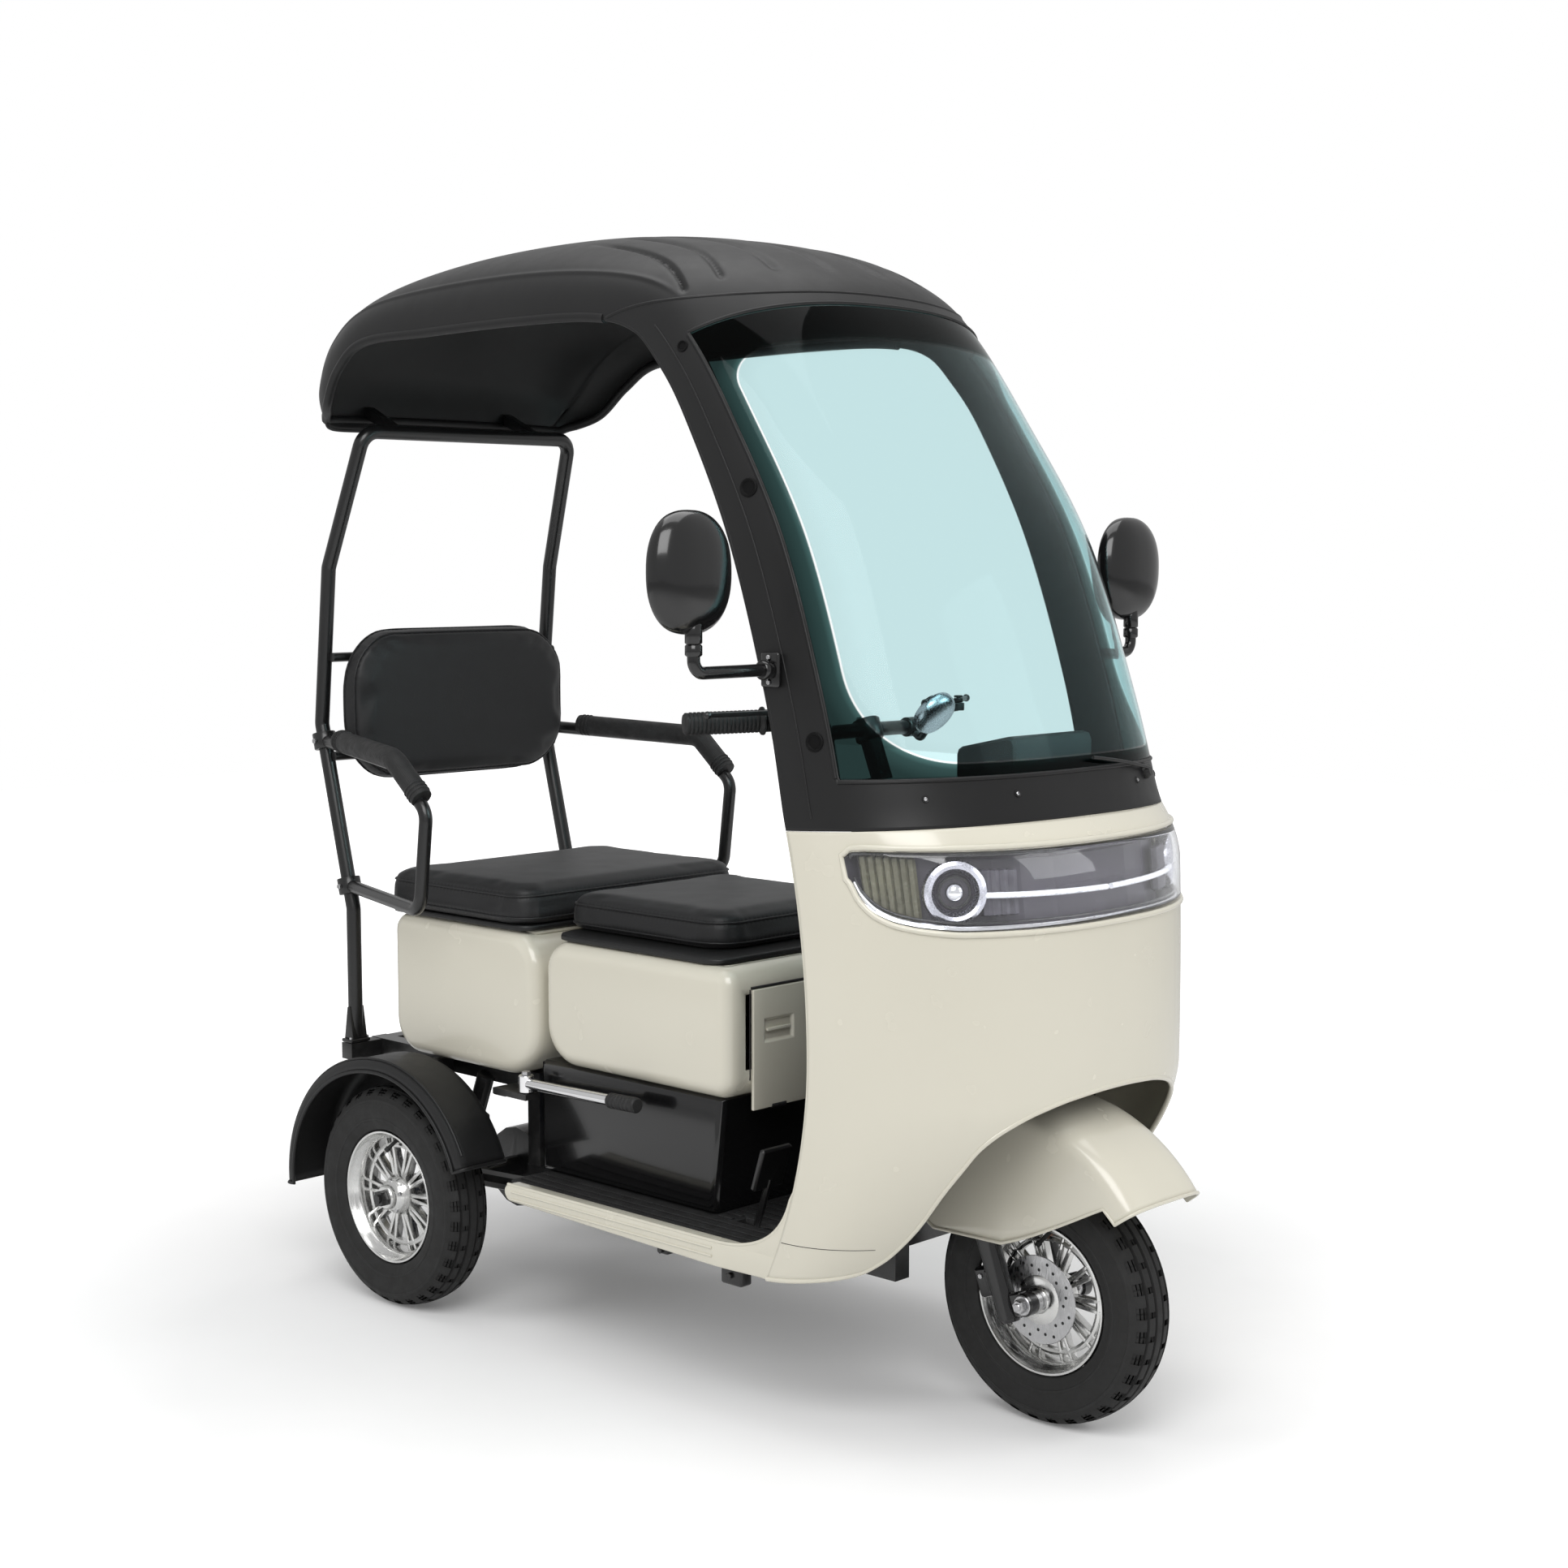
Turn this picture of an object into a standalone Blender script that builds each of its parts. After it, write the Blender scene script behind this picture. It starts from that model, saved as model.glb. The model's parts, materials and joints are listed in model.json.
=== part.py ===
"""A semi-enclosed electric tricycle for a rider and one passenger, modelled in metres.

+Z is up, the front wheel points to -Y and the rider's right hand is at -X. Every place is written
with y measured from the front axle and z from the ground. The parent empty "vehicle" then moves the
whole model along Y, so that its origin is the middle of its box on the ground.
"""

import math

import bmesh
import bpy
import numpy as np
from mathutils import Matrix, Vector

# Clearances and walls
GAP = 0.0004
RUN = 0.0010
WALL = 0.004
SKIN = 0.005

# Wheels and axles
TYRE_RADIUS = 0.185
TYRE_WIDTH = 0.085
RIM_RADIUS = 0.111
RIM_WIDTH = 0.068
HUB_RADIUS = 0.032
HUB_WIDTH = 0.080
AXLE_RADIUS = 0.0075
WHEEL_SIDES = 20
SPOKE_PAIRS = 5
WHEELBASE = 1.121
HALF_TRACK = 0.306

# Front fork and handlebar
RAKE = math.radians(22)
FORK_OFFSET = 0.037
LEG_X = 0.063
LEG_RADIUS = 0.0165
LEG_TOP = 0.165
STANCHION_RADIUS = 0.0115
FORK_TRAVEL = 0.045
CROWN_LOW = 0.252
CROWN_THICK = 0.020
STEM_RADIUS = 0.016
BOSS_TOP = 0.2967
BOSS_RADIUS = 0.021
HEAD_LOW = 0.330
HEAD_LONG = 0.130
HEAD_RADIUS = 0.025
BAR_RADIUS = 0.011
GRIP_RADIUS = 0.0165
GRIP_LONG = 0.120
GRIP_INNER = Vector((0.195, 0.393, 1.005))
GRIP_OUTER = Vector((0.300, 0.459, 1.002))
LEVER_REACH = 0.038
LEVER_RISE = 0.014
LEVER_LONG = 0.100
LEVER_THICK = 0.007
STEM_TOP = 0.858

DISPLAY_RADIUS = 0.036

# Front fender
FENDER_CENTRE = (0.030, 0.195)
FENDER_RADIUS = 0.285
FENDER_TAIL_RADIUS = 0.238
FENDER_HALF = 0.087
FENDER_FRONT = math.radians(36)
FENDER_REAR = math.radians(148)
FENDER_BEND = math.radians(120)
FENDER_SKIRT_Z = 0.272
FENDER_WALL = 0.003

# Body shell
BODY_HALF = 0.345
SECTION_POWER = 2.4
FAIRING_TOP = 0.870
FAIRING_CROWN = 0.016
FAIRING_FRONT = -0.100
FAIRING_ROLL_Z = 0.800
COWL_FRONT = -0.057
GLASS_SIDE = 0.80
GLASS_LOW = 0.40
GLASS_HIGH = 4.08
LENS_SIDE = 0.845
LAMP_TURN = 0.502
LAMP_Z = 0.797
LAMP_RADIUS = 0.044
LAMP_SEAT = -0.0003
LENS_WALL = 0.003
LENS_RIM = 0.010
TRAY_DEPTH = 0.040
COWL_ROW = 0.21
LENS_TURNS = (LENS_SIDE - 0.155, LENS_SIDE - 0.085, LENS_SIDE - 0.035, LENS_SIDE)
EDGE_TURNS = (LENS_SIDE + 0.290 * (1 - LENS_SIDE), LENS_SIDE + 0.613 * (1 - LENS_SIDE), 1.0)
FRONT_TURNS = (0.0, 0.12, 0.24, 0.34, 0.41, 0.45, 0.475, 0.492, 0.53, 0.59, *LENS_TURNS, *EDGE_TURNS)
SKIN_TURNS = (0.0, 0.14, 0.28, 0.42, 0.55, 0.67, 0.74, GLASS_SIDE, 0.90, 1.0)

# Floor and frame
FLOOR_Z = 0.262
FLOOR_THICK = 0.008
FLOOR_HALF = 0.312
FLOOR_REAR = 0.835
RAIL_X = 0.190
RAIL_SIZE = 0.030
RAIL_Z = 0.2375
SILL_HEIGHT = 0.036
WELL_REAR = 0.268
WELL_HALF = 0.155
SHIELD_FADE = 0.070
DASH_Z = 0.8464
HOOD_Y = (0.012, 0.118)
HOOD_HALF = 0.090
HOOD_TOP = 0.998

# Seats and boxes
BOX_HALF = 0.250
FRONT_BOX_Y = (0.410, 0.828)
FRONT_BOX_Z = (0.442, 0.640)
REAR_BOX_Y = (0.846, 1.214)
REAR_BOX_Z = (0.408, 0.645)
REAR_RAIL_Z = REAR_BOX_Z[0] - GAP - RAIL_SIZE / 2
LID_THICK = 0.009
SADDLE_Y = (0.500, 0.862)
SADDLE_HALF = 0.180
SADDLE_THICK = 0.056
BENCH_Y = (0.868, 1.240)
BENCH_HALF = 0.256
BENCH_THICK = 0.064
LID_FRONT = 0.445
BENCH_HINGE_Y = 1.230
DOOR_HALF = 0.205
DOOR_Z = (0.424, 0.606)
DOOR_THICK = 0.006

# Rear hoop, backrest and armrests
POST_RADIUS = 0.0125
POST_X = 0.250
POST_LOW = (1.320, 0.640)
POST_MID = (1.400, 0.955)
POST_HIGH = (1.372, 1.223)
HOOP_Z = 1.452
HOOP_Y = 1.292
BACK_HALF = 0.243
BACK_Z = (0.853, 1.121)
BACK_THICK = 0.050
BACK_Y = 1.3602
TIE_RADIUS = 0.008
TIE_INSET = (0.047, 0.051)
ARM_FRONT = Vector((0.345, 0.994, 0.838))
ARM_LOW_Z = 0.676
ARM_RADIUS = 0.011

# Rear axle
AXLE_TUBE_RADIUS = 0.020
MOTOR_RADIUS = 0.070
SWING_PIVOT = Vector((0.0, 0.820, 0.202))
SWING_ARM_X = 0.150
SHOCK_X = 0.215
SHOCK_LEAN = math.radians(22)
SHOCK_FOOT = (1.088, 0.200)
ROD_RADIUS = 0.005
SPRING_SPAN = (0.0175, 0.1185)
SPRING_RADIUS = 0.0200
SPRING_WIRE = 0.0034
SPRING_TURNS = 4
SPRING_POINTS = 8

# Pedal, foot pegs and housed units
PEDAL_PIVOT = Vector((-0.225, 0.470, RAIL_Z))
PEDAL_HALF = 0.006
PEG_PIVOT = Vector((0.266, 0.850, 0.407))
PEG_TIP = Vector((0.286, 0.575, 0.419))
PEG_RADIUS = 0.009

# Mirrors
MIRROR_X = 0.494
MIRROR_Y = 0.242
MIRROR_Z = 1.223
MIRROR_HALF = (0.072, 0.082)
MIRROR_SIDES = 18
MIRROR_ARM_Z = 1.090
MIRROR_CLAMP_X = 0.346
MIRROR_PLATE_X = 0.3417

KNUCKLE_RADIUS = POST_RADIUS + 0.0075
KNUCKLE_HALF = 0.014
POST_SLACK = 0.0007

PAINTS = {
    "cream_plastic": ((0.62, 0.59, 0.50), 0.30, 0.0),
    "roof_plastic": ((0.035, 0.035, 0.036), 0.42, 0.0),
    "black_plastic": ((0.015, 0.015, 0.016), 0.50, 0.0),
    "gloss_black": ((0.010, 0.010, 0.011), 0.18, 0.0),
    "black_paint": ((0.012, 0.012, 0.013), 0.32, 0.0),
    "vinyl": ((0.014, 0.014, 0.015), 0.55, 0.0),
    "rubber": ((0.012, 0.012, 0.012), 0.75, 0.0),
    "tyre_rubber": ((0.010, 0.010, 0.010), 0.80, 0.0),
    "polished_alloy": ((0.72, 0.72, 0.70), 0.18, 1.0),
    "chrome": ((0.80, 0.80, 0.80), 0.08, 1.0),
    "tinted_glass": ((0.56, 0.75, 0.78), 0.05, 0.0),
    "clear_lens": ((0.85, 0.88, 0.90), 0.05, 0.0),
    "lamp_ring": ((0.60, 0.60, 0.63), 0.25, 0.0),
    "lamp_housing": ((0.10, 0.10, 0.11), 0.35, 0.2),
    "red_lens": ((0.45, 0.01, 0.01), 0.15, 0.0),
    "battery_case": ((0.03, 0.05, 0.10), 0.50, 0.0),
    "mirror_glass": ((0.80, 0.82, 0.84), 0.03, 1.0),
}


def clear_scene():
    for old in list(bpy.data.objects):
        bpy.data.objects.remove(old, do_unlink=True)


def paint(name):
    """The Principled material of this name, made once."""
    found = bpy.data.materials.get(name)
    if found:
        return found
    colour, roughness, metallic = PAINTS[name]
    made = bpy.data.materials.new(name)
    made.use_nodes = True
    shader = made.node_tree.nodes["Principled BSDF"]
    shader.inputs["Base Color"].default_value = (*colour, 1.0)
    shader.inputs["Roughness"].default_value = roughness
    shader.inputs["Metallic"].default_value = metallic
    return made


def add(name, shape, material, smooth=35):
    """An object from a bmesh, which is freed, or from a mesh."""
    if isinstance(shape, bmesh.types.BMesh):
        mesh = bpy.data.meshes.new(name)
        bmesh.ops.recalc_face_normals(shape, faces=shape.faces)
        shape.to_mesh(mesh)
        shape.free()
    else:
        mesh = shape
    mesh.materials.clear()
    mesh.materials.append(paint(material))
    mesh.shade_smooth()
    mesh.set_sharp_from_angle(angle=math.radians(smooth))
    made = bpy.data.objects.new(name, mesh)
    bpy.context.collection.objects.link(made)
    return made


def apply_modifiers(target):
    graph = bpy.context.evaluated_depsgraph_get()
    mesh = bpy.data.meshes.new_from_object(target.evaluated_get(graph))
    target.modifiers.clear()
    target.data = mesh


def combine(target, tools, operation):
    """Joins the tools to the target, or cuts them from it, and removes them."""
    for tool in tools:
        step = target.modifiers.new(operation.lower(), "BOOLEAN")
        step.operation = operation
        step.solver = "EXACT"
        step.object = tool
    apply_modifiers(target)
    for tool in tools:
        bpy.data.objects.remove(tool, do_unlink=True)
    return target


def fuse(target, tools):
    return combine(target, tools, "UNION")


def cut(target, tools):
    return combine(target, tools, "DIFFERENCE")


def thicken(sheet, thickness, offset=-1):
    """Gives an open sheet its wall; offset -1 puts the wall on the inner side of the faces."""
    wall = sheet.modifiers.new("wall", "SOLIDIFY")
    wall.thickness = thickness
    wall.offset = offset
    wall.use_even_offset = True
    apply_modifiers(sheet)
    return sheet


def sheet(name, rows, material, missing=()):
    """An open sheet through rows of points; the cells listed in missing are left out."""
    bm = bmesh.new()
    grid = [[bm.verts.new(point) for point in row] for row in rows]
    for i in range(len(grid) - 1):
        for j in range(len(grid[0]) - 1):
            if (i, j) not in missing:
                bm.faces.new((grid[i][j], grid[i][j + 1], grid[i + 1][j + 1], grid[i + 1][j]))
    loose = [v for v in bm.verts if not v.link_faces]
    bmesh.ops.delete(bm, geom=loose, context="VERTS")
    mesh = bpy.data.meshes.new(name)
    bm.to_mesh(mesh)
    bm.free()
    return add(name, mesh, material)


def shell(name, rows, material, wall, outer, missing=()):
    """A sheet with its wall on the inner side; outer is the direction that its skin faces."""
    made = sheet(name, rows, material, missing)
    direction = Vector(outer)
    face = max(made.data.polygons, key=lambda f: f.center.dot(direction))
    return thicken(made, wall, -1 if face.normal.dot(direction) > 0 else 1)


def walled(name, outer, inner, material, missing=()):
    """A wall between two layers of points in rows; the cells listed in missing are left open."""
    bm = bmesh.new()
    layers = [[[bm.verts.new(point) for point in row] for row in rows] for rows in (outer, inner)]
    twins = {}
    for front_row, back_row in zip(*layers):
        twins.update(zip(front_row, back_row))
    for layer in layers:
        for i in range(len(outer) - 1):
            for j in range(len(outer[0]) - 1):
                if (i, j) not in missing:
                    a, b = layer[i], layer[i + 1]
                    bm.faces.new((a[j], a[j + 1], b[j + 1], b[j]))
    for edge in [edge for edge in bm.edges if len(edge.link_faces) == 1]:
        a, b = edge.verts
        if a in twins:
            bm.faces.new((a, b, twins[b], twins[a]))
    bmesh.ops.delete(bm, geom=[v for v in bm.verts if not v.link_faces], context="VERTS")
    return add(name, bm, material)


def inward(surface, tau, at, depth, level=False):
    """A point below a surface, square to it, or square but kept level."""
    turn = max(-0.99, min(0.99, tau))
    across = surface(turn + 0.002, at) - surface(turn - 0.002, at)
    along = surface(turn, at + 0.001) - surface(turn, at - 0.001)
    normal = across.cross(along)
    if level:
        normal.z = 0
    return surface(tau, at) - normal.normalized() * depth


def skin_wall(name, surface, cells, near, far, material, missing=()):
    """A wall between two depths below a surface; cells holds rows of (tau, place) pairs."""
    outer, inner = (
        [[inward(surface, tau, at, depth) for tau, at in row] for row in cells] for depth in (near, far)
    )
    return walled(name, outer, inner, material, missing)


def box(name, low, high, material="black_paint", bevel=0.0, segments=1):
    """A block between two corners, with all its edges rounded by the bevel."""
    bm = bmesh.new()
    low, high = Vector(low), Vector(high)
    bmesh.ops.create_cube(bm, size=1)
    bmesh.ops.scale(bm, vec=high - low, verts=bm.verts)
    bmesh.ops.translate(bm, vec=(low + high) / 2, verts=bm.verts)
    if bevel:
        bmesh.ops.bevel(
            bm, geom=bm.edges, offset=bevel, segments=segments, profile=0.5, affect="EDGES", material=-1
        )
    return add(name, bm, material)


def lift(outline, axis, at):
    """A flat outline's points in space, square to the axis: (x, y) for z, (x, z) for y, (y, z) for x."""
    if axis == "z":
        return [Vector((a, b, at)) for a, b in outline]
    if axis == "y":
        return [Vector((a, at, b)) for a, b in outline]
    return [Vector((at, a, b)) for a, b in outline]


def prism(name, outline, axis, low, high, material="black_plastic", bevel=0.0, segments=1):
    """An outline pushed along an axis, with the rims of both ends rounded by the bevel."""
    bm = bmesh.new()
    face = bm.faces.new([bm.verts.new(point) for point in lift(outline, axis, low)])
    pushed = bmesh.ops.extrude_face_region(bm, geom=[face])["geom"]
    step = lift([(0, 0)], axis, high - low)[0]
    moved = [item for item in pushed if isinstance(item, bmesh.types.BMVert)]
    bmesh.ops.translate(bm, vec=step, verts=moved)
    if bevel:
        ends = [edge for edge in bm.edges if abs((edge.verts[0].co - edge.verts[1].co).dot(step)) < 1e-9]
        bmesh.ops.bevel(
            bm, geom=ends, offset=bevel, segments=segments, profile=0.5, affect="EDGES", material=-1
        )
    return add(name, bm, material)


def rounded(corners, radius, steps=3):
    """An outline with each corner turned into an arc; radius is one number or one for each corner."""
    outline = []
    count = len(corners)
    radii = radius if isinstance(radius, (list, tuple)) else [radius] * count
    for i in range(count):
        here = Vector(corners[i])
        back = (Vector(corners[i - 1]) - here).normalized()
        ahead = (Vector(corners[(i + 1) % count]) - here).normalized()
        half = back.angle(ahead) / 2
        centre = here + (back + ahead).normalized() * (radii[i] / math.sin(half))
        start = here + back * (radii[i] / math.tan(half)) - centre
        sweep = math.pi - 2 * half
        side = math.copysign(1, back.x * ahead.y - back.y * ahead.x)
        for k in range(steps + 1):
            turn = -side * sweep * k / steps
            c, s = math.cos(turn), math.sin(turn)
            outline.append((centre.x + c * start.x - s * start.y, centre.y + s * start.x + c * start.y))
    return outline


def turned(name, profile, sides, material, closed=False, turn=0.0):
    """A profile of (radius, height) points turned about Z; a closed profile makes a ring."""
    bm = bmesh.new()
    verts = [bm.verts.new((r, 0, z)) for r, z in profile]
    pairs = list(zip(verts, verts[1:]))
    if closed:
        pairs.append((verts[-1], verts[0]))
    edges = [bm.edges.new(pair) for pair in pairs]
    bmesh.ops.spin(
        bm, geom=edges, cent=(0, 0, 0), axis=(0, 0, 1), angle=2 * math.pi, steps=sides, use_merge=True
    )
    bmesh.ops.remove_doubles(bm, verts=bm.verts, dist=1e-6)
    bmesh.ops.rotate(bm, verts=bm.verts, cent=(0, 0, 0), matrix=Matrix.Rotation(turn, 3, "Z"))
    return add(name, bm, material)


def aim(target, start, direction):
    """Stands a piece made along +Z at the origin on a point, pointing in a direction."""
    turn = Vector((0, 0, 1)).rotation_difference(Vector(direction)).to_matrix().to_4x4()
    target.data.transform(Matrix.Translation(Vector(start)) @ turn)
    return target


def bar(name, start, end, radius, sides=10, material="black_paint"):
    """A round bar between two points."""
    start, end = Vector(start), Vector(end)
    bm = bmesh.new()
    length = (end - start).length
    bmesh.ops.create_cone(
        bm, cap_ends=True, segments=sides, radius1=radius, radius2=radius, depth=length,
        matrix=Matrix.Translation((0, 0, length / 2)),
    )
    return aim(add(name, bm, material), start, end - start)


def collar(name, start, end, outer, inner, sides=10, material="black_paint"):
    """A tube with a bore between two points."""
    start, end = Vector(start), Vector(end)
    length = (end - start).length
    profile = [(inner, 0), (outer, 0), (outer, length), (inner, length)]
    return aim(turned(name, profile, sides, material, closed=True), start, end - start)


def bent(points, radius, steps=4):
    """A route with each inner corner turned into an arc."""
    route = [Vector(points[0])]
    for before, here, after in zip(points, points[1:], points[2:]):
        here = Vector(here)
        back = (Vector(before) - here).normalized()
        ahead = (Vector(after) - here).normalized()
        half = back.angle(ahead) / 2
        reach = radius / math.tan(half)
        middle = (back + ahead).normalized()
        centre = here + middle * (radius / math.sin(half))
        start = here + back * reach - centre
        axis = start.cross(here + ahead * reach - centre)
        for k in range(steps + 1):
            turn = Matrix.Rotation((math.pi - 2 * half) * k / steps, 3, axis)
            route.append(centre + turn @ start)
    route.append(Vector(points[-1]))
    return route


def pipe(name, points, radius, material="black_paint", roundness=2):
    """A tube along a route, made from a curve with a bevel and filled caps."""
    curve = bpy.data.curves.new(name, "CURVE")
    curve.dimensions = "3D"
    curve.bevel_depth = radius
    curve.bevel_resolution = roundness
    curve.use_fill_caps = True
    line = curve.splines.new("POLY")
    line.points.add(len(points) - 1)
    for target, point in zip(line.points, points):
        target.co = (*point, 1)
    made = bpy.data.objects.new(name, curve)
    bpy.context.collection.objects.link(made)
    graph = bpy.context.evaluated_depsgraph_get()
    mesh = bpy.data.meshes.new_from_object(made.evaluated_get(graph))
    bpy.data.objects.remove(made, do_unlink=True)
    bm = bmesh.new()
    bm.from_mesh(mesh)
    bmesh.ops.remove_doubles(bm, verts=bm.verts, dist=1e-6)
    return add(name, bm, material)


def mirrored(point, side):
    """A point of the left side, put on the side that is asked for: 1 is left, -1 is right."""
    return Vector((point[0] * side, point[1], point[2]))


def smooth_key(keys, at):
    """A row of values between numbered rows of keys, on a smooth curve."""
    keys = np.array(keys, float)
    slope = np.gradient(keys, axis=0)
    i = min(int(at), len(keys) - 2)
    t = at - i
    start = (2 * t**3 - 3 * t**2 + 1) * keys[i] + (t**3 - 2 * t**2 + t) * slope[i]
    end = (-2 * t**3 + 3 * t**2) * keys[i + 1] + (t**3 - t**2) * slope[i + 1]
    return start + end


# The skin from the cowl over the windshield and the roof to the rear rim. Each key is a cross-section:
# centre y and z, edge y and z, half width.
SKIN_KEYS = [
    (COWL_FRONT, FAIRING_TOP + FAIRING_CROWN, 0.2077, FAIRING_TOP, BODY_HALF),
    (-0.004, 1.050, 0.249, 1.050, 0.342),
    (0.083, 1.270, 0.325, 1.270, 0.338),
    (0.215, 1.460, 0.415, 1.440, 0.334),
    (0.320, 1.600, 0.475, 1.520, 0.331),
    (0.400, 1.668, 0.530, 1.567, 0.330),
    (0.520, 1.712, 0.620, 1.587, 0.330),
    (0.740, 1.739, 0.780, 1.591, 0.330),
    (1.000, 1.735, 1.000, 1.588, 0.330),
    (1.200, 1.702, 1.160, 1.583, 0.330),
    (1.320, 1.645, 1.235, 1.545, 0.325),
    (1.385, 1.560, 1.290, 1.495, 0.308),
    (1.390, 1.475, 1.345, 1.470, 0.270),
]
LAST_SECTION = len(SKIN_KEYS) - 1


def section_point(tau, centre_y, centre_z, edge_y, edge_z, half_width):
    """A point of a rounded section; tau runs from -1 at the right edge over 0 to 1 at the left edge."""
    angle = tau * math.pi / 2
    across = abs(math.sin(angle)) ** (2 / SECTION_POWER)
    rise = max(math.cos(angle), 0.0) ** (2 / SECTION_POWER)
    y = edge_y + (centre_y - edge_y) * rise
    z = edge_z + (centre_z - edge_z) * rise
    return Vector((math.copysign(half_width * across, tau), y, z))


def skin_point(tau, at):
    return section_point(tau, *smooth_key(SKIN_KEYS, at))


def roof_start(tau):
    """The number of the section where the roof meets the windshield frame."""
    return 4.27 + 1.43 * abs(tau) ** 3.2


def fairing_rear_y(z):
    return 0.167 + (0.39 if z > 0.55 else 0.88) * (z - 0.55) ** 2


def fairing_front_y(z):
    low = max(0.0, 0.50 - z)
    high = max(0.0, z - FAIRING_ROLL_Z) / (FAIRING_TOP + FAIRING_CROWN - FAIRING_ROLL_Z)
    return FAIRING_FRONT + 1.51 * low**1.6 + (COWL_FRONT - FAIRING_FRONT) * high**2


def fairing_half(z):
    return BODY_HALF - 0.22 * max(0.0, 0.50 - z) ** 2


def fairing_point(tau, z):
    return section_point(tau, fairing_front_y(z), z, fairing_rear_y(z), z, fairing_half(z))


def fairing_low(tau):
    """The height of the fairing's lower edge, which climbs over the wheel arch."""
    turns = [0.0, 0.12, 0.24, 0.34, 0.41, 0.45, 0.475, 0.492, 0.53, 0.59, 0.69, 0.81, 1.0]
    heights = [0.504, 0.500, 0.488, 0.468, 0.442, 0.405, 0.370, 0.316, 0.268, 0.246, 0.236, 0.230, 0.222]
    return float(np.interp(abs(tau), turns, heights))


def fairing_high(tau):
    rise = max(math.cos(tau * math.pi / 2), 0.0) ** (2 / SECTION_POWER)
    return FAIRING_TOP + FAIRING_CROWN * rise


def lens_low(tau):
    turns = [0.0, 0.475, 0.59, *LENS_TURNS, 1.0]
    heights = [0.744, 0.745, 0.749, 0.756, 0.768, 0.788, 0.816, 0.800]
    return float(np.interp(abs(tau), turns, heights))


def lens_high(tau):
    turns = [0.0, *LENS_TURNS[1:], 1.0]
    heights = [0.854, 0.853, 0.851, 0.841, 0.838]
    return float(np.interp(abs(tau), turns, heights))


def steering_point(along, side=0.0, behind=0.0):
    """A point by its distance up the steering axis, sideways and square behind the axis."""
    lead = FORK_OFFSET + behind
    y = along * math.sin(RAKE) + lead * math.cos(RAKE)
    z = TYRE_RADIUS + along * math.cos(RAKE) - lead * math.sin(RAKE)
    return Vector((side, y, z))


def steering_y(z):
    foot = steering_point(0.0)
    return foot.y + (z - foot.z) * math.tan(RAKE)


def shares(low, high, count):
    return [low + (high - low) * k / (count - 1) for k in range(count)]


def both_sides(turns):
    """A row of turns from the right edge to the left edge, from its left half."""
    return [-t for t in reversed(turns) if t > 0] + list(turns)


def build_wheels():
    """Tyres and rims; each stands on a flat of its tread."""
    tread = TYRE_RADIUS / math.cos(math.pi / WHEEL_SIDES)
    bore = RIM_RADIUS + GAP
    half = TYRE_WIDTH / 2
    bead = RIM_WIDTH / 2 - 0.004
    side = [(bore, bead), (TYRE_RADIUS - 0.036, half), (TYRE_RADIUS - 0.012, half - 0.006), (tread, 0.016)]
    tyre_profile = side + [(r, -x) for r, x in reversed(side)]
    hub = HUB_WIDTH / 2
    rim_side = [
        (AXLE_RADIUS + RUN, hub), (HUB_RADIUS, hub), (HUB_RADIUS + 0.004, 0.008), (0.093, 0.008),
        (RIM_RADIUS, RIM_WIDTH / 2),
    ]
    rim_profile = rim_side + [(r, -x) for r, x in reversed(rim_side)]
    places = {
        "front": Vector((0, 0, TYRE_RADIUS)),
        "rear_right": Vector((-HALF_TRACK, WHEELBASE, TYRE_RADIUS)),
        "rear_left": Vector((HALF_TRACK, WHEELBASE, TYRE_RADIUS)),
    }
    made = {}
    for place, centre in places.items():
        start, end = place.partition("_")[::2]
        suffix = "_" + end if end else ""
        turn = math.pi / WHEEL_SIDES
        tyre = turned(start + "_tyre" + suffix, tyre_profile, WHEEL_SIDES, "tyre_rubber", True, turn)
        rim = turned(start + "_rim" + suffix, rim_profile, WHEEL_SIDES, "polished_alloy", True, turn)
        windows = []
        for k in range(2 * SPOKE_PAIRS):
            middle = (k + 0.5) * math.pi / SPOKE_PAIRS
            half_turn = 0.21 if k % 2 else 0.15
            near, far = HUB_RADIUS + 0.016, 0.086
            corners = [
                (near, middle - half_turn * 0.62), (far, middle - half_turn),
                (far, middle + half_turn), (near, middle + half_turn * 0.62),
            ]
            outline = [(r * math.cos(a), r * math.sin(a)) for r, a in corners]
            windows.append(prism("window", outline, "z", -RIM_WIDTH / 2, RIM_WIDTH / 2))
        cut(rim, windows)
        for piece in (tyre, rim):
            aim(piece, centre, (1, 0, 0))
        made[place] = (tyre, rim)
    return made


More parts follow.
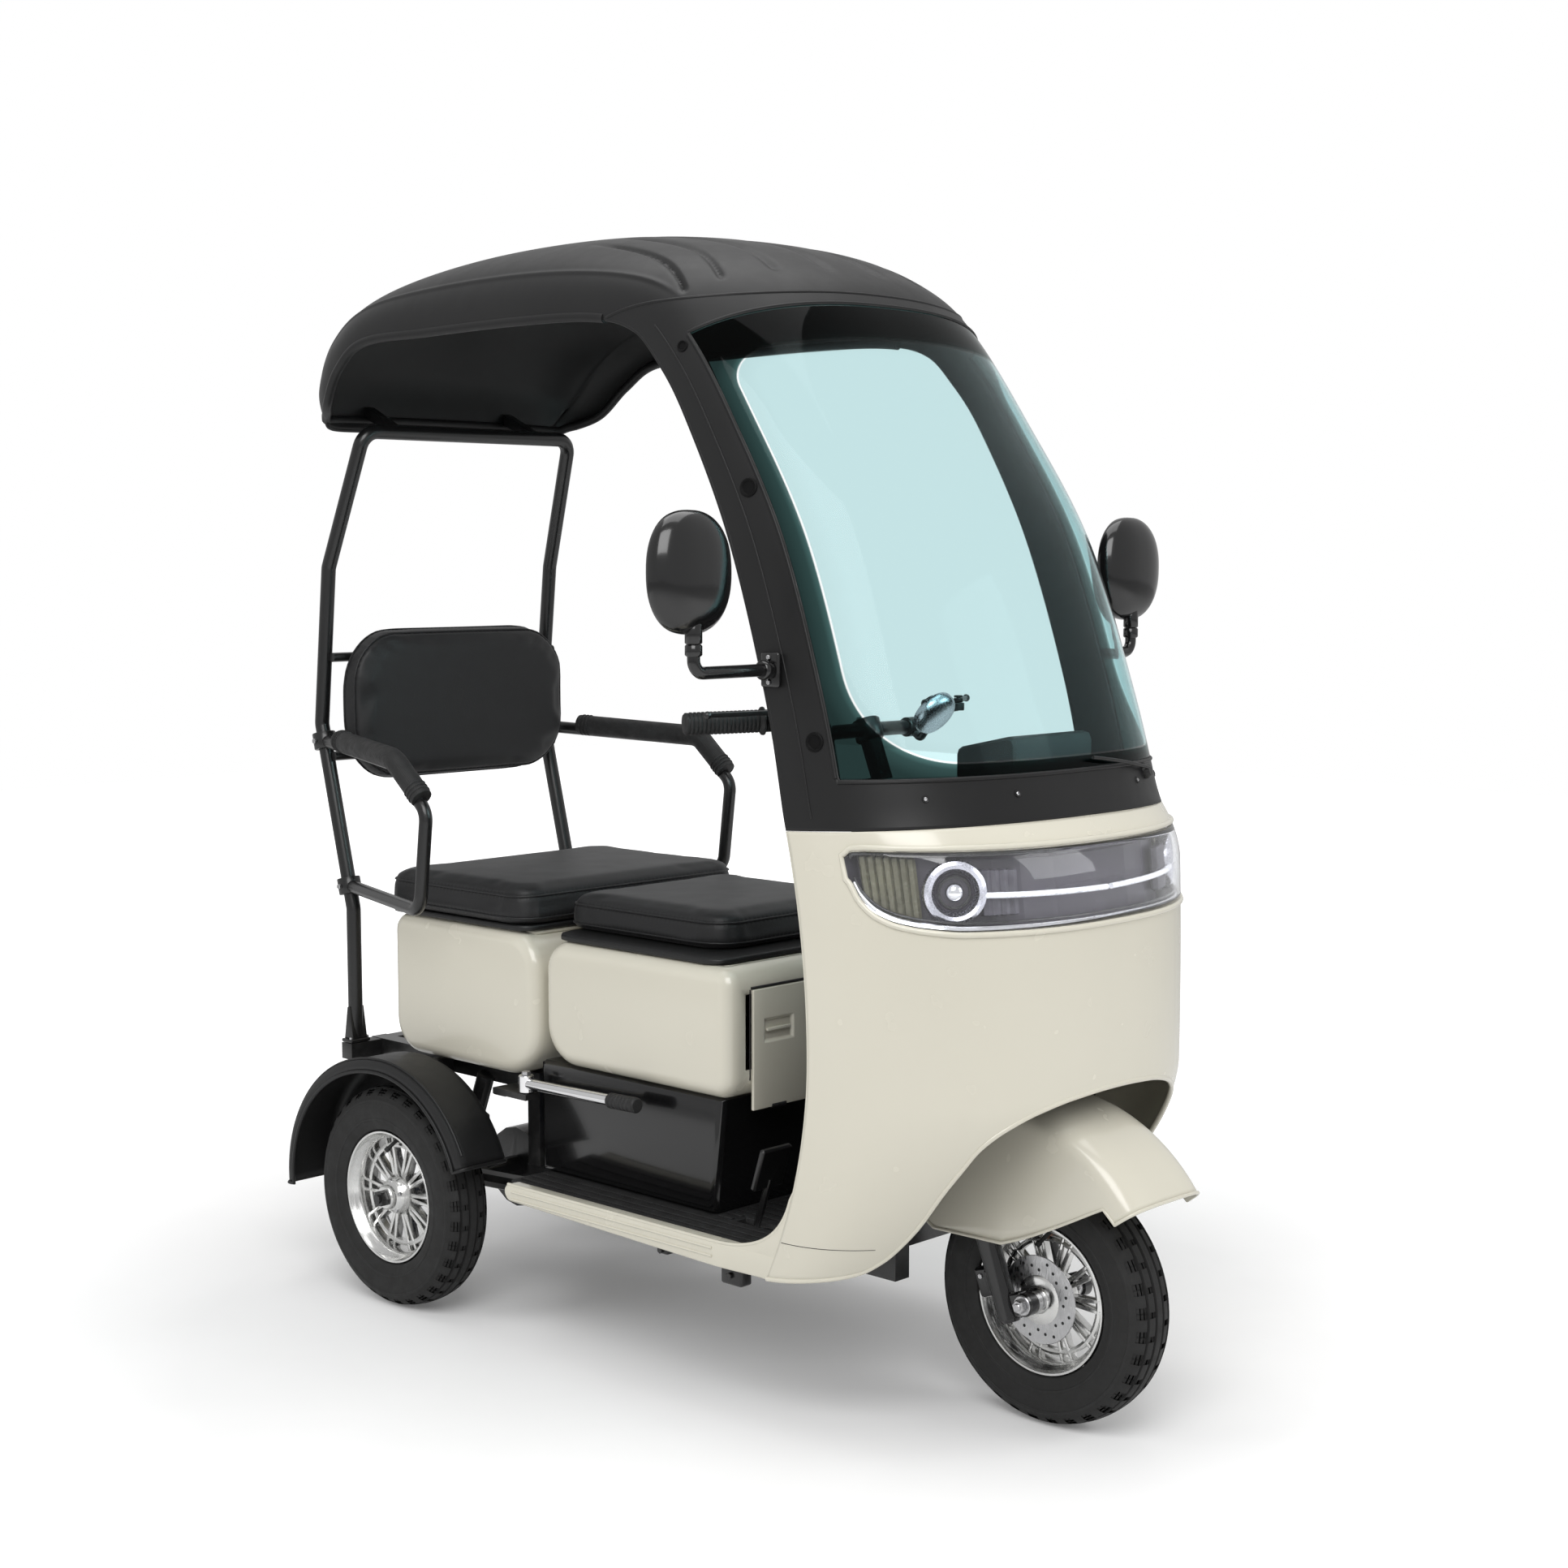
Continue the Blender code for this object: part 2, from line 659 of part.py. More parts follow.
def build_fork():
    """Yoke with the stem and stanchions, and the sliders that carry the axle."""
    crown_top = CROWN_LOW + CROWN_THICK
    yoke = box(
        "fork_yoke",
        (-LEG_X - 0.013, -0.022, CROWN_LOW), (LEG_X + 0.013, 0.022, crown_top),
        "black_paint", 0.006,
    )
    seat_top = HEAD_LOW - GAP
    parts = [
        bar("stem", (0, 0, crown_top - 0.004), (0, 0, STEM_TOP), STEM_RADIUS, 12),
        bar("race", (0, 0, HEAD_LOW - 0.006), (0, 0, seat_top), HEAD_RADIUS, 12),
        bar("boss", (0, 0, crown_top - 0.004), (0, 0, BOSS_TOP), BOSS_RADIUS, 12),
    ]
    for side in (-1, 1):
        foot = (side * LEG_X, 0, LEG_TOP - FORK_TRAVEL - 0.060)
        parts.append(bar("stanchion", foot, (side * LEG_X, 0, CROWN_LOW + 0.004), STANCHION_RADIUS))
    fuse(yoke, parts)
    to_axis = Matrix.Translation(steering_point(0)) @ Matrix.Rotation(-RAKE, 4, "X")
    yoke.data.transform(to_axis)

    leg_low = -0.020
    sliders = bar(
        "fork_sliders", (-LEG_X, 0, leg_low), (-LEG_X, 0, LEG_TOP), LEG_RADIUS, 10, "black_plastic"
    )
    parts = [bar("leg", (LEG_X, 0, leg_low), (LEG_X, 0, LEG_TOP), LEG_RADIUS)]
    for side in (-1, 1):
        x = side * LEG_X
        parts.append(
            bar("lug", (x - 0.010, -FORK_OFFSET, 0), (x + 0.010, -FORK_OFFSET, 0), 0.017, 10)
        )
        parts.append(box("web", (x - 0.010, -FORK_OFFSET, -0.014), (x + 0.010, 0, 0.020)))
        face = side * (HUB_WIDTH / 2 + GAP)
        parts.append(bar("spacer", (face, -FORK_OFFSET, 0), (x, -FORK_OFFSET, 0), 0.014))
        parts.append(
            bar("nut", (x + side * 0.006, -FORK_OFFSET, 0), (x + side * 0.022, -FORK_OFFSET, 0), 0.0105, 6)
        )
    parts.append(bar("axle", (-LEG_X, -FORK_OFFSET, 0), (LEG_X, -FORK_OFFSET, 0), AXLE_RADIUS))
    fuse(sliders, parts)
    bores = []
    for side in (-1, 1):
        x = side * LEG_X
        foot = (x, 0, LEG_TOP - 2 * FORK_TRAVEL - 0.070)
        bores.append(bar("bore", foot, (x, 0, LEG_TOP + 0.01), STANCHION_RADIUS + RUN))
    cut(sliders, bores)
    sliders.data.transform(to_axis)
    return yoke, sliders


def build_front_fender():
    rows = []
    centre_y, centre_z = FENDER_CENTRE
    for phi in shares(FENDER_FRONT, FENDER_REAR, 11):
        tail = max(0.0, (phi - FENDER_BEND) / (FENDER_REAR - FENDER_BEND))
        crest = FENDER_RADIUS + (FENDER_TAIL_RADIUS - FENDER_RADIUS) * tail**1.5
        steep = math.sin(phi) - 0.55 * max(0.0, math.cos(phi))
        height = FENDER_SKIRT_Z - centre_z - 0.55 * max(0.0, math.cos(phi)) * centre_y
        skirt = min(height / steep, crest - 0.062)
        corner = 0.035
        across = [
            (-FENDER_HALF, skirt), (-FENDER_HALF, (skirt + crest - corner) / 2),
            (-FENDER_HALF, crest - corner), (-FENDER_HALF + 0.011, crest - 0.011),
            (-FENDER_HALF + 0.040, crest - 0.002), (0.0, crest),
        ]
        line = across + [(-x, r) for x, r in reversed(across[:-1])]
        rows.append([
            Vector((x, centre_y - r * math.cos(phi), centre_z + r * math.sin(phi))) for x, r in line
        ])
    fender = shell("front_fender", rows, "cream_plastic", FENDER_WALL, (0, 0, 1))
    hole = bar("hole", steering_point(0.24), steering_point(0.36), STEM_RADIUS + 0.0016, 12)
    cut(fender, [hole])
    return fender


def build_fairing():
    turns = both_sides(FRONT_TURNS)
    rows = []
    for level in (0.0, 0.33, 0.67, 1.0):
        rows.append([
            (t, fairing_low(t) + (lens_low(t) - LENS_RIM - fairing_low(t)) * level) for t in turns
        ])
    rows.append([(t, lens_low(t)) for t in turns])
    rows.append([(t, lens_high(t)) for t in turns])
    rows.append([(t, lens_high(t) + LENS_RIM) for t in turns])
    rows.append([(t, fairing_high(t)) for t in turns])
    hole = [(4, j) for j in range(len(turns) - 1) if abs(turns[j] + turns[j + 1]) / 2 < LENS_SIDE]
    return skin_wall("front_fairing", fairing_point, rows, 0, WALL, "cream_plastic", hole)


def build_headlight():
    """The clear lens flush with the fairing, the dark tray behind it and the two lamps."""
    inside = [t for t in FRONT_TURNS if t < LENS_SIDE]
    turns = both_sides(inside + [LENS_SIDE - 0.003])
    slip = 0.0007
    rows = [[(t, lens_low(t) + slip) for t in turns], [(t, lens_high(t) - slip) for t in turns]]
    lens = skin_wall("headlight_lens", fairing_point, rows, 0, LENS_WALL, "clear_lens")

    turns = both_sides([t for t in FRONT_TURNS if t < LENS_SIDE + 0.05])
    rows = [[(t, lens_low(t) - LENS_RIM) for t in turns], [(t, lens_high(t) + LENS_RIM) for t in turns]]
    near, far = WALL + 0.0006, TRAY_DEPTH
    tray = skin_wall("headlight_housing", fairing_point, rows, near, far, "lamp_housing")
    turns = both_sides(inside + [LENS_SIDE - 0.006])
    rows = [[(t, lens_low(t) + 0.001) for t in turns], [(t, lens_high(t) - 0.001) for t in turns]]
    cut(tray, [skin_wall("pocket", fairing_point, rows, -0.010, TRAY_DEPTH - 0.004, "lamp_housing")])
    lamps = {}
    for side, word in ((-1, "right"), (1, "left")):
        base = inward(fairing_point, side * LAMP_TURN, LAMP_Z, TRAY_DEPTH - 0.004 - LAMP_SEAT)
        outward = (fairing_point(side * LAMP_TURN, LAMP_Z) - base).normalized()
        profile = [
            (0, 0), (LAMP_RADIUS, 0), (LAMP_RADIUS, 0.018), (LAMP_RADIUS - 0.009, 0.020),
            (LAMP_RADIUS - 0.012, 0.010), (0.016, 0.010), (0.012, 0.016), (0, 0.016),
        ]
        lamps[word] = aim(turned("lamp_" + word, profile, 16, "lamp_ring"), base, outward)
    return lens, tray, lamps


def cowl_point(tau, at):
    """The skin, bent at its start to meet the fairing's upper edge."""
    point = skin_point(tau, max(at, 0.0))
    if at < COWL_ROW:
        edge = fairing_point(tau, fairing_high(tau)) + Vector((0, 0, GAP + 0.0002))
        point += (edge - skin_point(tau, 0.0)) * (1 - max(at, 0.0) / COWL_ROW) ** 2
    return point


def build_windshield():
    """The frame round the glass, from the cowl to the roof, and the glass."""
    turns = both_sides(SKIN_TURNS)
    levels = shares(GLASS_LOW, GLASS_HIGH, 8)
    rows = [[(t, at) for t in turns] for at in [0.0, COWL_ROW] + levels]
    rows.append([(t, roof_start(t) - 0.006) for t in turns])
    hole = [
        (i, j) for i in range(2, 9) for j in range(len(turns) - 1)
        if abs(turns[j] + turns[j + 1]) / 2 < GLASS_SIDE
    ]
    frame = skin_wall("windshield_frame", cowl_point, rows, 0, SKIN, "roof_plastic", hole)
    turns = both_sides([t for t in SKIN_TURNS if t < GLASS_SIDE] + [GLASS_SIDE - 0.0022])
    low, high = GLASS_LOW + 0.004, GLASS_HIGH - 0.004
    rows = [[(t, at) for t in turns] for at in [low] + levels[1:-1] + [high]]
    glass = skin_wall("windshield", cowl_point, rows, 0, WALL, "tinted_glass")
    return {"windshield_frame": frame, "windshield": glass}


def build_roof():
    rows = []
    for share in shares(0.0, 1.0, 9):
        row = []
        for t in both_sides(SKIN_TURNS):
            start = roof_start(t) + 0.006
            row.append((t, start + (LAST_SECTION - start) * share))
        rows.append(row)
    return skin_wall("roof_canopy", cowl_point, rows, 0, SKIN, "roof_plastic")


def shield_flat(z):
    """Half the width of the leg shield's level crest, which narrows above the wheel well."""
    high = min(1.0, max(0.0, (z - 0.48) / 0.25))
    return WELL_HALF + (0.050 - WELL_HALF) * high


def shield_y(x, z):
    """The rider's side of the leg shield, which swells round the wheel well and the steering column."""
    base = fairing_rear_y(z) - 0.008
    hump = max(WELL_REAR, steering_y(z) + 0.046)
    fade = min(1.0, max(0.0, (abs(x) - shield_flat(z)) / SHIELD_FADE))
    fade = fade * fade * (3 - 2 * fade)
    return hump + (base - hump) * fade


def shield_point(x, z):
    return Vector((x, shield_y(x, z), z))


def build_leg_shield():
    outer, inner = [], []
    for z in (FLOOR_Z + GAP, 0.36, 0.46, 0.58, 0.71, DASH_Z - GAP):
        half = fairing_half(z) - WALL - (0.0034 if z < 0.50 else 0.0012)
        flat = shield_flat(z)
        slope = [flat + SHIELD_FADE * share for share in (0.0, 0.2, 0.4, 0.6, 0.8, 1.0)]
        xs = both_sides([0.0, flat / 2] + slope + [half])
        outer.append([shield_point(x, z) for x in xs])
        row = []
        for x in xs:
            slope = (shield_y(x + 0.001, z) - shield_y(x - 0.001, z)) / 0.002
            normal = Vector((-slope, 1, 0)).normalized()
            point = shield_point(x, z) - normal * WALL
            point.x = max(-half, min(half, point.x))
            row.append(point)
        inner.append(row)
    return walled("leg_shield", outer, inner, "black_plastic")


def build_dashboard():
    """The level plate behind the headlight tray, with the instrument hood on it."""
    low = DASH_Z
    outline = []
    for t in both_sides(FRONT_TURNS[:-1]):
        depth = TRAY_DEPTH + 0.014 if abs(t) < LENS_SIDE + 0.05 else WALL + 0.0012
        point = inward(fairing_point, t, low + 0.003, depth, level=True)
        outline.append((point.x, point.y))
    for x in (0.325, 0.20, 0.12, 0.085, 0.05, 0.0, -0.05, -0.085, -0.12, -0.20, -0.325):
        outline.append((x, shield_y(x, low) + 0.004))
    dash = prism("dashboard", outline, "z", low, low + 0.006)
    hole = bar("hole", steering_point(0.60), steering_point(0.86), STEM_RADIUS + 0.008, 16)
    cut(dash, [hole])
    near, far = HOOD_Y
    corners = [(near, low + 0.003), (far, low + 0.003), (far, HOOD_TOP - 0.023), (near, HOOD_TOP)]
    hood = prism("hood", rounded(corners, 0.012, 2), "x", -HOOD_HALF, HOOD_HALF, "black_plastic", 0.004)
    return fuse(dash, [hood])


def build_frame():
    """Welded square tubes under the floor and the seats, with the head tube in front."""
    h = RAIL_SIZE / 2
    z0, z1 = RAIL_Z - h, RAIL_Z + h
    front, back = 0.140, 0.905
    upper0, upper1 = REAR_RAIL_Z - h, REAR_RAIL_Z + h
    head_low, head_high = steering_point(HEAD_LOW), steering_point(HEAD_LOW + HEAD_LONG)
    frame = bar("main_frame", head_low, head_high, HEAD_RADIUS, 16)
    parts = []
    for side in (-1, 1):
        x = side * RAIL_X
        x0, x1 = x - h, x + h
        column_top = 0.520
        parts.append(box("rail", (x0, front - h, z0), (x1, back + h, z1)))
        parts.append(box("column", (x0, front - h, z0 + 0.002), (x1, front + h, column_top)))
        riser_top = (x1 - 0.001, back + h - 0.001, upper1 - 0.002)
        parts.append(box("riser", (x0 + 0.001, back - h, z0 + 0.001), riser_top))
        parts.append(box("rear_rail", (x0, back - h - 0.001, upper0), (x1, POST_LOW[0] + h, upper1)))
    neck = RAIL_X + h - 0.001, front + h - 0.001
    parts.append(box("neck", (-neck[0], front - h + 0.001, 0.492), (*neck, 0.5195)))
    for y in (0.240, 0.520, 0.790):
        parts.append(box("cross", (-0.306, y - h, z0 + 0.001), (0.306, y + h, z1 - 0.001)))
    for y, half in ((back, RAIL_X), (1.030, RAIL_X), (POST_LOW[0], POST_X + 0.020)):
        corner = (half, y + h - 0.001, upper1 - 0.001)
        parts.append(box("upper_cross", (-half, y - h + 0.001, upper0 + 0.001), corner))
    for side in (-1, 1):
        plate = sorted((side * (SWING_ARM_X + 0.015 + GAP), side * (RAIL_X - h + 0.002)))
        pivot = SWING_PIVOT
        corner = (plate[1], pivot.y + 0.016, RAIL_Z)
        parts.append(box("hanger", (plate[0], pivot.y - 0.016, pivot.z - 0.016), corner))
        pin_in = Vector((side * (SWING_ARM_X - 0.010), pivot.y, pivot.z))
        pin_out = Vector((side * (RAIL_X - h + 0.001), pivot.y, pivot.z))
        parts.append(bar("swing_pin", pin_in, pin_out, 0.008, 10))
        parts.append(bar("damper", lean(side, SPRING_SPAN[1] + GAP), lean(side, 0.204), 0.0150, 10))
        parts.append(bar("seat", lean(side, SPRING_SPAN[1] + GAP), lean(side, 0.126), 0.0255, 10))
        fender_x = HALF_TRACK - 0.050 - GAP
        low, high = sorted((side * RAIL_X, side * fender_x))
        corner = (high, WHEELBASE + 0.012, REAR_RAIL_Z + 0.010)
        parts.append(box("fender_arm", (low, WHEELBASE - 0.012, REAR_RAIL_Z - 0.010), corner))
        peg = mirrored(PEG_PIVOT, side)
        plate_z = peg.z - 0.014 - GAP
        low, high = sorted((side * RAIL_X, side * (PEG_PIVOT.x + 0.010)))
        corner = (high, back + 0.014, plate_z - 0.0005)
        parts.append(box("peg_arm", (low, back - 0.014, plate_z - 0.012), corner))
        low, high = sorted((side * (PEG_PIVOT.x - 0.013), side * (PEG_PIVOT.x + 0.013)))
        parts.append(box("peg_lug", (low, peg.y - 0.013, plate_z - 0.010), (high, back + 0.013, plate_z)))
        pin_top = (peg.x, peg.y, peg.z + 0.018)
        parts.append(bar("peg_pin", (peg.x, peg.y, plate_z - 0.004), pin_top, 0.005, 8))
    across = Vector((1, 0, 0))
    rail = Vector((-RAIL_X, PEDAL_PIVOT.y, PEDAL_PIVOT.z))
    end = PEDAL_PIVOT - across * 0.012
    near, far = PEDAL_PIVOT + across * (PEDAL_HALF + GAP), PEDAL_PIVOT - across * (PEDAL_HALF + GAP)
    parts.append(bar("pedal_pin", rail, end, 0.006, 8))
    parts.append(bar("pedal_head", far, end, 0.009, 8))
    parts.append(bar("pedal_shoulder", rail, near, 0.010, 8))
    fuse(frame, parts)
    ends = steering_point(HEAD_LOW - 0.01), steering_point(HEAD_LOW + HEAD_LONG + 0.01)
    bores = [bar("bore", *ends, STEM_RADIUS + RUN, 16)]
    for side in (-1, 1):
        bores.append(bar("damper_bore", lean(side, 0.110), lean(side, 0.196), 0.0098, 10))
    return cut(frame, bores)


def build_floor():
    """Floor plate, notched round the wheel well, and the black body below the seat boxes."""
    front = 0.222
    corner = 0.018
    outline = [
        (-FLOOR_HALF, front + corner), (-FLOOR_HALF + corner, front), (-WELL_HALF - 0.050, front),
        (-WELL_HALF + 0.010, WELL_REAR - 0.006), (WELL_HALF - 0.010, WELL_REAR - 0.006),
        (WELL_HALF + 0.050, front), (FLOOR_HALF - corner, front), (FLOOR_HALF, front + corner),
        (FLOOR_HALF, FLOOR_REAR), (-FLOOR_HALF, FLOOR_REAR),
    ]
    floor = prism("floor_board", outline, "z", FLOOR_Z - FLOOR_THICK, FLOOR_Z)
    x = PEDAL_PIVOT.x
    slot = box("slot", (x - 0.013, 0.325, FLOOR_Z - 0.05), (x + 0.013, 0.412, FLOOR_Z + 0.05))
    return cut(floor, [slot])


def build_lower_body():
    """The black housing between the floor and the seat boxes, open at its back for the battery."""
    half = BOX_HALF - 0.010
    low, high = FLOOR_Z + GAP, FRONT_BOX_Z[0] - GAP
    front, back = FRONT_BOX_Y[0] + 0.045, REAR_BOX_Y[0] - GAP
    outline = [(front, low), (back, low), (back, high), (front - 0.020, high)]
    body = prism("lower_body", outline, "x", -half, half, "black_plastic", 0.012, 2)
    corner = (half - WALL, back + 0.01, high - WALL)
    hollow = box("hollow", (-half + WALL, front + 0.014, low + WALL), corner)
    return cut(body, [hollow])


def build_sills():
    made = {}
    for side, word in ((-1, "right"), (1, "left")):
        outline = rounded(
            [(0.262, FLOOR_Z - SILL_HEIGHT), (FLOOR_REAR - 0.020, FLOOR_Z - SILL_HEIGHT + 0.010),
             (FLOOR_REAR, FLOOR_Z), (0.262, FLOOR_Z)], [0.004, 0.014, 0.010, 0.004], 2
        )
        inner, outer = FLOOR_HALF + GAP, FLOOR_HALF + 0.026
        low, high = sorted((side * inner, side * outer))
        made[word] = prism("sill_" + word, outline, "x", low, high, "cream_plastic", 0.003)
    return made


def plan_outline(half, y_range, front_radius, rear_radius, steps=3):
    corners = [(-half, y_range[0]), (half, y_range[0]), (half, y_range[1]), (-half, y_range[1])]
    return rounded(corners, [front_radius, front_radius, rear_radius, rear_radius], steps)


def hollow_box(name, half, y_range, z_range, front_radius, rear_radius, material):
    """A moulded box with a rounded plan and lower rim, open at the top."""
    outline = plan_outline(half, y_range, front_radius, rear_radius)
    body = prism(name, outline, "z", z_range[0], z_range[1], material)
    inner = plan_outline(
        half - WALL, (y_range[0] + WALL, y_range[1] - WALL), front_radius - WALL, rear_radius - WALL
    )
    hollow = prism("hollow", inner, "z", z_range[0] + WALL, z_range[1] + 0.01)
    return body, hollow


def build_front_box():
    """The cream box below the saddle, open at the top and with a doorway in its front wall."""
    body, hollow = hollow_box(
        "seat_box_front", BOX_HALF, FRONT_BOX_Y, FRONT_BOX_Z, 0.040, 0.050, "cream_plastic"
    )
    y = FRONT_BOX_Y[0]
    doorway = box(
        "doorway", (-DOOR_HALF + 0.022, y - 0.01, FRONT_BOX_Z[0] + 0.022),
        (DOOR_HALF - 0.022, y + 0.02, DOOR_Z[1] - 0.020),
    )
    cut(body, [hollow, doorway])
    door = box(
        "box_door", (-DOOR_HALF, y - GAP - DOOR_THICK, DOOR_Z[0]), (DOOR_HALF, y - GAP, DOOR_Z[1]),
        "cream_plastic", 0.002,
    )
    latch_y = y - GAP - DOOR_THICK
    pull = box("pull", (-0.180, latch_y - 0.01, 0.528), (-0.120, latch_y + 0.0035, 0.556))
    cut(door, [pull])
    lip = box("lip", (-0.172, latch_y - 0.002, 0.540), (-0.128, latch_y + 0.005, 0.547))
    fuse(door, [lip])
    return {"seat_box_front": body, "box_door": door}


def build_rear_box():
    body, hollow = hollow_box(
        "rear_box", BOX_HALF, REAR_BOX_Y, REAR_BOX_Z, 0.050, 0.050, "cream_plastic"
    )
    return cut(body, [hollow])


def crowned_pad(name, half, y_range, low, thick, power, around=24, nose=1.0):
    """A cushion on a flat base: a rounded plan, sides that bulge above a drawn-in foot, and a crown."""
    centre_y = (y_range[0] + y_range[1]) / 2
    half_y = (y_range[1] - y_range[0]) / 2
    bm = bmesh.new()
    rings = []
    sides = [(0.965, 0.0), (1.0, 0.16), (1.0, 0.62), (0.955, 0.84), (0.80, 0.955), (0.45, 0.995)]
    for scale, height in sides:
        ring = []
        for k in range(around):
            angle = 2 * math.pi * (k + 0.5) / around
            c, s = math.cos(angle), math.sin(angle)
            x = half * math.copysign(abs(c) ** (2 / power), c)
            y = half_y * math.copysign(abs(s) ** (2 / power), s)
            taper = nose + (1 - nose) * min(1.0, (y + half_y) / half_y)
            inset = (1 - scale) * half_y
            grow = (half_y - inset) / half_y
            grow_x = (half - inset) / half
            ring.append(bm.verts.new((x * taper * grow_x, centre_y + y * grow, low + thick * height)))
        rings.append(ring)
    for lower, upper in zip(rings, rings[1:]):
        for k in range(around):
            n = (k + 1) % around
            bm.faces.new((lower[k], lower[n], upper[n], upper[k]))
    bm.faces.new(list(reversed(rings[0])))
    top = bm.verts.new((0, centre_y, low + thick))
    for k in range(around):
        bm.faces.new((rings[-1][k], rings[-1][(k + 1) % around], top))
    return add(name, bm, "vinyl")


def build_seats():
    lid_low = FRONT_BOX_Z[1] + GAP
    outline = plan_outline(BOX_HALF - 0.012, (0.445, FRONT_BOX_Y[1] - 0.004), 0.030, 0.045)
    lid = prism("saddle_lid", outline, "z", lid_low, lid_low + LID_THICK)
    saddle = crowned_pad(
        "saddle_cushion", SADDLE_HALF, SADDLE_Y, lid_low + LID_THICK + GAP, SADDLE_THICK, 3.4, nose=0.86
    )
    low = REAR_BOX_Z[1] + GAP
    outline = plan_outline(BENCH_HALF - 0.010, (BENCH_Y[0] + 0.006, BENCH_Y[1] - 0.010), 0.030, 0.030)
    base = prism("bench_lid", outline, "z", low, low + LID_THICK)
    bench = crowned_pad(
        "bench_cushion", BENCH_HALF, BENCH_Y, low + LID_THICK + GAP, BENCH_THICK, 5.0
    )
    return lid, saddle, base, bench


def post_route():
    """The left post from its foot to the roof, as (y, z) points."""
    foot_z = REAR_RAIL_Z + RAIL_SIZE / 2 - 0.001 + GAP
    return [(POST_LOW[0], foot_z), POST_LOW, POST_MID, POST_HIGH, (HOOP_Y, HOOP_Z)]


def build_hoop():
    """One bent tube: up the right side, over under the roof and down the left side."""
    route = post_route()
    points = [Vector((-POST_X, y, z)) for y, z in route]
    points[-1].x = -POST_X + 0.020
    points += [Vector((-p.x, p.y, p.z)) for p in reversed(points)]
    hoop = pipe("rear_hoop", bent(points, 0.030, 3), POST_RADIUS, "black_paint", 2)
    feet = []
    for side in (-1, 1):
        y, z = route[0]
        x = side * POST_X
        feet.append(box("foot", (x - 0.020, y - 0.014, z), (x + 0.020, y + 0.014, z + 0.006)))
    tie_y = BACK_Y + GAP + TIE_RADIUS
    for tie_z in (BACK_Z[0] + TIE_INSET[0], BACK_Z[1] - TIE_INSET[1]):
        feet.append(bar("tie", (-POST_X, tie_y, tie_z), (POST_X, tie_y, tie_z), TIE_RADIUS, 8))
    for side in (-1, 1):
        rim = skin_point(side * 0.36, LAST_SECTION - 0.18)
        reach = rim.y - SKIN - 0.0028
        outline = [
            (HOOP_Y - 0.004, HOOP_Z - 0.003), (HOOP_Y + 0.008, HOOP_Z - 0.003),
            (reach, rim.z - 0.010), (reach, rim.z + 0.010), (HOOP_Y + 0.004, HOOP_Z + 0.009),
        ]
        low, high = sorted((rim.x, rim.x - side * 0.020))
        feet.append(prism("lug", outline, "x", low, high))
    return fuse(hoop, feet)


def build_backrest():
    """The pad between the posts, on its tie bar, with rounded corners and a crowned front."""
    low_z, high_z = BACK_Z
    middle = (low_z + high_z) / 2
    corners = [(-BACK_HALF, low_z), (BACK_HALF, low_z), (BACK_HALF, high_z), (-BACK_HALF, high_z)]
    back_y = BACK_Y
    bm = bmesh.new()
    rings = []
    for depth, inset in ((0.0, 0.006), (0.012, 0.0), (0.034, 0.0), (0.045, 0.008), (BACK_THICK, 0.035)):
        outline = rounded(
            [(x - math.copysign(inset, x), z - math.copysign(inset, z - middle)) for x, z in corners],
            max(0.070 - inset, 0.03), 5,
        )
        rings.append([bm.verts.new((x, back_y - depth, z)) for x, z in outline])
    for lower, upper in zip(rings, rings[1:]):
        count = len(lower)
        for k in range(count):
            n = (k + 1) % count
            bm.faces.new((lower[k], lower[n], upper[n], upper[k]))
    bm.faces.new(rings[0])
    bm.faces.new(rings[-1])
    return add("backrest_cushion", bm, "vinyl")


def arm_axis(side):
    """The line of the armrest's two knuckles, along the post between its lower bends."""
    low = Vector((side * POST_X, *POST_LOW))
    high = Vector((side * POST_X, *POST_MID))
    return low, high


def build_armrests():
    """A gate-like arm on each post: two knuckles, a tube loop and a pad on its upper run."""
    made = {}
    for side, word in ((-1, "right"), (1, "left")):
        low, high = arm_axis(side)
        along = (high - low).normalized()
        upper = low + along * ((high - low).length - 0.030)
        lower = low + along * 0.040
        front_top = mirrored(ARM_FRONT, side)
        front_low = Vector((front_top.x, front_top.y + 0.020, ARM_LOW_Z))
        knee = Vector((front_top.x, front_top.y + 0.085, front_top.z + 0.072))
        out = POST_RADIUS
        toward = (knee - upper).normalized()
        toward_low = (front_low - lower).normalized()
        route = bent([upper + toward * out, knee, front_top, front_low, lower + toward_low * out], 0.032, 3)
        arm = pipe("armrest_" + word, route, ARM_RADIUS, "black_paint", 2)
        knuckles = []
        for spot in (upper, lower):
            ends = spot - along * KNUCKLE_HALF, spot + along * KNUCKLE_HALF
            knuckles.append(bar("knuckle", *ends, KNUCKLE_RADIUS, 12))
        fuse(arm, knuckles)
        ends = lower - along * 2 * KNUCKLE_HALF, upper + along * 2 * KNUCKLE_HALF
        cut(arm, [bar("bore", *ends, POST_RADIUS + POST_SLACK, 12)])
        pad = arm_pad("armrest_pad_" + word, upper, knee, front_top, side)
        made[word] = (arm, pad)
    return made


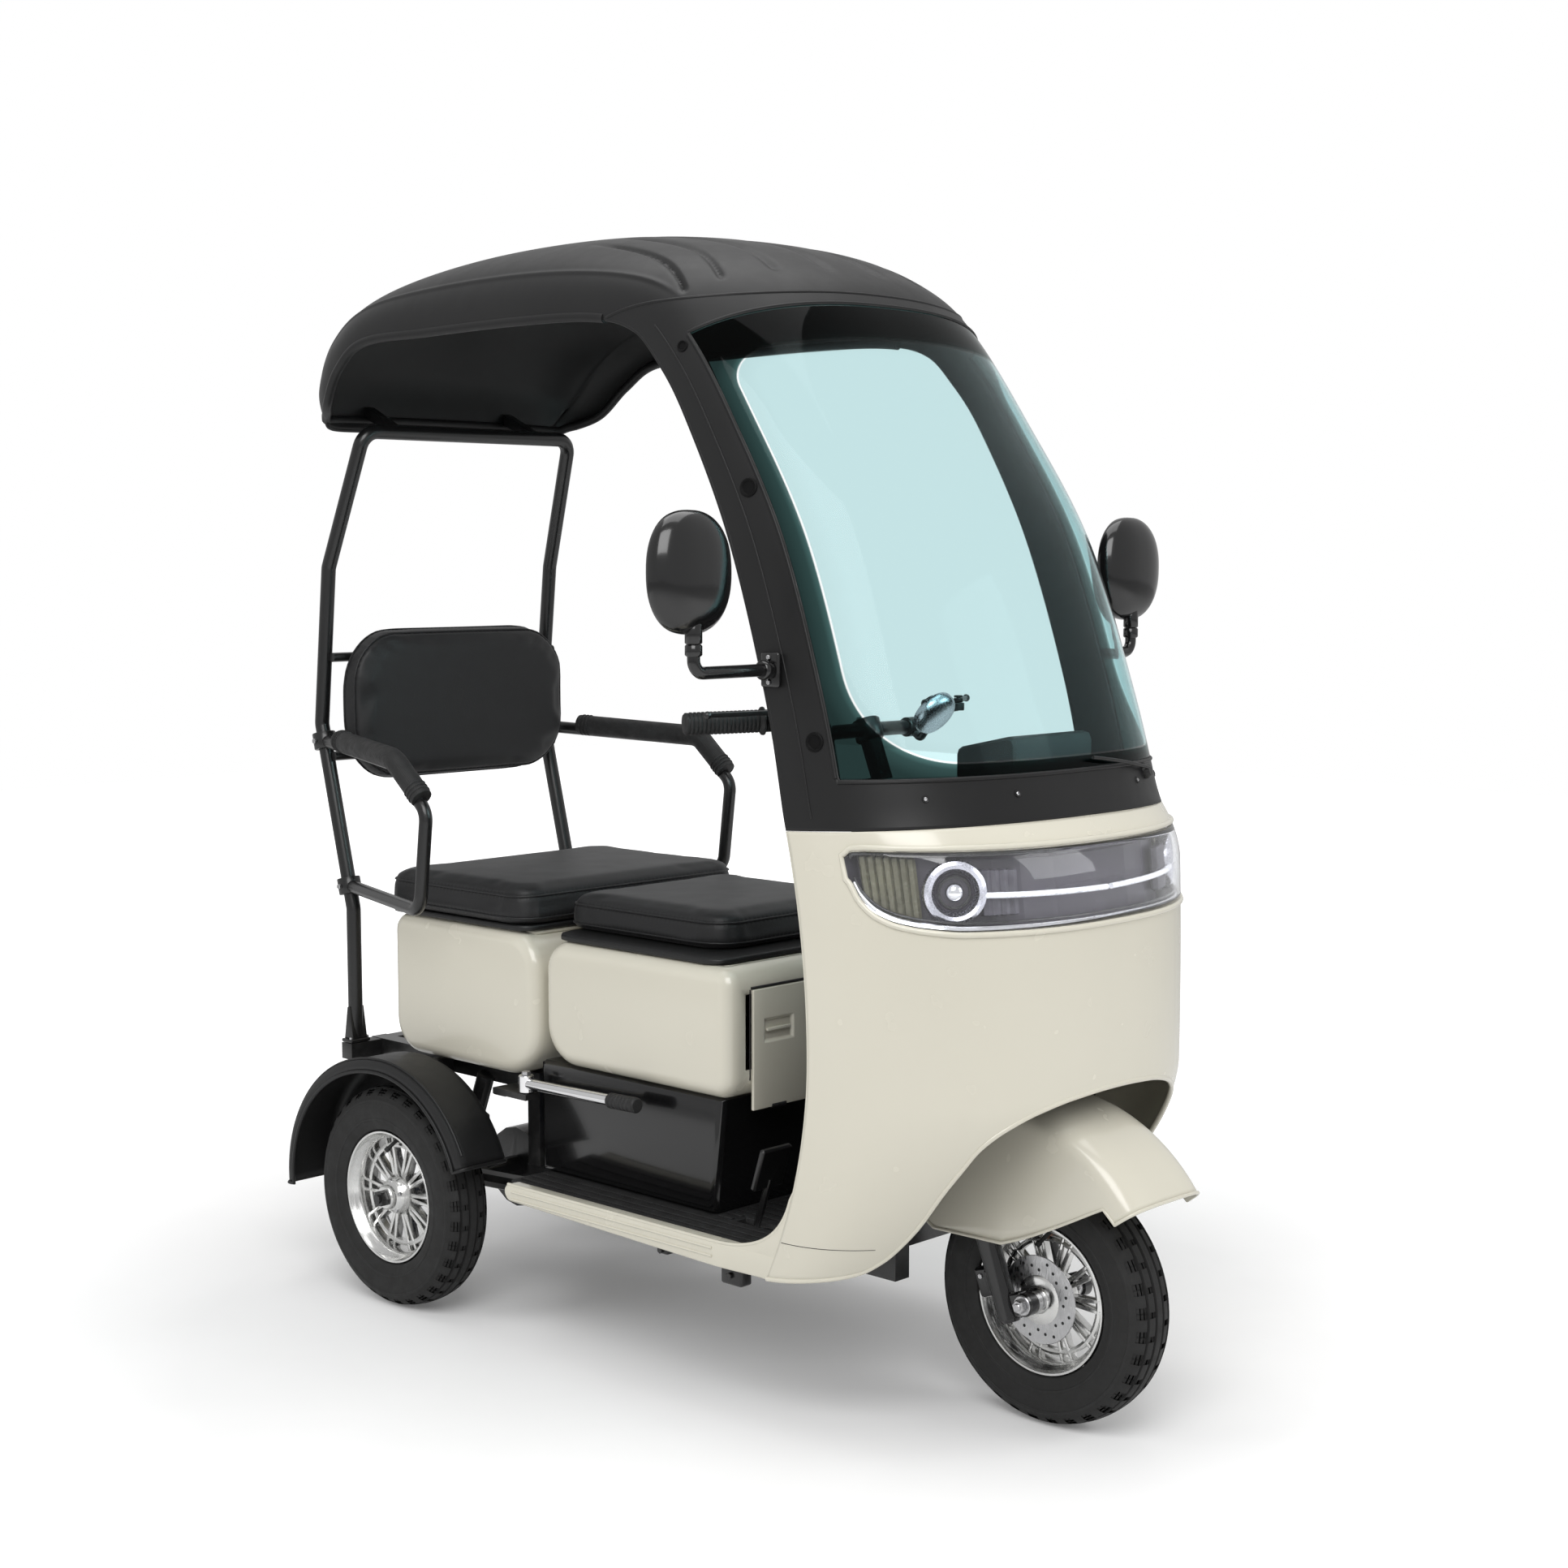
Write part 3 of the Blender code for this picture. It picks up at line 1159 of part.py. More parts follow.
def arm_pad(name, upper, knee, front_top, side):
    """A padded strip that lies on the arm's upper run and bends down over its knee."""
    slope = (knee - upper).normalized()
    drop = (front_top - knee).normalized()
    normal_a = slope.cross(Vector((side, 0, 0))).normalized()
    if normal_a.z < 0:
        normal_a = -normal_a
    normal_b = drop.cross(Vector((side, 0, 0))).normalized()
    if normal_b.y > 0:
        normal_b = -normal_b
    spots = [
        (upper + (knee - upper) * 0.24, normal_a), (upper + (knee - upper) * 0.60, normal_a),
        (knee - slope * 0.030, normal_a), (knee, (normal_a + normal_b) / (1 + normal_a.dot(normal_b))),
        (knee + drop * 0.030, normal_b), (front_top - drop * 0.022, normal_b),
    ]
    bm = bmesh.new()
    rings = []
    half, thick = 0.021, 0.017
    section = ((-1, 0), (1, 0), (1, 0.6), (0.55, 1), (-0.55, 1), (-1, 0.6))
    for spot, normal in spots:
        reach = ARM_RADIUS + 0.0003
        ring = []
        for across, h in section:
            ring.append(bm.verts.new(spot + Vector((across * half, 0, 0)) + normal * (reach + h * thick)))
        rings.append(ring)
    for lower, upper_ring in zip(rings, rings[1:]):
        for k in range(6):
            n = (k + 1) % 6
            bm.faces.new((lower[k], lower[n], upper_ring[n], upper_ring[k]))
    bm.faces.new(rings[0])
    bm.faces.new(rings[-1])
    return add(name, bm, "rubber")


def build_rear_fenders():
    """An arch over each rear wheel with an inner wall towards the body."""
    made = {}
    inner_x, outer_x = HALF_TRACK - 0.050, HALF_TRACK + 0.052
    radius = 0.232
    for side, word in ((-1, "right"), (1, "left")):
        rows = []
        for degrees in shares(-4, 158, 12):
            phi = math.radians(degrees)
            c, s = math.cos(phi), math.sin(phi)
            flare = 0.030 * max(0.0, math.cos(phi)) ** 2
            row = []
            for x, r in (
                (inner_x, 0.175), (inner_x, radius - 0.012), (inner_x + 0.012, radius),
                (outer_x - 0.010, radius), (outer_x, radius - 0.010), (outer_x, radius - 0.020),
            ):
                reach = r + (flare if r > 0.2 else 0)
                row.append(Vector((side * x, WHEELBASE + reach * c, TYRE_RADIUS + reach * s)))
            rows.append(row)
        made[word] = shell("rear_fender_" + word, rows, "black_plastic", FENDER_WALL, (0, 0, 1))
    return made


def lean(side, along, out=0.0):
    """A point on a shock absorber's line; out moves it square to the line, to the front."""
    y, z = SHOCK_FOOT
    c, s = math.cos(SHOCK_LEAN), math.sin(SHOCK_LEAN)
    return Vector((side * SHOCK_X, y - along * s - out * c, z + along * c - out * s))


def build_rear_axle():
    """Swing arms, axle tube and motor; they hinge on pins of the frame."""
    centre = Vector((0, WHEELBASE, TYRE_RADIUS))
    across = Vector((1, 0, 0))
    face = HALF_TRACK - HUB_WIDTH / 2 - GAP
    axle = bar("rear_axle", centre - across * face, centre + across * face, AXLE_TUBE_RADIUS)
    end = HALF_TRACK + HUB_WIDTH / 2
    parts = [bar("spindle", centre - across * (end + 0.016), centre + across * (end + 0.016), AXLE_RADIUS)]
    pivot_half = SWING_ARM_X + 0.015
    for side in (-1, 1):
        out = across * side
        parts.append(bar("nut", centre + out * (end + GAP), centre + out * (end + 0.012), 0.013, 6))
        arm = out * SWING_ARM_X
        parts.append(bar("arm", SWING_PIVOT + arm, centre + arm, 0.015, 8))
        x = side * SHOCK_X
        y, z = SHOCK_FOOT
        parts.append(box("eye", (x - 0.012, y - 0.016, z - 0.024), (x + 0.012, WHEELBASE, z + 0.002)))
        parts.append(bar("rod", lean(side, -0.004), lean(side, 0.155), ROD_RADIUS, 8))
        parts.append(bar("cup", lean(side, 0.0), lean(side, SPRING_SPAN[0] - GAP - 0.006), 0.018, 8))
        parts.append(bar("cup_rim", lean(side, 0.010), lean(side, SPRING_SPAN[0] - GAP), 0.0255, 10))
    parts.append(bar("case", centre - across * 0.060, centre + across * 0.085, MOTOR_RADIUS, 16))
    parts.append(bar("pivot", SWING_PIVOT - across * pivot_half, SWING_PIVOT + across * pivot_half, 0.017))
    fuse(axle, parts)
    bore = across * (pivot_half + 0.01)
    return cut(axle, [bar("bore", SWING_PIVOT - bore, SWING_PIVOT + bore, 0.0092, 10)])


def build_springs():
    """One spring on each side, wound round the shock absorber's rod; its ends stand on the seats."""
    made = {}
    for side, word in ((-1, "right"), (1, "left")):
        low, high = SPRING_SPAN[0] + SPRING_WIRE, SPRING_SPAN[1] - SPRING_WIRE
        closed = 1.0
        closed_climb = 0.09
        count = int(SPRING_TURNS * SPRING_POINTS)
        points = []
        for k in range(count + 1):
            turns = SPRING_TURNS * k / count
            marks = (0, closed, SPRING_TURNS - closed, SPRING_TURNS)
            climb = float(np.interp(turns, marks, (0, closed_climb, 1 - closed_climb, 1)))
            along = low + (high - low) * climb
            angle = turns * 2 * math.pi
            point = lean(side, along, SPRING_RADIUS * math.cos(angle))
            points.append(point + Vector((SPRING_RADIUS * math.sin(angle), 0, 0)))
        made[word] = pipe("shock_spring_" + word, points, SPRING_WIRE, "chrome", 1)
    return made


def bar_route():
    """The handlebar's left half, from the clamp to the end of the bar."""
    axis = steering_point(STEM_TOP + 0.018)
    along = (GRIP_OUTER - GRIP_INNER).normalized()
    elbow, end = GRIP_INNER - along * 0.020, GRIP_INNER + along * (GRIP_LONG - 0.007)
    return [axis, Vector((0.100, axis.y - 0.006, axis.z)), elbow, end]


def grip_frame(side):
    """The start of a grip, its direction, the forward direction and the upward one."""
    start, end = mirrored(GRIP_INNER, side), mirrored(GRIP_OUTER, side)
    along = (end - start).normalized()
    ahead = Vector((0, 0, 1)).cross(along) * side
    ahead = (-ahead if ahead.y > 0 else ahead).normalized()
    up = along.cross(ahead).normalized()
    return start, along, ahead, -up if up.z < 0 else up


def lever_matrix(side):
    start, along, ahead, up = grip_frame(side)
    turn = Matrix((along, ahead, along.cross(ahead))).transposed().to_4x4()
    return Matrix.Translation(start - along * 0.010 + ahead * LEVER_REACH) @ turn, up


def build_handlebar():
    half = bent(bar_route(), 0.050, 3)
    points = [mirrored(p, -1) for p in reversed(half[1:])] + half
    made = pipe("handlebar", points, BAR_RADIUS, "black_paint", 2)
    parts = [bar("clamp", steering_point(STEM_TOP + GAP), steering_point(STEM_TOP + 0.034), 0.022, 12)]
    for side in (-1, 1):
        place, up = lever_matrix(side)
        start, along, ahead, _ = grip_frame(side)
        root = start - along * 0.010
        low = LEVER_RISE - LEVER_THICK / 2 - GAP
        high = LEVER_RISE + LEVER_THICK / 2 + GAP
        pivot = root + ahead * LEVER_REACH
        parts.append(bar("perch", root, pivot + up * (low - 0.006), 0.0065, 8))
        parts.append(bar("cheek", pivot + up * (low - 0.012), pivot + up * low, 0.009, 8))
        parts.append(bar("pin", pivot + up * (low - 0.002), pivot + up * (high + 0.003), 0.0030, 8))
        parts.append(bar("head", pivot + up * high, pivot + up * (high + 0.004), 0.0065, 8))
    rim, down = display_rim()
    foot = bar_route()[1]
    parts.append(bar("stalk", Vector((rim.x, foot.y, foot.z)), rim + down * 0.008, 0.0055, 8))
    parts.append(bar("stalk_end", rim + down * 0.012, rim, 0.007, 8))
    return fuse(made, parts)


def display_place():
    """The middle of the round display and the direction that it faces."""
    return Vector((0.090, 0.305, 1.005)), Vector((0, 0.80, 0.60))


def display_rim():
    """The spot just off the display's lower rim, where its stalk ends, and the direction to it."""
    centre, facing = display_place()
    down = Vector((1, 0, 0)).cross(facing).normalized()
    down = down if down.z < 0 else -down
    return centre + down * (DISPLAY_RADIUS + GAP), down


def build_display():
    centre, facing = display_place()
    rim = DISPLAY_RADIUS
    profile = [
        (0, -0.010), (rim - 0.006, -0.010), (rim, -0.004), (rim, 0.008), (rim - 0.003, 0.010),
        (rim - 0.005, 0.010), (rim - 0.006, 0.0085), (0, 0.0085),
    ]
    return aim(turned("display", profile, 16, "lamp_ring"), centre, facing)


def build_grips():
    """The two grips: cups of rubber over the ends of the bar, with a flange at the inner end."""
    bore = BAR_RADIUS + 0.0006
    end = GRIP_LONG
    flange = GRIP_RADIUS + 0.004
    profile = [
        (0, end - 0.006), (bore, end - 0.006), (bore, 0), (flange, 0), (flange, 0.004),
        (GRIP_RADIUS, 0.006), (GRIP_RADIUS, end - 0.004), (GRIP_RADIUS - 0.003, end), (0, end),
    ]
    made = {}
    for side, name in ((-1, "throttle_grip"), (1, "grip_left")):
        start, along, _, _ = grip_frame(side)
        made[name] = aim(turned(name, profile, 12, "rubber"), start, along)
    return made


def build_levers():
    made = {}
    for side, word in ((-1, "right"), (1, "left")):
        place, up = lever_matrix(side)
        flip = 1 if up.dot(place.to_3x3() @ Vector((0, 0, 1))) > 0 else -1
        middle = flip * LEVER_RISE
        hub = 0.0075
        outline = [(hub * math.cos(a), hub * math.sin(a)) for a in shares(0.6, 2 * math.pi - 0.6, 9)]
        waist = LEVER_LONG * 0.6
        outline += [(waist, -0.0045), (LEVER_LONG, -0.0035), (LEVER_LONG, 0.0030), (waist, 0.0035)]
        low, high = middle - LEVER_THICK / 2, middle + LEVER_THICK / 2
        lever = prism("brake_lever_" + word, outline, "z", low, high, "polished_alloy", 0.001)
        ball = bmesh.new()
        spot = Matrix.Translation((LEVER_LONG + 0.002, 0, middle))
        bmesh.ops.create_uvsphere(ball, u_segments=8, v_segments=5, radius=0.0062, matrix=spot)
        fuse(lever, [add("ball", ball, "polished_alloy")])
        cut(lever, [bar("hole", (0, 0, middle - 0.01), (0, 0, middle + 0.01), 0.0037, 12)])
        lever.data.transform(place)
        made[word] = lever
    return made


def build_pedal():
    """The brake pedal: a hub on the frame's pin, an arm up through the floor and a ridged pad."""
    x, y, z = PEDAL_PIVOT
    route = [Vector((x, y, z)), Vector((x, 0.385, z + 0.001)), Vector((x, 0.352, 0.335))]
    pedal = pipe("brake_pedal", bent(route, 0.025, 3), 0.0055, "black_paint", 1)
    pad = box("pad", (-0.031, -0.004, -0.034), (0.031, 0.006, 0.034), "black_paint", 0.003)
    pad.data.transform(Matrix.Translation((x, 0.348, 0.352)) @ Matrix.Rotation(math.radians(18), 4, "X"))
    hub = bar("hub", (x - PEDAL_HALF, y, z), (x + PEDAL_HALF, y, z), 0.012, 12)
    fuse(pedal, [pad, hub])
    return cut(pedal, [bar("bore", (x - 0.02, y, z), (x + 0.02, y, z), 0.0068, 12)])


def build_pegs():
    """The passenger's foot pegs, folded forward along the box; each turns on an upright pin."""
    made = {}
    for side, word in ((-1, "right"), (1, "left")):
        hub, tip = mirrored(PEG_PIVOT, side), mirrored(PEG_TIP, side)
        peg = bar("foot_peg_" + word, hub, tip, PEG_RADIUS, 10, "chrome")
        along = (tip - hub).normalized()
        end = bar("end", tip - along * 0.060, tip + along * 0.006, PEG_RADIUS + 0.003, 10)
        head = bar("head", hub - Vector((0, 0, 0.014)), hub + Vector((0, 0, 0.014)), 0.0125, 10)
        fuse(peg, [end, head])
        cut(peg, [bar("bore", hub - Vector((0, 0, 0.02)), hub + Vector((0, 0, 0.02)), 0.0058, 8)])
        made[word] = peg
    return made


def build_mirrors():
    """On each pillar a bracket with an upright stem, and a domed shell with its glass that turns on it."""
    made = {}
    half_x, half_z = MIRROR_HALF
    boss_low = -half_z - 0.012
    for side, word in ((-1, "right"), (1, "left")):
        centre = Vector((side * MIRROR_X, MIRROR_Y, MIRROR_Z))
        stem_y = MIRROR_Y - 0.008
        face = side * MIRROR_CLAMP_X
        elbow = Vector((centre.x, stem_y, MIRROR_ARM_Z))
        top = Vector((centre.x, stem_y, MIRROR_Z + boss_low - GAP))
        start = Vector((face, stem_y, MIRROR_ARM_Z))
        route = bent([start, elbow, top], 0.018, 3)
        bracket = pipe("mirror_bracket_" + word, route, 0.006, "gloss_black", 2)
        low, high = sorted((side * MIRROR_PLATE_X, side * (MIRROR_PLATE_X + 0.008)))
        plate = box(
            "plate", (low, stem_y - 0.016, MIRROR_ARM_Z - 0.022),
            (high, stem_y + 0.016, MIRROR_ARM_Z + 0.022), "gloss_black", 0.003,
        )
        seat = bar("seat", top - Vector((0, 0, 0.012)), top, 0.0095, 10)
        pin = bar("pin", top - Vector((0, 0, 0.004)), top + Vector((0, 0, 0.020)), 0.0045, 8)
        fuse(bracket, [plate, seat, pin])

        bm = bmesh.new()
        rings = []
        steps = [
            (0.90, 0.0032), (0.90, 0.0085), (0.97, 0.0100), (1.00, 0.0060), (1.00, -0.0020),
            (0.93, -0.0140), (0.76, -0.0240), (0.45, -0.0310),
        ]
        for scale, y in steps:
            ring = []
            for k in range(MIRROR_SIDES):
                a = 2 * math.pi * k / MIRROR_SIDES
                c, s = math.cos(a), math.sin(a)
                x = half_x * scale * math.copysign(abs(c) ** 0.85, c)
                z = half_z * scale * math.copysign(abs(s) ** 0.85, s)
                ring.append(bm.verts.new(centre + Vector((x, y, z))))
            rings.append(ring)
        for near, far in zip(rings, rings[1:]):
            for k in range(MIRROR_SIDES):
                n = (k + 1) % MIRROR_SIDES
                bm.faces.new((near[k], near[n], far[n], far[k]))
        tip = bm.verts.new(centre + Vector((0, -0.0335, 0)))
        for k in range(MIRROR_SIDES):
            bm.faces.new((rings[-1][k], rings[-1][(k + 1) % MIRROR_SIDES], tip))
        bm.faces.new(rings[0])
        mirror = add("mirror_shell_" + word, bm, "gloss_black")
        foot = Vector((centre.x, stem_y, MIRROR_Z + boss_low))
        fuse(mirror, [bar("boss", foot, foot + Vector((0, 0, 0.030)), 0.0095, 10)])
        cut(mirror, [bar("bore", foot - Vector((0, 0, 0.01)), foot + Vector((0, 0, 0.0215)), 0.0054, 8)])

        glass = []
        for k in range(MIRROR_SIDES):
            a = 2 * math.pi * k / MIRROR_SIDES
            c, s = math.cos(a), math.sin(a)
            reach_x, reach_z = half_x * 0.90 - 0.0006, half_z * 0.90 - 0.0006
            x = reach_x * math.copysign(abs(c) ** 0.85, c)
            z = reach_z * math.copysign(abs(s) ** 0.85, s)
            glass.append((centre.x + x, centre.z + z))
        low = centre.y + 0.0032 + GAP
        pane = prism("mirror_glass_" + word, glass, "y", low, low + 0.003, "mirror_glass")
        made[word] = (bracket, mirror, pane)
    return made


def build_units():
    """The housed units and the lamp on the back: battery, motor controller and tail light."""
    low = FLOOR_Z + GAP + WALL + GAP
    battery = box("battery_pack", (-0.170, 0.486, low), (0.170, 0.836, low + 0.135), "battery_case", 0.004)
    top = REAR_RAIL_Z - RAIL_SIZE / 2 + 0.001 - GAP
    low_corner, high_corner = (-0.060, 0.893, top - 0.045), (0.060, 1.042, top)
    controller = box("motor_controller", low_corner, high_corner, "polished_alloy")
    fins = []
    for k in range(5):
        x = -0.048 + 0.024 * k
        fins.append(box("fin", (x - 0.008, 0.880, top - 0.050), (x + 0.008, 1.060, top - 0.036)))
    cut(controller, fins)
    y = REAR_BOX_Y[1] + GAP
    outline = rounded([(-0.080, 0.500), (0.080, 0.500), (0.080, 0.545), (-0.080, 0.545)], 0.012, 3)
    light = prism("tail_light", outline, "y", y, y + 0.018, "red_lens")
    return {"battery_pack": battery, "motor_controller": controller, "tail_light": light}


def stand(bodies):
    """Puts each body's pieces under an empty on its joint, with their origins there."""
    lengths = [v.co.y for body in bodies.values() for piece in body[2] for v in piece.data.vertices]
    root = bpy.data.objects.new("vehicle", None)
    root.location = (0, -(min(lengths) + max(lengths)) / 2, 0)
    print("front axle at y:", round(root.location.y, 6))
    bpy.context.collection.objects.link(root)
    pivots = {"vehicle": (root, Vector((0, 0, 0)))}
    for body, (parent, pivot, pieces) in bodies.items():
        if body not in pivots:
            holder = bpy.data.objects.new(body, None)
            above, above_pivot = pivots[parent]
            holder.parent = above
            holder.location = Vector(pivot) - above_pivot
            bpy.context.collection.objects.link(holder)
            pivots[body] = (holder, Vector(pivot))
        holder, origin = pivots[body]
        for piece in pieces:
            piece.data.transform(Matrix.Translation(-origin))
            piece.parent = holder


def main():
    clear_scene()
    wheels = build_wheels()
    yoke, sliders = build_fork()
    fender = build_front_fender()
    lens, tray, lamps = build_headlight()
    screen = build_windshield()
    front_box = build_front_box()
    lid, saddle, base, bench = build_seats()
    arms = build_armrests()
    fenders = build_rear_fenders()
    springs = build_springs()
    grips = build_grips()
    levers = build_levers()
    pegs = build_pegs()
    mirrors = build_mirrors()
    units = build_units()
    sills = build_sills()
    chassis = [
        build_frame(), build_floor(), build_lower_body(), build_fairing(), build_leg_shield(),
        build_dashboard(), build_roof(), build_rear_box(), build_hoop(), build_backrest(), lens, tray,
        front_box["seat_box_front"], *lamps.values(), *screen.values(), *sills.values(),
        *fenders.values(), *springs.values(), *units.values(), *(group[0] for group in mirrors.values()),
    ]
    steered = [yoke, fender, build_handlebar(), build_display(), grips["grip_left"]]
    door_hinge = (0, FRONT_BOX_Y[0] - GAP - DOOR_THICK, DOOR_Z[0])
    bodies = {
        "vehicle": (None, None, chassis),
        "steering": ("vehicle", steering_point(HEAD_LOW), steered),
        "front_fork_slide": ("steering", (0, 0, TYRE_RADIUS), [sliders]),
        "front_wheel": ("front_fork_slide", (0, 0, TYRE_RADIUS), list(wheels["front"])),
        "throttle": ("steering", mirrored(GRIP_INNER, -1), [grips["throttle_grip"]]),
        "rear_suspension": ("vehicle", SWING_PIVOT, [build_rear_axle()]),
        "saddle": ("vehicle", (0, LID_FRONT, FRONT_BOX_Z[1] + GAP), [lid, saddle]),
        "bench": ("vehicle", (0, BENCH_HINGE_Y, REAR_BOX_Z[1] + GAP), [base, bench]),
        "box_door_hinge": ("vehicle", door_hinge, [front_box["box_door"]]),
        "pedal": ("vehicle", PEDAL_PIVOT, [build_pedal()]),
    }
    for side, word in ((-1, "right"), (1, "left")):
        wheel = Vector((side * HALF_TRACK, WHEELBASE, TYRE_RADIUS))
        bodies["rear_wheel_" + word] = ("rear_suspension", wheel, list(wheels["rear_" + word]))
        lever_at = lever_matrix(side)[0].translation
        bodies["lever_" + word] = ("steering", lever_at, [levers[word]])
        bodies["armrest_hinge_" + word] = ("vehicle", arm_axis(side)[0], list(arms[word]))
        bodies["peg_" + word] = ("vehicle", mirrored(PEG_PIVOT, side), [pegs[word]])
        _, shell_piece, pane = mirrors[word]
        stem = Vector((side * MIRROR_X, MIRROR_Y - 0.008, MIRROR_Z))
        bodies["mirror_" + word] = ("vehicle", stem, [shell_piece, pane])
    stand(bodies)


main()
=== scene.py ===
"""Looks of the semi-enclosed electric tricycle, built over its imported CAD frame.

Pieces are modelled in metres with y counted from the front axle, as in the part's source, and
piece() moves each one into the shared frame.
"""

import json
import math

import bmesh
import bpy
import numpy as np
from mathutils import Matrix, Vector

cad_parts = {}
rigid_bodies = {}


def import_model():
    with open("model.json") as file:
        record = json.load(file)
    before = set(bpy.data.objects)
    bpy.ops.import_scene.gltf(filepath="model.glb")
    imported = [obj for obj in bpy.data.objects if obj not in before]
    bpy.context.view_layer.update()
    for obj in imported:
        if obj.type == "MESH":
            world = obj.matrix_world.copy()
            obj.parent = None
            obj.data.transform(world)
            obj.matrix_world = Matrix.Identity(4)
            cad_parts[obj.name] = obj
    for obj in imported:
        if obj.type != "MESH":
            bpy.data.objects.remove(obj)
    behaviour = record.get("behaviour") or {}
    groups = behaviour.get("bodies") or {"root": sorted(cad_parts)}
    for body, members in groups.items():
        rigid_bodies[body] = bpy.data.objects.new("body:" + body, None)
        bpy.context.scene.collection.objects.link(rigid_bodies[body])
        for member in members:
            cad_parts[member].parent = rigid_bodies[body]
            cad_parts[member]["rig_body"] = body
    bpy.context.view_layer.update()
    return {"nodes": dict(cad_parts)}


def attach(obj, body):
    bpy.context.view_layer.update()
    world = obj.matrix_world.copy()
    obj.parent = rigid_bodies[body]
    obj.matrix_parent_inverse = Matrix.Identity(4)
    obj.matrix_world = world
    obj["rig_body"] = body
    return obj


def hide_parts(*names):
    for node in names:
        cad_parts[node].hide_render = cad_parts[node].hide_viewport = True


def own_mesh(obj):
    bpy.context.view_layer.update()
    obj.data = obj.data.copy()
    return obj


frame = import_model()

# The front axle's place in the shared frame
ROOT_Y = -0.607438

# Dimensions shared with the part's source
TYRE_RADIUS = 0.185
WHEELBASE = 1.121
HALF_TRACK = 0.306
RAKE = math.radians(22)
FORK_OFFSET = 0.037
LEG_X = 0.063
BODY_HALF = 0.345
SECTION_POWER = 2.4
FAIRING_TOP = 0.870
FAIRING_CROWN = 0.016
FAIRING_FRONT = -0.100
FAIRING_ROLL_Z = 0.800
COWL_FRONT = -0.057
COWL_ROW = 0.21
GLASS_SIDE = 0.80
GLASS_LOW = 0.40
GLASS_HIGH = 4.08
LENS_SIDE = 0.845
LAMP_TURN = 0.502
LAMP_Z = 0.797
FLOOR_Z = 0.262
FLOOR_HALF = 0.312
FLOOR_REAR = 0.835
SILL_HEIGHT = 0.036
WELL_REAR = 0.268
WELL_HALF = 0.155
SHIELD_FADE = 0.070
BOX_HALF = 0.250
FRONT_BOX_Y = (0.410, 0.828)
FRONT_BOX_Z = (0.442, 0.640)
REAR_BOX_Y = (0.846, 1.214)
REAR_BOX_Z = (0.408, 0.645)
DOOR_HALF = 0.205
DOOR_Z = (0.424, 0.606)
POST_RADIUS = 0.0125
POST_X = 0.250
POST_LOW = (1.320, 0.640)
POST_MID = (1.400, 0.955)
POST_HIGH = (1.372, 1.223)
HOOP_Y = 1.292
HOOP_Z = 1.452
POST_FOOT = 0.4076
BACK_Y = 1.3602
ARM_FRONT = Vector((0.345, 0.994, 0.838))
GRIP_INNER = Vector((0.195, 0.393, 1.005))
GRIP_OUTER = Vector((0.300, 0.459, 1.002))
GRIP_LONG = 0.120
STEM_TOP = 0.858
SHOCK_X = 0.215
SHOCK_LEAN = math.radians(22)
SHOCK_FOOT = (1.088, 0.200)
MIRROR = Vector((0.494, 0.242, 1.223))
MIRROR_HALF = (0.072, 0.082)
MIRROR_ARM_Z = 1.090
PEG_PIVOT = Vector((0.266, 0.850, 0.407))
PEG_TIP = Vector((0.286, 0.575, 0.419))

# Dimensions of the looks alone
SILL_SIDE = FLOOR_HALF + 0.026
FENDER_TURNS = (math.radians(36), math.radians(148))
FENDER_INNER = HALF_TRACK - 0.050
TIE_HEIGHTS = (0.900, 1.070)
SPRING_SPAN = (0.0175, 0.1185)
SPRING_WIRE = 0.0034
SPRING_RADIUS = 0.0200
SWELL_LIMIT = 0.006

SIDES = ((-1, "right"), (1, "left"))


# ---------------------------------------------------------------- finishes


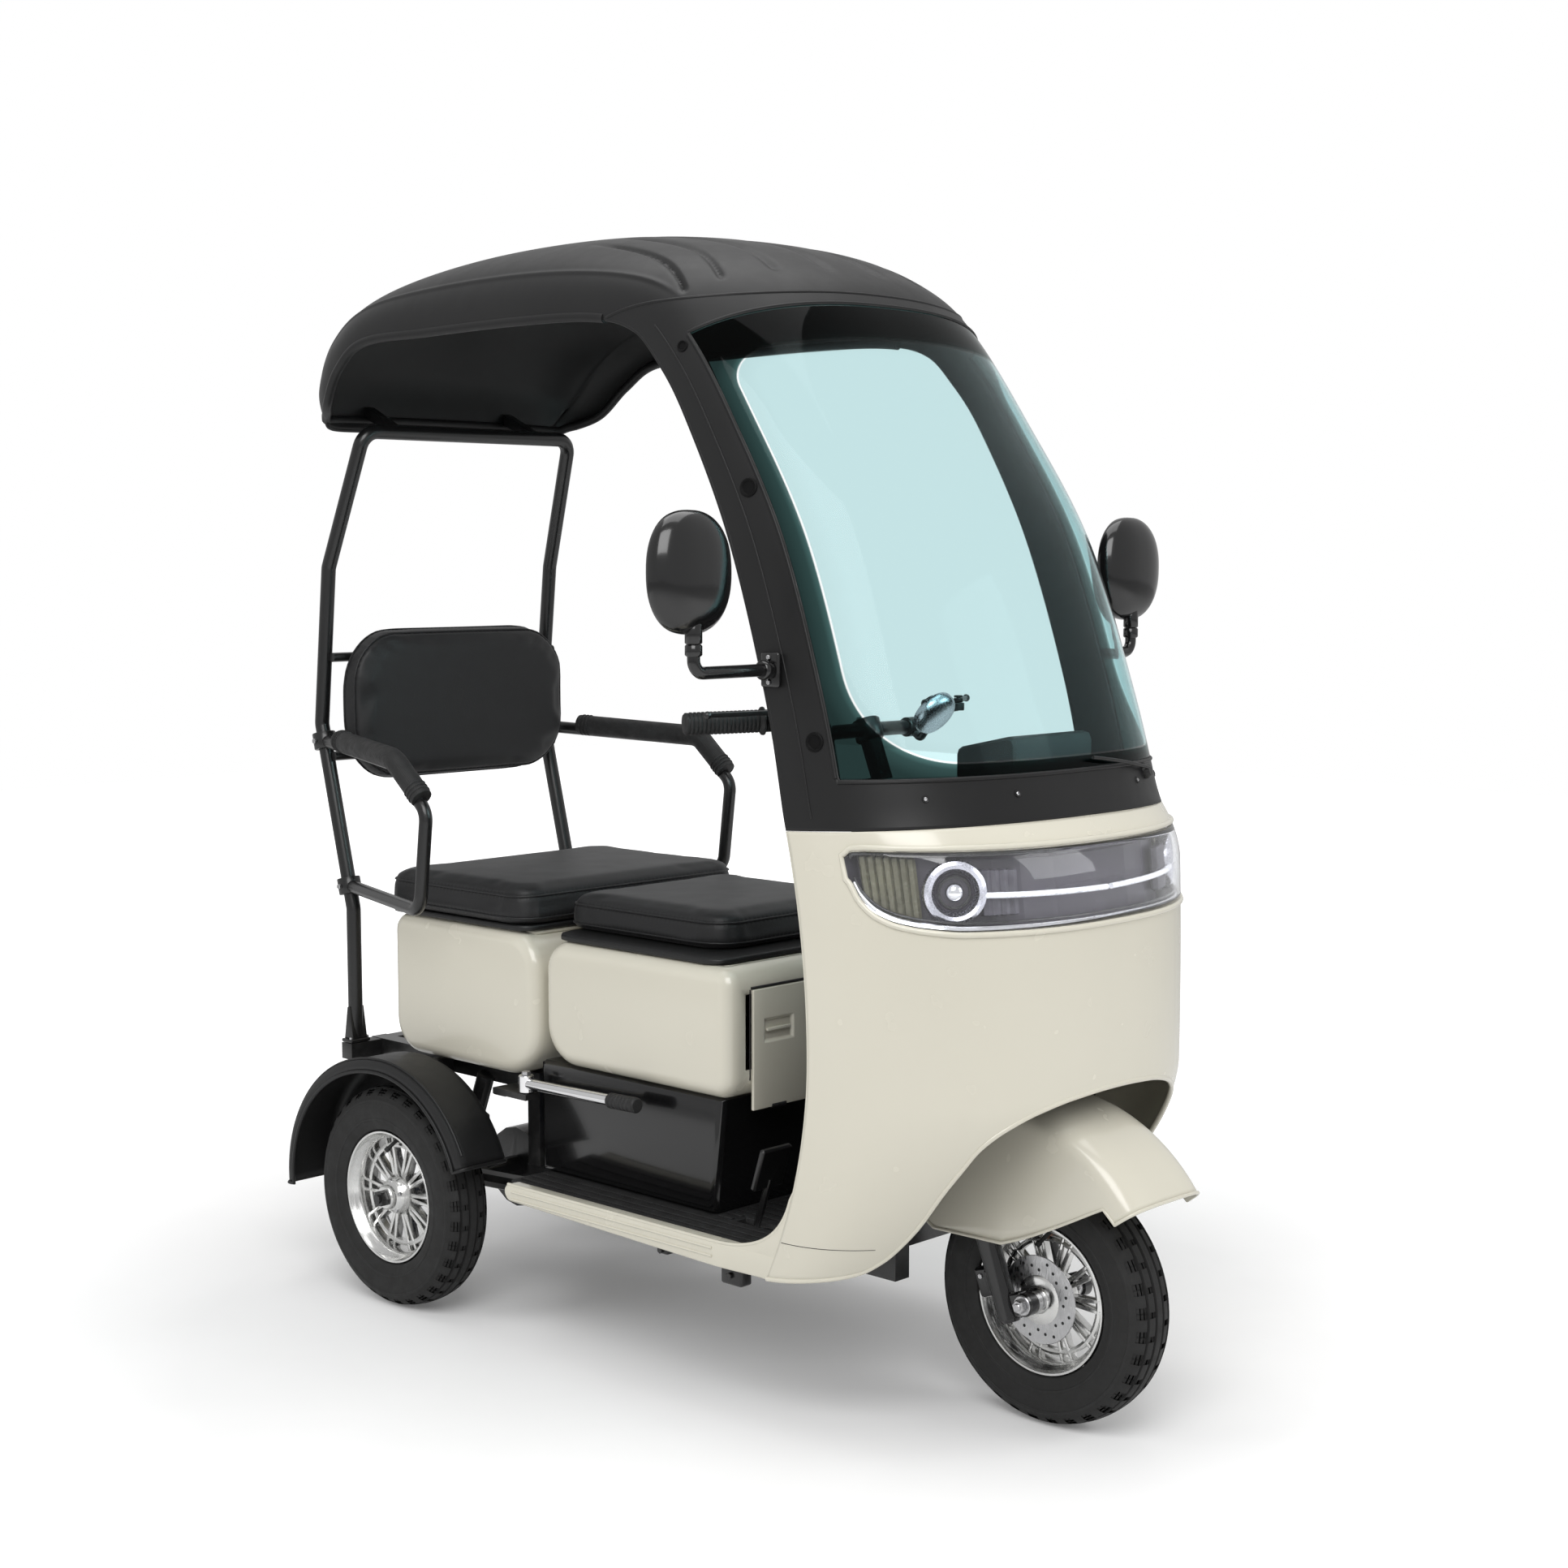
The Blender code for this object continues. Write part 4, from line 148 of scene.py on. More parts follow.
class Finish:
    """A Principled material whose pattern reads the piece's own Object coordinates."""

    def __init__(self, name, roughness, metallic=0.0, **sockets):
        self.material = bpy.data.materials.new(name)
        self.material.use_nodes = True
        self.tree = self.material.node_tree
        self.shader = self.tree.nodes["Principled BSDF"]
        self.shader.inputs["Roughness"].default_value = roughness
        self.shader.inputs["Metallic"].default_value = metallic
        for socket, value in sockets.items():
            self.shader.inputs[socket.replace("_", " ")].default_value = value
        self.place = self.node("ShaderNodeTexCoord").outputs["Object"]

    def node(self, kind, **values):
        made = self.tree.nodes.new(kind)
        for key, value in values.items():
            if hasattr(made, key):
                setattr(made, key, value)
            else:
                made.inputs[key.replace("_", " ")].default_value = value
        return made

    def link(self, output, target):
        self.tree.links.new(output, target)

    def mapped(self, scale=(1, 1, 1), turn=(0, 0, 0)):
        mapping = self.node("ShaderNodeMapping", Scale=scale, Rotation=turn)
        self.link(self.place, mapping.inputs["Vector"])
        return mapping.outputs["Vector"]

    def noise(self, scale, detail, rough=0.55, place=None):
        made = self.node("ShaderNodeTexNoise", Scale=scale, Detail=detail, Roughness=rough)
        self.link(place or self.place, made.inputs["Vector"])
        return made.outputs["Fac"]

    def cells(self, scale, feature, place=None):
        made = self.node("ShaderNodeTexVoronoi", feature=feature, Scale=scale)
        self.link(place or self.place, made.inputs["Vector"])
        return made.outputs["Distance"]

    def ramp(self, source, stops):
        made = self.node("ShaderNodeValToRGB")
        band = made.color_ramp
        band.elements[0].position = stops[0][0]
        band.elements[0].color = (*stops[0][1], 1)
        band.elements[1].position = stops[-1][0]
        band.elements[1].color = (*stops[-1][1], 1)
        for at, colour in stops[1:-1]:
            band.elements.new(at).color = (*colour, 1)
        self.link(source, made.inputs["Fac"])
        return made.outputs["Color"]

    def span(self, source, low, high, start=0.3, end=0.7):
        made = self.node("ShaderNodeMapRange")
        for key, value in (("From Min", start), ("From Max", end), ("To Min", low), ("To Max", high)):
            made.inputs[key].default_value = value
        self.link(source, made.inputs["Value"])
        return made.outputs["Result"]

    def maths(self, operation, first, second):
        made = self.node("ShaderNodeMath", operation=operation)
        self.link(first, made.inputs[0])
        self.link(second, made.inputs[1])
        return made.outputs["Value"]

    def mix(self, share, low, high):
        """A blend of two colours, each an output or a plain colour."""
        made = self.node("ShaderNodeMix", data_type="RGBA")
        self.link(share, made.inputs["Factor"])
        for value, socket in ((low, made.inputs[6]), (high, made.inputs[7])):
            if isinstance(value, tuple):
                socket.default_value = (*value, 1)
            else:
                self.link(value, socket)
        return made.outputs[2]

    def edge(self, start, end):
        """How much a spot stands out as an edge, from 0 to 1."""
        geometry = self.node("ShaderNodeNewGeometry")
        return self.span(geometry.outputs["Pointiness"], 0.0, 1.0, start, end)

    def bump(self, height, strength, distance, under=None):
        made = self.node("ShaderNodeBump", Strength=strength, Distance=distance)
        self.link(height, made.inputs["Height"])
        if under:
            self.link(under, made.inputs["Normal"])
        return made.outputs["Normal"]

    def colour(self, output):
        self.link(output, self.shader.inputs["Base Color"])

    def gloss(self, output):
        self.link(output, self.shader.inputs["Roughness"])

    def relief(self, output):
        self.link(output, self.shader.inputs["Normal"])
        return self.material


def shade(colour, factor):
    return tuple(min(1.0, channel * factor) for channel in colour)


def moulded(name, colour, roughness, grain, depth, patch, spread, worn, **sockets):
    """Moulded plastic or paint: faint patches of tone, a fine grain and edges rubbed lighter."""
    made = Finish(name, roughness, **sockets)
    tone = made.noise(patch, 2.0)
    base = made.ramp(
        tone, [(0.30, shade(colour, 1 - spread)), (0.5, colour), (0.70, shade(colour, 1 + spread))]
    )
    scuffs = made.noise(patch * 9, 2.0, 0.5)
    rub = made.maths("MULTIPLY", made.edge(0.56, 0.72), made.span(scuffs, 0.15, 0.6, 0.40, 0.66))
    made.colour(made.mix(rub, base, worn))
    made.gloss(made.span(scuffs, roughness * 0.94, roughness * 1.06, 0.30, 0.70))
    return made.relief(made.bump(made.noise(grain, 2.0), 0.35, depth))


def alloy(name, colour, roughness, brush=(1, 1, 1), spread=0.10):
    """Polished or brushed metal, with fine lines along one direction."""
    made = Finish(name, roughness, 1.0)
    lines = made.noise(420.0, 4.0, 0.6, made.mapped(brush))
    haze = made.noise(26.0, 5.0, 0.6)
    made.colour(made.ramp(haze, [(0.3, shade(colour, 1 - spread)), (0.7, shade(colour, 1 + spread / 2))]))
    made.gloss(made.span(lines, roughness * 0.6, roughness * 1.7, 0.35, 0.65))
    return made.relief(made.bump(lines, 0.12, 0.00006))


def vinyl_cloth():
    """Black coated fabric: a pebbled grain with soft creases and worn-in sheen."""
    colour = (0.0075, 0.0075, 0.0080)
    made = Finish("vinyl", 0.50, Sheen_Weight=0.05, Sheen_Roughness=0.45, Specular_IOR_Level=0.38)
    tone = made.noise(9.0, 5.0)
    pebbles = made.cells(620.0, "SMOOTH_F1")
    base = made.ramp(tone, [(0.3, shade(colour, 0.92)), (0.7, shade(colour, 1.12))])
    made.colour(made.mix(made.span(pebbles, 0.0, 0.5, 0.0, 0.8), base, (0.014, 0.014, 0.015)))
    made.gloss(made.span(made.noise(20.0, 2.0), 0.49, 0.53))
    grain = made.bump(pebbles, 0.30, 0.0004)
    return made.relief(made.bump(made.noise(11.0, 2.0), 0.18, 0.0025, grain))


def tyre_rubber():
    """Tyre rubber with patches of dust, and its edges a little lighter."""
    made = Finish("tyre_rubber", 0.72)
    dust = made.noise(38.0, 6.0, 0.65)
    base = made.ramp(
        dust, [(0.35, (0.006, 0.006, 0.006)), (0.62, (0.010, 0.0098, 0.0095)), (0.8, (0.020, 0.019, 0.018))]
    )
    made.colour(made.mix(made.edge(0.50, 0.60), base, (0.015, 0.015, 0.015)))
    made.gloss(made.span(dust, 0.60, 0.86))
    return made.relief(made.bump(made.noise(520.0, 3.0), 0.40, 0.0003))


def ribbed_rubber(name, bands, axis):
    """Grip or mat rubber with a fine knurl across it."""
    made = Finish(name, 0.62)
    turn = made.mapped(turn=axis)
    wave = made.node("ShaderNodeTexWave", Scale=bands, Distortion=0.15, Detail=1.0)
    made.link(turn, wave.inputs["Vector"])
    made.colour(
        made.ramp(made.noise(30.0, 5.0), [(0.3, (0.007, 0.007, 0.007)), (0.7, (0.013, 0.013, 0.0135))])
    )
    made.gloss(made.span(made.noise(70.0, 4.0), 0.52, 0.74))
    knurl = made.bump(wave.outputs["Fac"], 0.35, 0.0006)
    return made.relief(made.bump(made.noise(700.0, 2.0), 0.25, 0.0002, knurl))


def window_glass():
    """Clear sheet with a dark printed border that fades inwards to a thin painted highlight line; "rim" is
    0 at the pane's edge.
    """
    made = Finish("tinted_glass", 0.03, Transmission_Weight=1.0, IOR=1.14)
    rim = made.node("ShaderNodeAttribute", attribute_name="rim").outputs["Fac"]
    clear = (0.56, 0.77, 0.785)
    border = (0.026, 0.058, 0.056)
    made.colour(made.ramp(rim, [
        # The white band between 0.492 and 0.512 is a painted highlight along the border's inner edge.
        (0.0, shade(border, 0.5)), (0.34, border), (0.47, shade(border, 2.2)), (0.492, (0.93, 0.96, 0.96)),
        (0.512, (0.93, 0.96, 0.96)), (0.535, shade(clear, 0.94)), (1.0, clear),
    ]))
    smear = made.noise(6.0, 4.0, 0.6, made.mapped((1.0, 1.0, 0.3)))
    made.gloss(made.span(smear, 0.015, 0.05))
    return made.relief(made.bump(made.noise(3.5, 2.0), 0.04, 0.002))


def clear_plastic(name, colour, roughness):
    """A transparent moulding with a faint haze."""
    made = Finish(name, roughness, Transmission_Weight=1.0, IOR=1.49)
    haze = made.noise(18.0, 4.0)
    made.colour(made.ramp(haze, [(0.3, shade(colour, 0.95)), (0.7, colour)]))
    made.gloss(made.span(haze, roughness, roughness * 1.8))
    return made.relief(made.bump(made.noise(60.0, 2.0), 0.03, 0.001))


def lamp_lens(name, colour, glow):
    """A lit or coloured lens with a grid of small optics."""
    made = Finish(name, 0.12, Coat_Weight=0.6, Emission_Strength=glow)
    cells = made.cells(260.0, "F1", made.mapped((1.0, 0.2, 1.0)))
    tint = made.ramp(cells, [(0.0, shade(colour, 1.25)), (0.6, colour), (1.0, shade(colour, 0.65))])
    made.colour(tint)
    made.link(tint, made.shader.inputs["Emission Color"])
    made.gloss(made.span(made.noise(60.0, 3.0), 0.08, 0.2))
    return made.relief(made.bump(cells, 0.5, 0.0008))


def make_finishes():
    return {
        "cream_plastic": moulded(
            "cream_plastic", (0.60, 0.575, 0.485), 0.26, 900.0, 0.00002, 2.2, 0.015, (0.63, 0.605, 0.515),
            Coat_Weight=0.45, Coat_Roughness=0.09,
        ),
        "roof_plastic": moulded(
            "roof_plastic", (0.0105, 0.0105, 0.0108), 0.43, 700.0, 0.00010, 4.0, 0.10, (0.03, 0.03, 0.03),
            Specular_IOR_Level=0.27,
        ),
        "black_plastic": moulded(
            "black_plastic", (0.0080, 0.0080, 0.0083), 0.46, 800.0, 0.00016, 6.0, 0.12, (0.04, 0.04, 0.04),
            Specular_IOR_Level=0.40,
        ),
        "gloss_black": moulded(
            "gloss_black", (0.0050, 0.0050, 0.0053), 0.17, 900.0, 0.00001, 5.0, 0.12, (0.03, 0.03, 0.03),
            Coat_Weight=0.3, Coat_Roughness=0.06,
        ),
        "black_paint": moulded(
            "black_paint", (0.0065, 0.0065, 0.0068), 0.30, 600.0, 0.00004, 8.0, 0.12, (0.045, 0.045, 0.044),
            Coat_Weight=0.15, Coat_Roughness=0.15,
        ),
        "battery_case": moulded(
            "battery_case", (0.03, 0.05, 0.10), 0.50, 500.0, 0.0002, 8.0, 0.12, (0.12, 0.14, 0.2)
        ),
        "lamp_housing": moulded(
            "lamp_housing", (0.055, 0.050, 0.066), 0.30, 500.0, 0.0001, 9.0, 0.2, (0.2, 0.2, 0.22)
        ),
        "reflector_olive": moulded(
            "reflector_olive", (0.085, 0.082, 0.050), 0.26, 400.0, 0.0001, 20.0, 0.3, (0.22, 0.21, 0.15)
        ),
        "lamp_ring": alloy("lamp_ring", (0.66, 0.66, 0.72), 0.24),
        "polished_alloy": alloy("polished_alloy", (0.72, 0.72, 0.71), 0.20, (1.0, 0.1, 0.1)),
        "brushed_steel": alloy("brushed_steel", (0.52, 0.52, 0.53), 0.30, (0.2, 1.0, 0.2)),
        "chrome": alloy("chrome", (0.82, 0.82, 0.83), 0.07, (0.3, 1.0, 1.0), 0.04),
        "mirror_glass": alloy("mirror_glass", (0.84, 0.86, 0.88), 0.02, (1, 1, 1), 0.02),
        "vinyl": vinyl_cloth(),
        "rubber": ribbed_rubber("rubber", 160.0, (0, 0, 0)),
        "mat_rubber": ribbed_rubber("mat_rubber", 60.0, (0, 0, math.pi / 2)),
        # The plugs are painted near black, darker than their rubber, as shade for the recesses round the
        # frame's screws.
        "plug_rubber_painted_shade": moulded(
            "plug_rubber_painted_shade", (0.0030, 0.0030, 0.0031), 0.55, 700.0, 0.00010, 9.0, 0.15, (0.006, 0.006, 0.006),
            Specular_IOR_Level=0.12,
        ),
        "tyre_rubber": tyre_rubber(),
        "tinted_glass": window_glass(),
        "clear_lens": clear_plastic("clear_lens", (0.93, 0.94, 0.96), 0.02),
        "red_lens": lamp_lens("red_lens", (0.42, 0.008, 0.010), 0.05),
        # The amber lens's faint glow is painted light: the fork reflectors and the switch button that wear
        # it are no lamps.
        "amber_lens": lamp_lens("amber_lens", (0.85, 0.20, 0.01), 0.08),
        "white_lens": lamp_lens("white_lens", (0.80, 0.82, 0.88), 0.25),
        "dial_face": lamp_lens("dial_face", (0.42, 0.47, 0.50), 0.05),
    }


FINISHES = make_finishes()


# ---------------------------------------------------------------- making pieces


def mesh_of(bm, name):
    mesh = bpy.data.meshes.new(name)
    bm.to_mesh(mesh)
    bm.free()
    return mesh


def modify(obj, kind, **values):
    step = obj.modifiers.new(kind.lower(), kind)
    for key, value in values.items():
        setattr(step, key, value)
    return step


def piece(name, bm, finish, body, stands_for=(), wall=0.0, bevel=0.0, smooth=38, placed=False):
    """Puts a shape in the shared frame and gives it its finish, its edges and its body.

    stands_for lists the CAD nodes that it takes the place of; placed means that the shape is in
    the shared frame already.
    """
    mesh = mesh_of(bm, name)
    if not placed:
        mesh.transform(Matrix.Translation((0, ROOT_Y, 0)))
    made = bpy.data.objects.new(name, mesh)
    bpy.context.collection.objects.link(made)
    mesh.materials.append(FINISHES[finish])
    mesh.shade_smooth()
    mesh.set_sharp_from_angle(angle=math.radians(smooth))
    if wall:
        modify(made, "SOLIDIFY", thickness=wall, offset=-1, use_even_offset=True)
    if bevel:
        modify(made, "BEVEL", width=bevel, segments=3, limit_method="ANGLE", angle_limit=math.radians(35))
    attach(made, body)
    if stands_for:
        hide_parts(*stands_for)
    return made


def sheet(surface, columns, rows):
    """An open sheet: a grid laid over a surface, its lines at the listed places across and up."""
    bm = bmesh.new()
    wide, high = len(columns) - 1, len(rows) - 1
    bmesh.ops.create_grid(bm, x_segments=wide, y_segments=high, size=0.5)
    across, up = bm.verts.layers.float.new("across"), bm.verts.layers.float.new("up")
    for vert in bm.verts:
        i, j = round((vert.co.x + 0.5) * wide), round((vert.co.y + 0.5) * high)
        vert[across], vert[up] = columns[i], rows[j]
        vert.co = surface(columns[i], rows[j])
    return bm


def open_up(bm, inside):
    """Takes out the cells of a sheet whose middle lies inside a region of its own coordinates."""
    across, up = bm.verts.layers.float["across"], bm.verts.layers.float["up"]
    gone = []
    for face in bm.faces:
        count = len(face.verts)
        if inside(sum(v[across] for v in face.verts) / count, sum(v[up] for v in face.verts) / count):
            gone.append(face)
    bmesh.ops.delete(bm, geom=gone, context="FACES")


def tube(bm, points, radius, closed=False, roundness=3):
    """Adds a round tube along a route."""
    curve = bpy.data.curves.new("route", "CURVE")
    curve.dimensions = "3D"
    curve.bevel_depth = radius
    curve.bevel_resolution = roundness
    curve.use_fill_caps = not closed
    line = curve.splines.new("POLY")
    line.points.add(len(points) - 1)
    line.use_cyclic_u = closed
    for target, point in zip(line.points, points):
        target.co = (*point, 1)
    made = bpy.data.objects.new("route", curve)
    bpy.context.collection.objects.link(made)
    mesh = bpy.data.meshes.new_from_object(made.evaluated_get(bpy.context.evaluated_depsgraph_get()))
    bpy.data.objects.remove(made, do_unlink=True)
    fresh = bmesh.new()
    fresh.from_mesh(mesh)
    bmesh.ops.remove_doubles(fresh, verts=fresh.verts, dist=1e-6)
    bmesh.ops.recalc_face_normals(fresh, faces=fresh.faces)
    return merge(bm, fresh)


def merge(bm, other):
    """Adds another shape to this one."""
    held = bpy.data.meshes.new("held")
    other.to_mesh(held)
    other.free()
    bm.from_mesh(held)
    bpy.data.meshes.remove(held)
    return bm


def softened(bm, edges, bevel, segments):
    """Rounds edges of a shape."""
    bmesh.ops.bevel(
        bm, geom=edges, offset=bevel, segments=segments, profile=0.5, affect="EDGES", material=-1
    )
    return bm


def block(low, high, bevel, segments=3):
    """A block between two corners, with its edges rounded."""
    bm = bmesh.new()
    low, high = Vector(low), Vector(high)
    bmesh.ops.create_cube(bm, size=1)
    bmesh.ops.scale(bm, vec=high - low, verts=bm.verts)
    bmesh.ops.translate(bm, vec=(low + high) / 2, verts=bm.verts)
    return softened(bm, bm.edges[:], bevel, segments)


def doubled(half):
    """A profile and its mirror image below the middle; a last point on the middle is used once."""
    back = half[:-1] if half[-1][1] == 0 else half
    return list(half) + [(r, -z) for r, z in reversed(back)]


def turned(profile, sides, closed=False):
    """A profile of (radius, height) points turned about Z."""
    bm = bmesh.new()
    verts = [bm.verts.new((r, 0, z)) for r, z in profile]
    pairs = list(zip(verts, verts[1:]))
    if closed:
        pairs.append((verts[-1], verts[0]))
    edges = [bm.edges.new(pair) for pair in pairs]
    bmesh.ops.spin(
        bm, geom=edges, cent=(0, 0, 0), axis=(0, 0, 1), angle=2 * math.pi, steps=sides, use_merge=True
    )
    bmesh.ops.remove_doubles(bm, verts=bm.verts, dist=1e-6)
    bmesh.ops.recalc_face_normals(bm, faces=bm.faces)
    return bm


def rod(start, end, radius, sides, chamfer=0.0):
    """A round bar between two points, its ends chamfered."""
    start, end = Vector(start), Vector(end)
    length, flat = (end - start).length, radius - chamfer
    side = [(radius, 0), (radius, length)]
    if chamfer:
        side = [(flat, 0), (radius, chamfer), (radius, length - chamfer), (flat, length)]
    return aim(turned([(0, 0), *side, (0, length)], sides), start, end - start)


def shifted(bm, matrix):
    bmesh.ops.transform(bm, matrix=matrix, verts=bm.verts)
    return bm


def add_bolt(bm, at, reach, radius, chamfer=0.0006):
    """Adds a six-sided bolt head that stands up from a point by a reach."""
    return merge(bm, rod(at, at + Vector(reach), radius, 6, chamfer))


def aim(bm, start, direction):
    """Stands a shape made along +Z at the origin on a point, pointing in a direction."""
    turn = Vector((0, 0, 1)).rotation_difference(Vector(direction)).to_matrix().to_4x4()
    return shifted(bm, Matrix.Translation(Vector(start)) @ turn)


def pushed(outline, axis, low, high, bevel, segments=3):
    """An outline pushed along an axis, with the rims of both ends rounded."""
    bm = bmesh.new()
    spots = {
        "z": [(a, b, low) for a, b in outline], "y": [(a, low, b) for a, b in outline],
        "x": [(low, a, b) for a, b in outline],
    }[axis]
    face = bm.faces.new([bm.verts.new(spot) for spot in spots])
    made = bmesh.ops.extrude_face_region(bm, geom=[face])["geom"]
    step = Vector({"z": (0, 0, 1), "y": (0, 1, 0), "x": (1, 0, 0)}[axis]) * (high - low)
    bmesh.ops.translate(bm, vec=step, verts=[v for v in made if isinstance(v, bmesh.types.BMVert)])
    rims = [e for e in bm.edges if abs((e.verts[0].co - e.verts[1].co).dot(step)) < 1e-9]
    softened(bm, rims, bevel, segments)
    bmesh.ops.recalc_face_normals(bm, faces=bm.faces)
    return bm


def rounded(corners, radius, steps=8):
    """An outline with each corner turned into an arc; radius is one number or one per corner."""
    outline = []
    count = len(corners)
    radii = radius if isinstance(radius, (list, tuple)) else [radius] * count
    for i in range(count):
        here = Vector(corners[i])
        back = (Vector(corners[i - 1]) - here).normalized()
        ahead = (Vector(corners[(i + 1) % count]) - here).normalized()
        half = back.angle(ahead) / 2
        centre = here + (back + ahead).normalized() * (radii[i] / math.sin(half))
        start = here + back * (radii[i] / math.tan(half)) - centre
        sweep = math.pi - 2 * half
        side = math.copysign(1, back.x * ahead.y - back.y * ahead.x)
        for k in range(steps + 1):
            turn = -side * sweep * k / steps
            c, s = math.cos(turn), math.sin(turn)
            outline.append((centre.x + c * start.x - s * start.y, centre.y + s * start.x + c * start.y))
    return outline


def bent(points, radius, steps):
    """A route with each inner corner turned into an arc."""
    route = [Vector(points[0])]
    for before, here, after in zip(points, points[1:], points[2:]):
        here = Vector(here)
        back = (Vector(before) - here).normalized()
        ahead = (Vector(after) - here).normalized()
        half = back.angle(ahead) / 2
        reach = radius / math.tan(half)
        centre = here + (back + ahead).normalized() * (radius / math.sin(half))
        start = here + back * reach - centre
        axis = start.cross(here + ahead * reach - centre)
        for k in range(steps + 1):
            route.append(centre + Matrix.Rotation((math.pi - 2 * half) * k / steps, 3, axis) @ start)
    route.append(Vector(points[-1]))
    return route


def mirrored(point, side):
    return Vector((point[0] * side, point[1], point[2]))


def steps(low, high, count):
    return [low + (high - low) * k / (count - 1) for k in range(count)]


def through(marks, counts):
    """Evenly spaced places between marks, with the marks themselves kept."""
    places = []
    for low, high, count in zip(marks, marks[1:], counts):
        places += steps(low, high, count + 1)[:-1]
    return places + [marks[-1]]


def even(marks, counts):
    """The same places on both sides of the middle line."""
    half = through(marks, counts)
    return [-t for t in reversed(half[1:])] + half


def limited(value):
    """The value, kept between 0 and 1."""
    return max(0.0, min(1.0, value))


def soft_step(value):
    """A rise from 0 to 1 that starts and ends gently."""
    share = limited(value)
    return share * share * (3 - 2 * share)


def blend(t, start, start_slope, end, end_slope):
    """The cubic from one value to the next, with a slope given at each end."""
    first = (2 * t**3 - 3 * t**2 + 1) * start + (t**3 - 2 * t**2 + t) * start_slope
    return first + (-2 * t**3 + 3 * t**2) * end + (t**3 - t**2) * end_slope


def oblong(half, low, high):
    """The corners of an oblong that lies evenly about the middle line."""
    return [(-half, low), (half, low), (half, high), (-half, high)]


def curve_through(turns, heights, at):
    """A smooth line through points, without bumps between them."""
    x, y = np.array(turns), np.array(heights)
    i = int(np.clip(np.searchsorted(x, at) - 1, 0, len(x) - 2))
    rises = np.diff(y) / np.diff(x)
    slopes = np.zeros(len(x))
    both = rises[:-1] * rises[1:] > 0
    slopes[1:-1][both] = 2 * rises[:-1][both] * rises[1:][both] / (rises[:-1] + rises[1:])[both]
    slopes[-1] = rises[-1]
    step = x[i + 1] - x[i]
    return float(blend((at - x[i]) / step, y[i], step * slopes[i], y[i + 1], step * slopes[i + 1]))


# ---------------------------------------------------------------- the shell's surfaces

SKIN_KEYS = np.array([
    (COWL_FRONT, FAIRING_TOP + FAIRING_CROWN, 0.2077, FAIRING_TOP, BODY_HALF),
    (-0.004, 1.050, 0.249, 1.050, 0.342),
    (0.083, 1.270, 0.325, 1.270, 0.338),
    (0.215, 1.460, 0.415, 1.440, 0.334),
    (0.320, 1.600, 0.475, 1.520, 0.331),
    (0.400, 1.668, 0.530, 1.567, 0.330),
    (0.520, 1.712, 0.620, 1.587, 0.330),
    (0.740, 1.739, 0.780, 1.591, 0.330),
    (1.000, 1.735, 1.000, 1.588, 0.330),
    (1.200, 1.702, 1.160, 1.583, 0.330),
    (1.320, 1.645, 1.235, 1.545, 0.325),
    (1.385, 1.560, 1.290, 1.495, 0.308),
    (1.390, 1.475, 1.345, 1.470, 0.270),
])
SKIN_SLOPES = np.gradient(SKIN_KEYS, axis=0)
LAST_SECTION = len(SKIN_KEYS) - 1


def smooth_key(at):
    i = min(int(at), LAST_SECTION - 1)
    return blend(at - i, SKIN_KEYS[i], SKIN_SLOPES[i], SKIN_KEYS[i + 1], SKIN_SLOPES[i + 1])


def section_point(tau, centre_y, centre_z, edge_y, edge_z, half_width):
    angle = tau * math.pi / 2
    across = abs(math.sin(angle)) ** (2 / SECTION_POWER)
    rise = max(math.cos(angle), 0.0) ** (2 / SECTION_POWER)
    y = edge_y + (centre_y - edge_y) * rise
    z = edge_z + (centre_z - edge_z) * rise
    return Vector((math.copysign(half_width * across, tau), y, z))


def skin_point(tau, at):
    return section_point(tau, *smooth_key(at))


def roof_start(tau):
    return 4.27 + 1.43 * abs(tau) ** 3.2


def fairing_rear_y(z):
    return 0.167 + (0.39 if z > 0.55 else 0.88) * (z - 0.55) ** 2


def fairing_half(z):
    return BODY_HALF - 0.22 * max(0.0, 0.50 - z) ** 2


def fairing_point(tau, z):
    low = max(0.0, 0.50 - z)
    high = max(0.0, z - FAIRING_ROLL_Z) / (FAIRING_TOP + FAIRING_CROWN - FAIRING_ROLL_Z)
    front = FAIRING_FRONT + 1.51 * low**1.6 + (COWL_FRONT - FAIRING_FRONT) * high**2
    return section_point(tau, front, z, fairing_rear_y(z), z, fairing_half(z))


def fairing_low(tau):
    turns = [0.0, 0.12, 0.24, 0.34, 0.41, 0.45, 0.475, 0.492, 0.53, 0.59, 0.69, 0.81, 1.0]
    heights = [0.504, 0.500, 0.488, 0.468, 0.442, 0.405, 0.370, 0.316, 0.268, 0.246, 0.236, 0.230, 0.222]
    return curve_through(turns, heights, abs(tau))


def fairing_high(tau):
    rise = max(math.cos(tau * math.pi / 2), 0.0) ** (2 / SECTION_POWER)
    return FAIRING_TOP + FAIRING_CROWN * rise


LENS_TURNS = (0.69, 0.76, 0.81, LENS_SIDE)


def lens_low(tau):
    turns = [0.0, 0.475, 0.59, *LENS_TURNS, 1.0]
    return curve_through(turns, [0.744, 0.745, 0.749, 0.756, 0.768, 0.788, 0.816, 0.818], abs(tau))


def lens_high(tau):
    return curve_through([0.0, *LENS_TURNS[1:], 1.0], [0.854, 0.853, 0.851, 0.841, 0.838], abs(tau))


def cowl_point(tau, at):
    """The skin over the windshield, bent at its start to meet the fairing's upper edge."""
    point = skin_point(tau, max(at, 0.0))
    if at < COWL_ROW:
        edge = fairing_point(tau, fairing_high(tau)) + Vector((0, 0, 0.0006))
        point += (edge - skin_point(tau, 0.0)) * (1 - max(at, 0.0) / COWL_ROW) ** 2
    return point


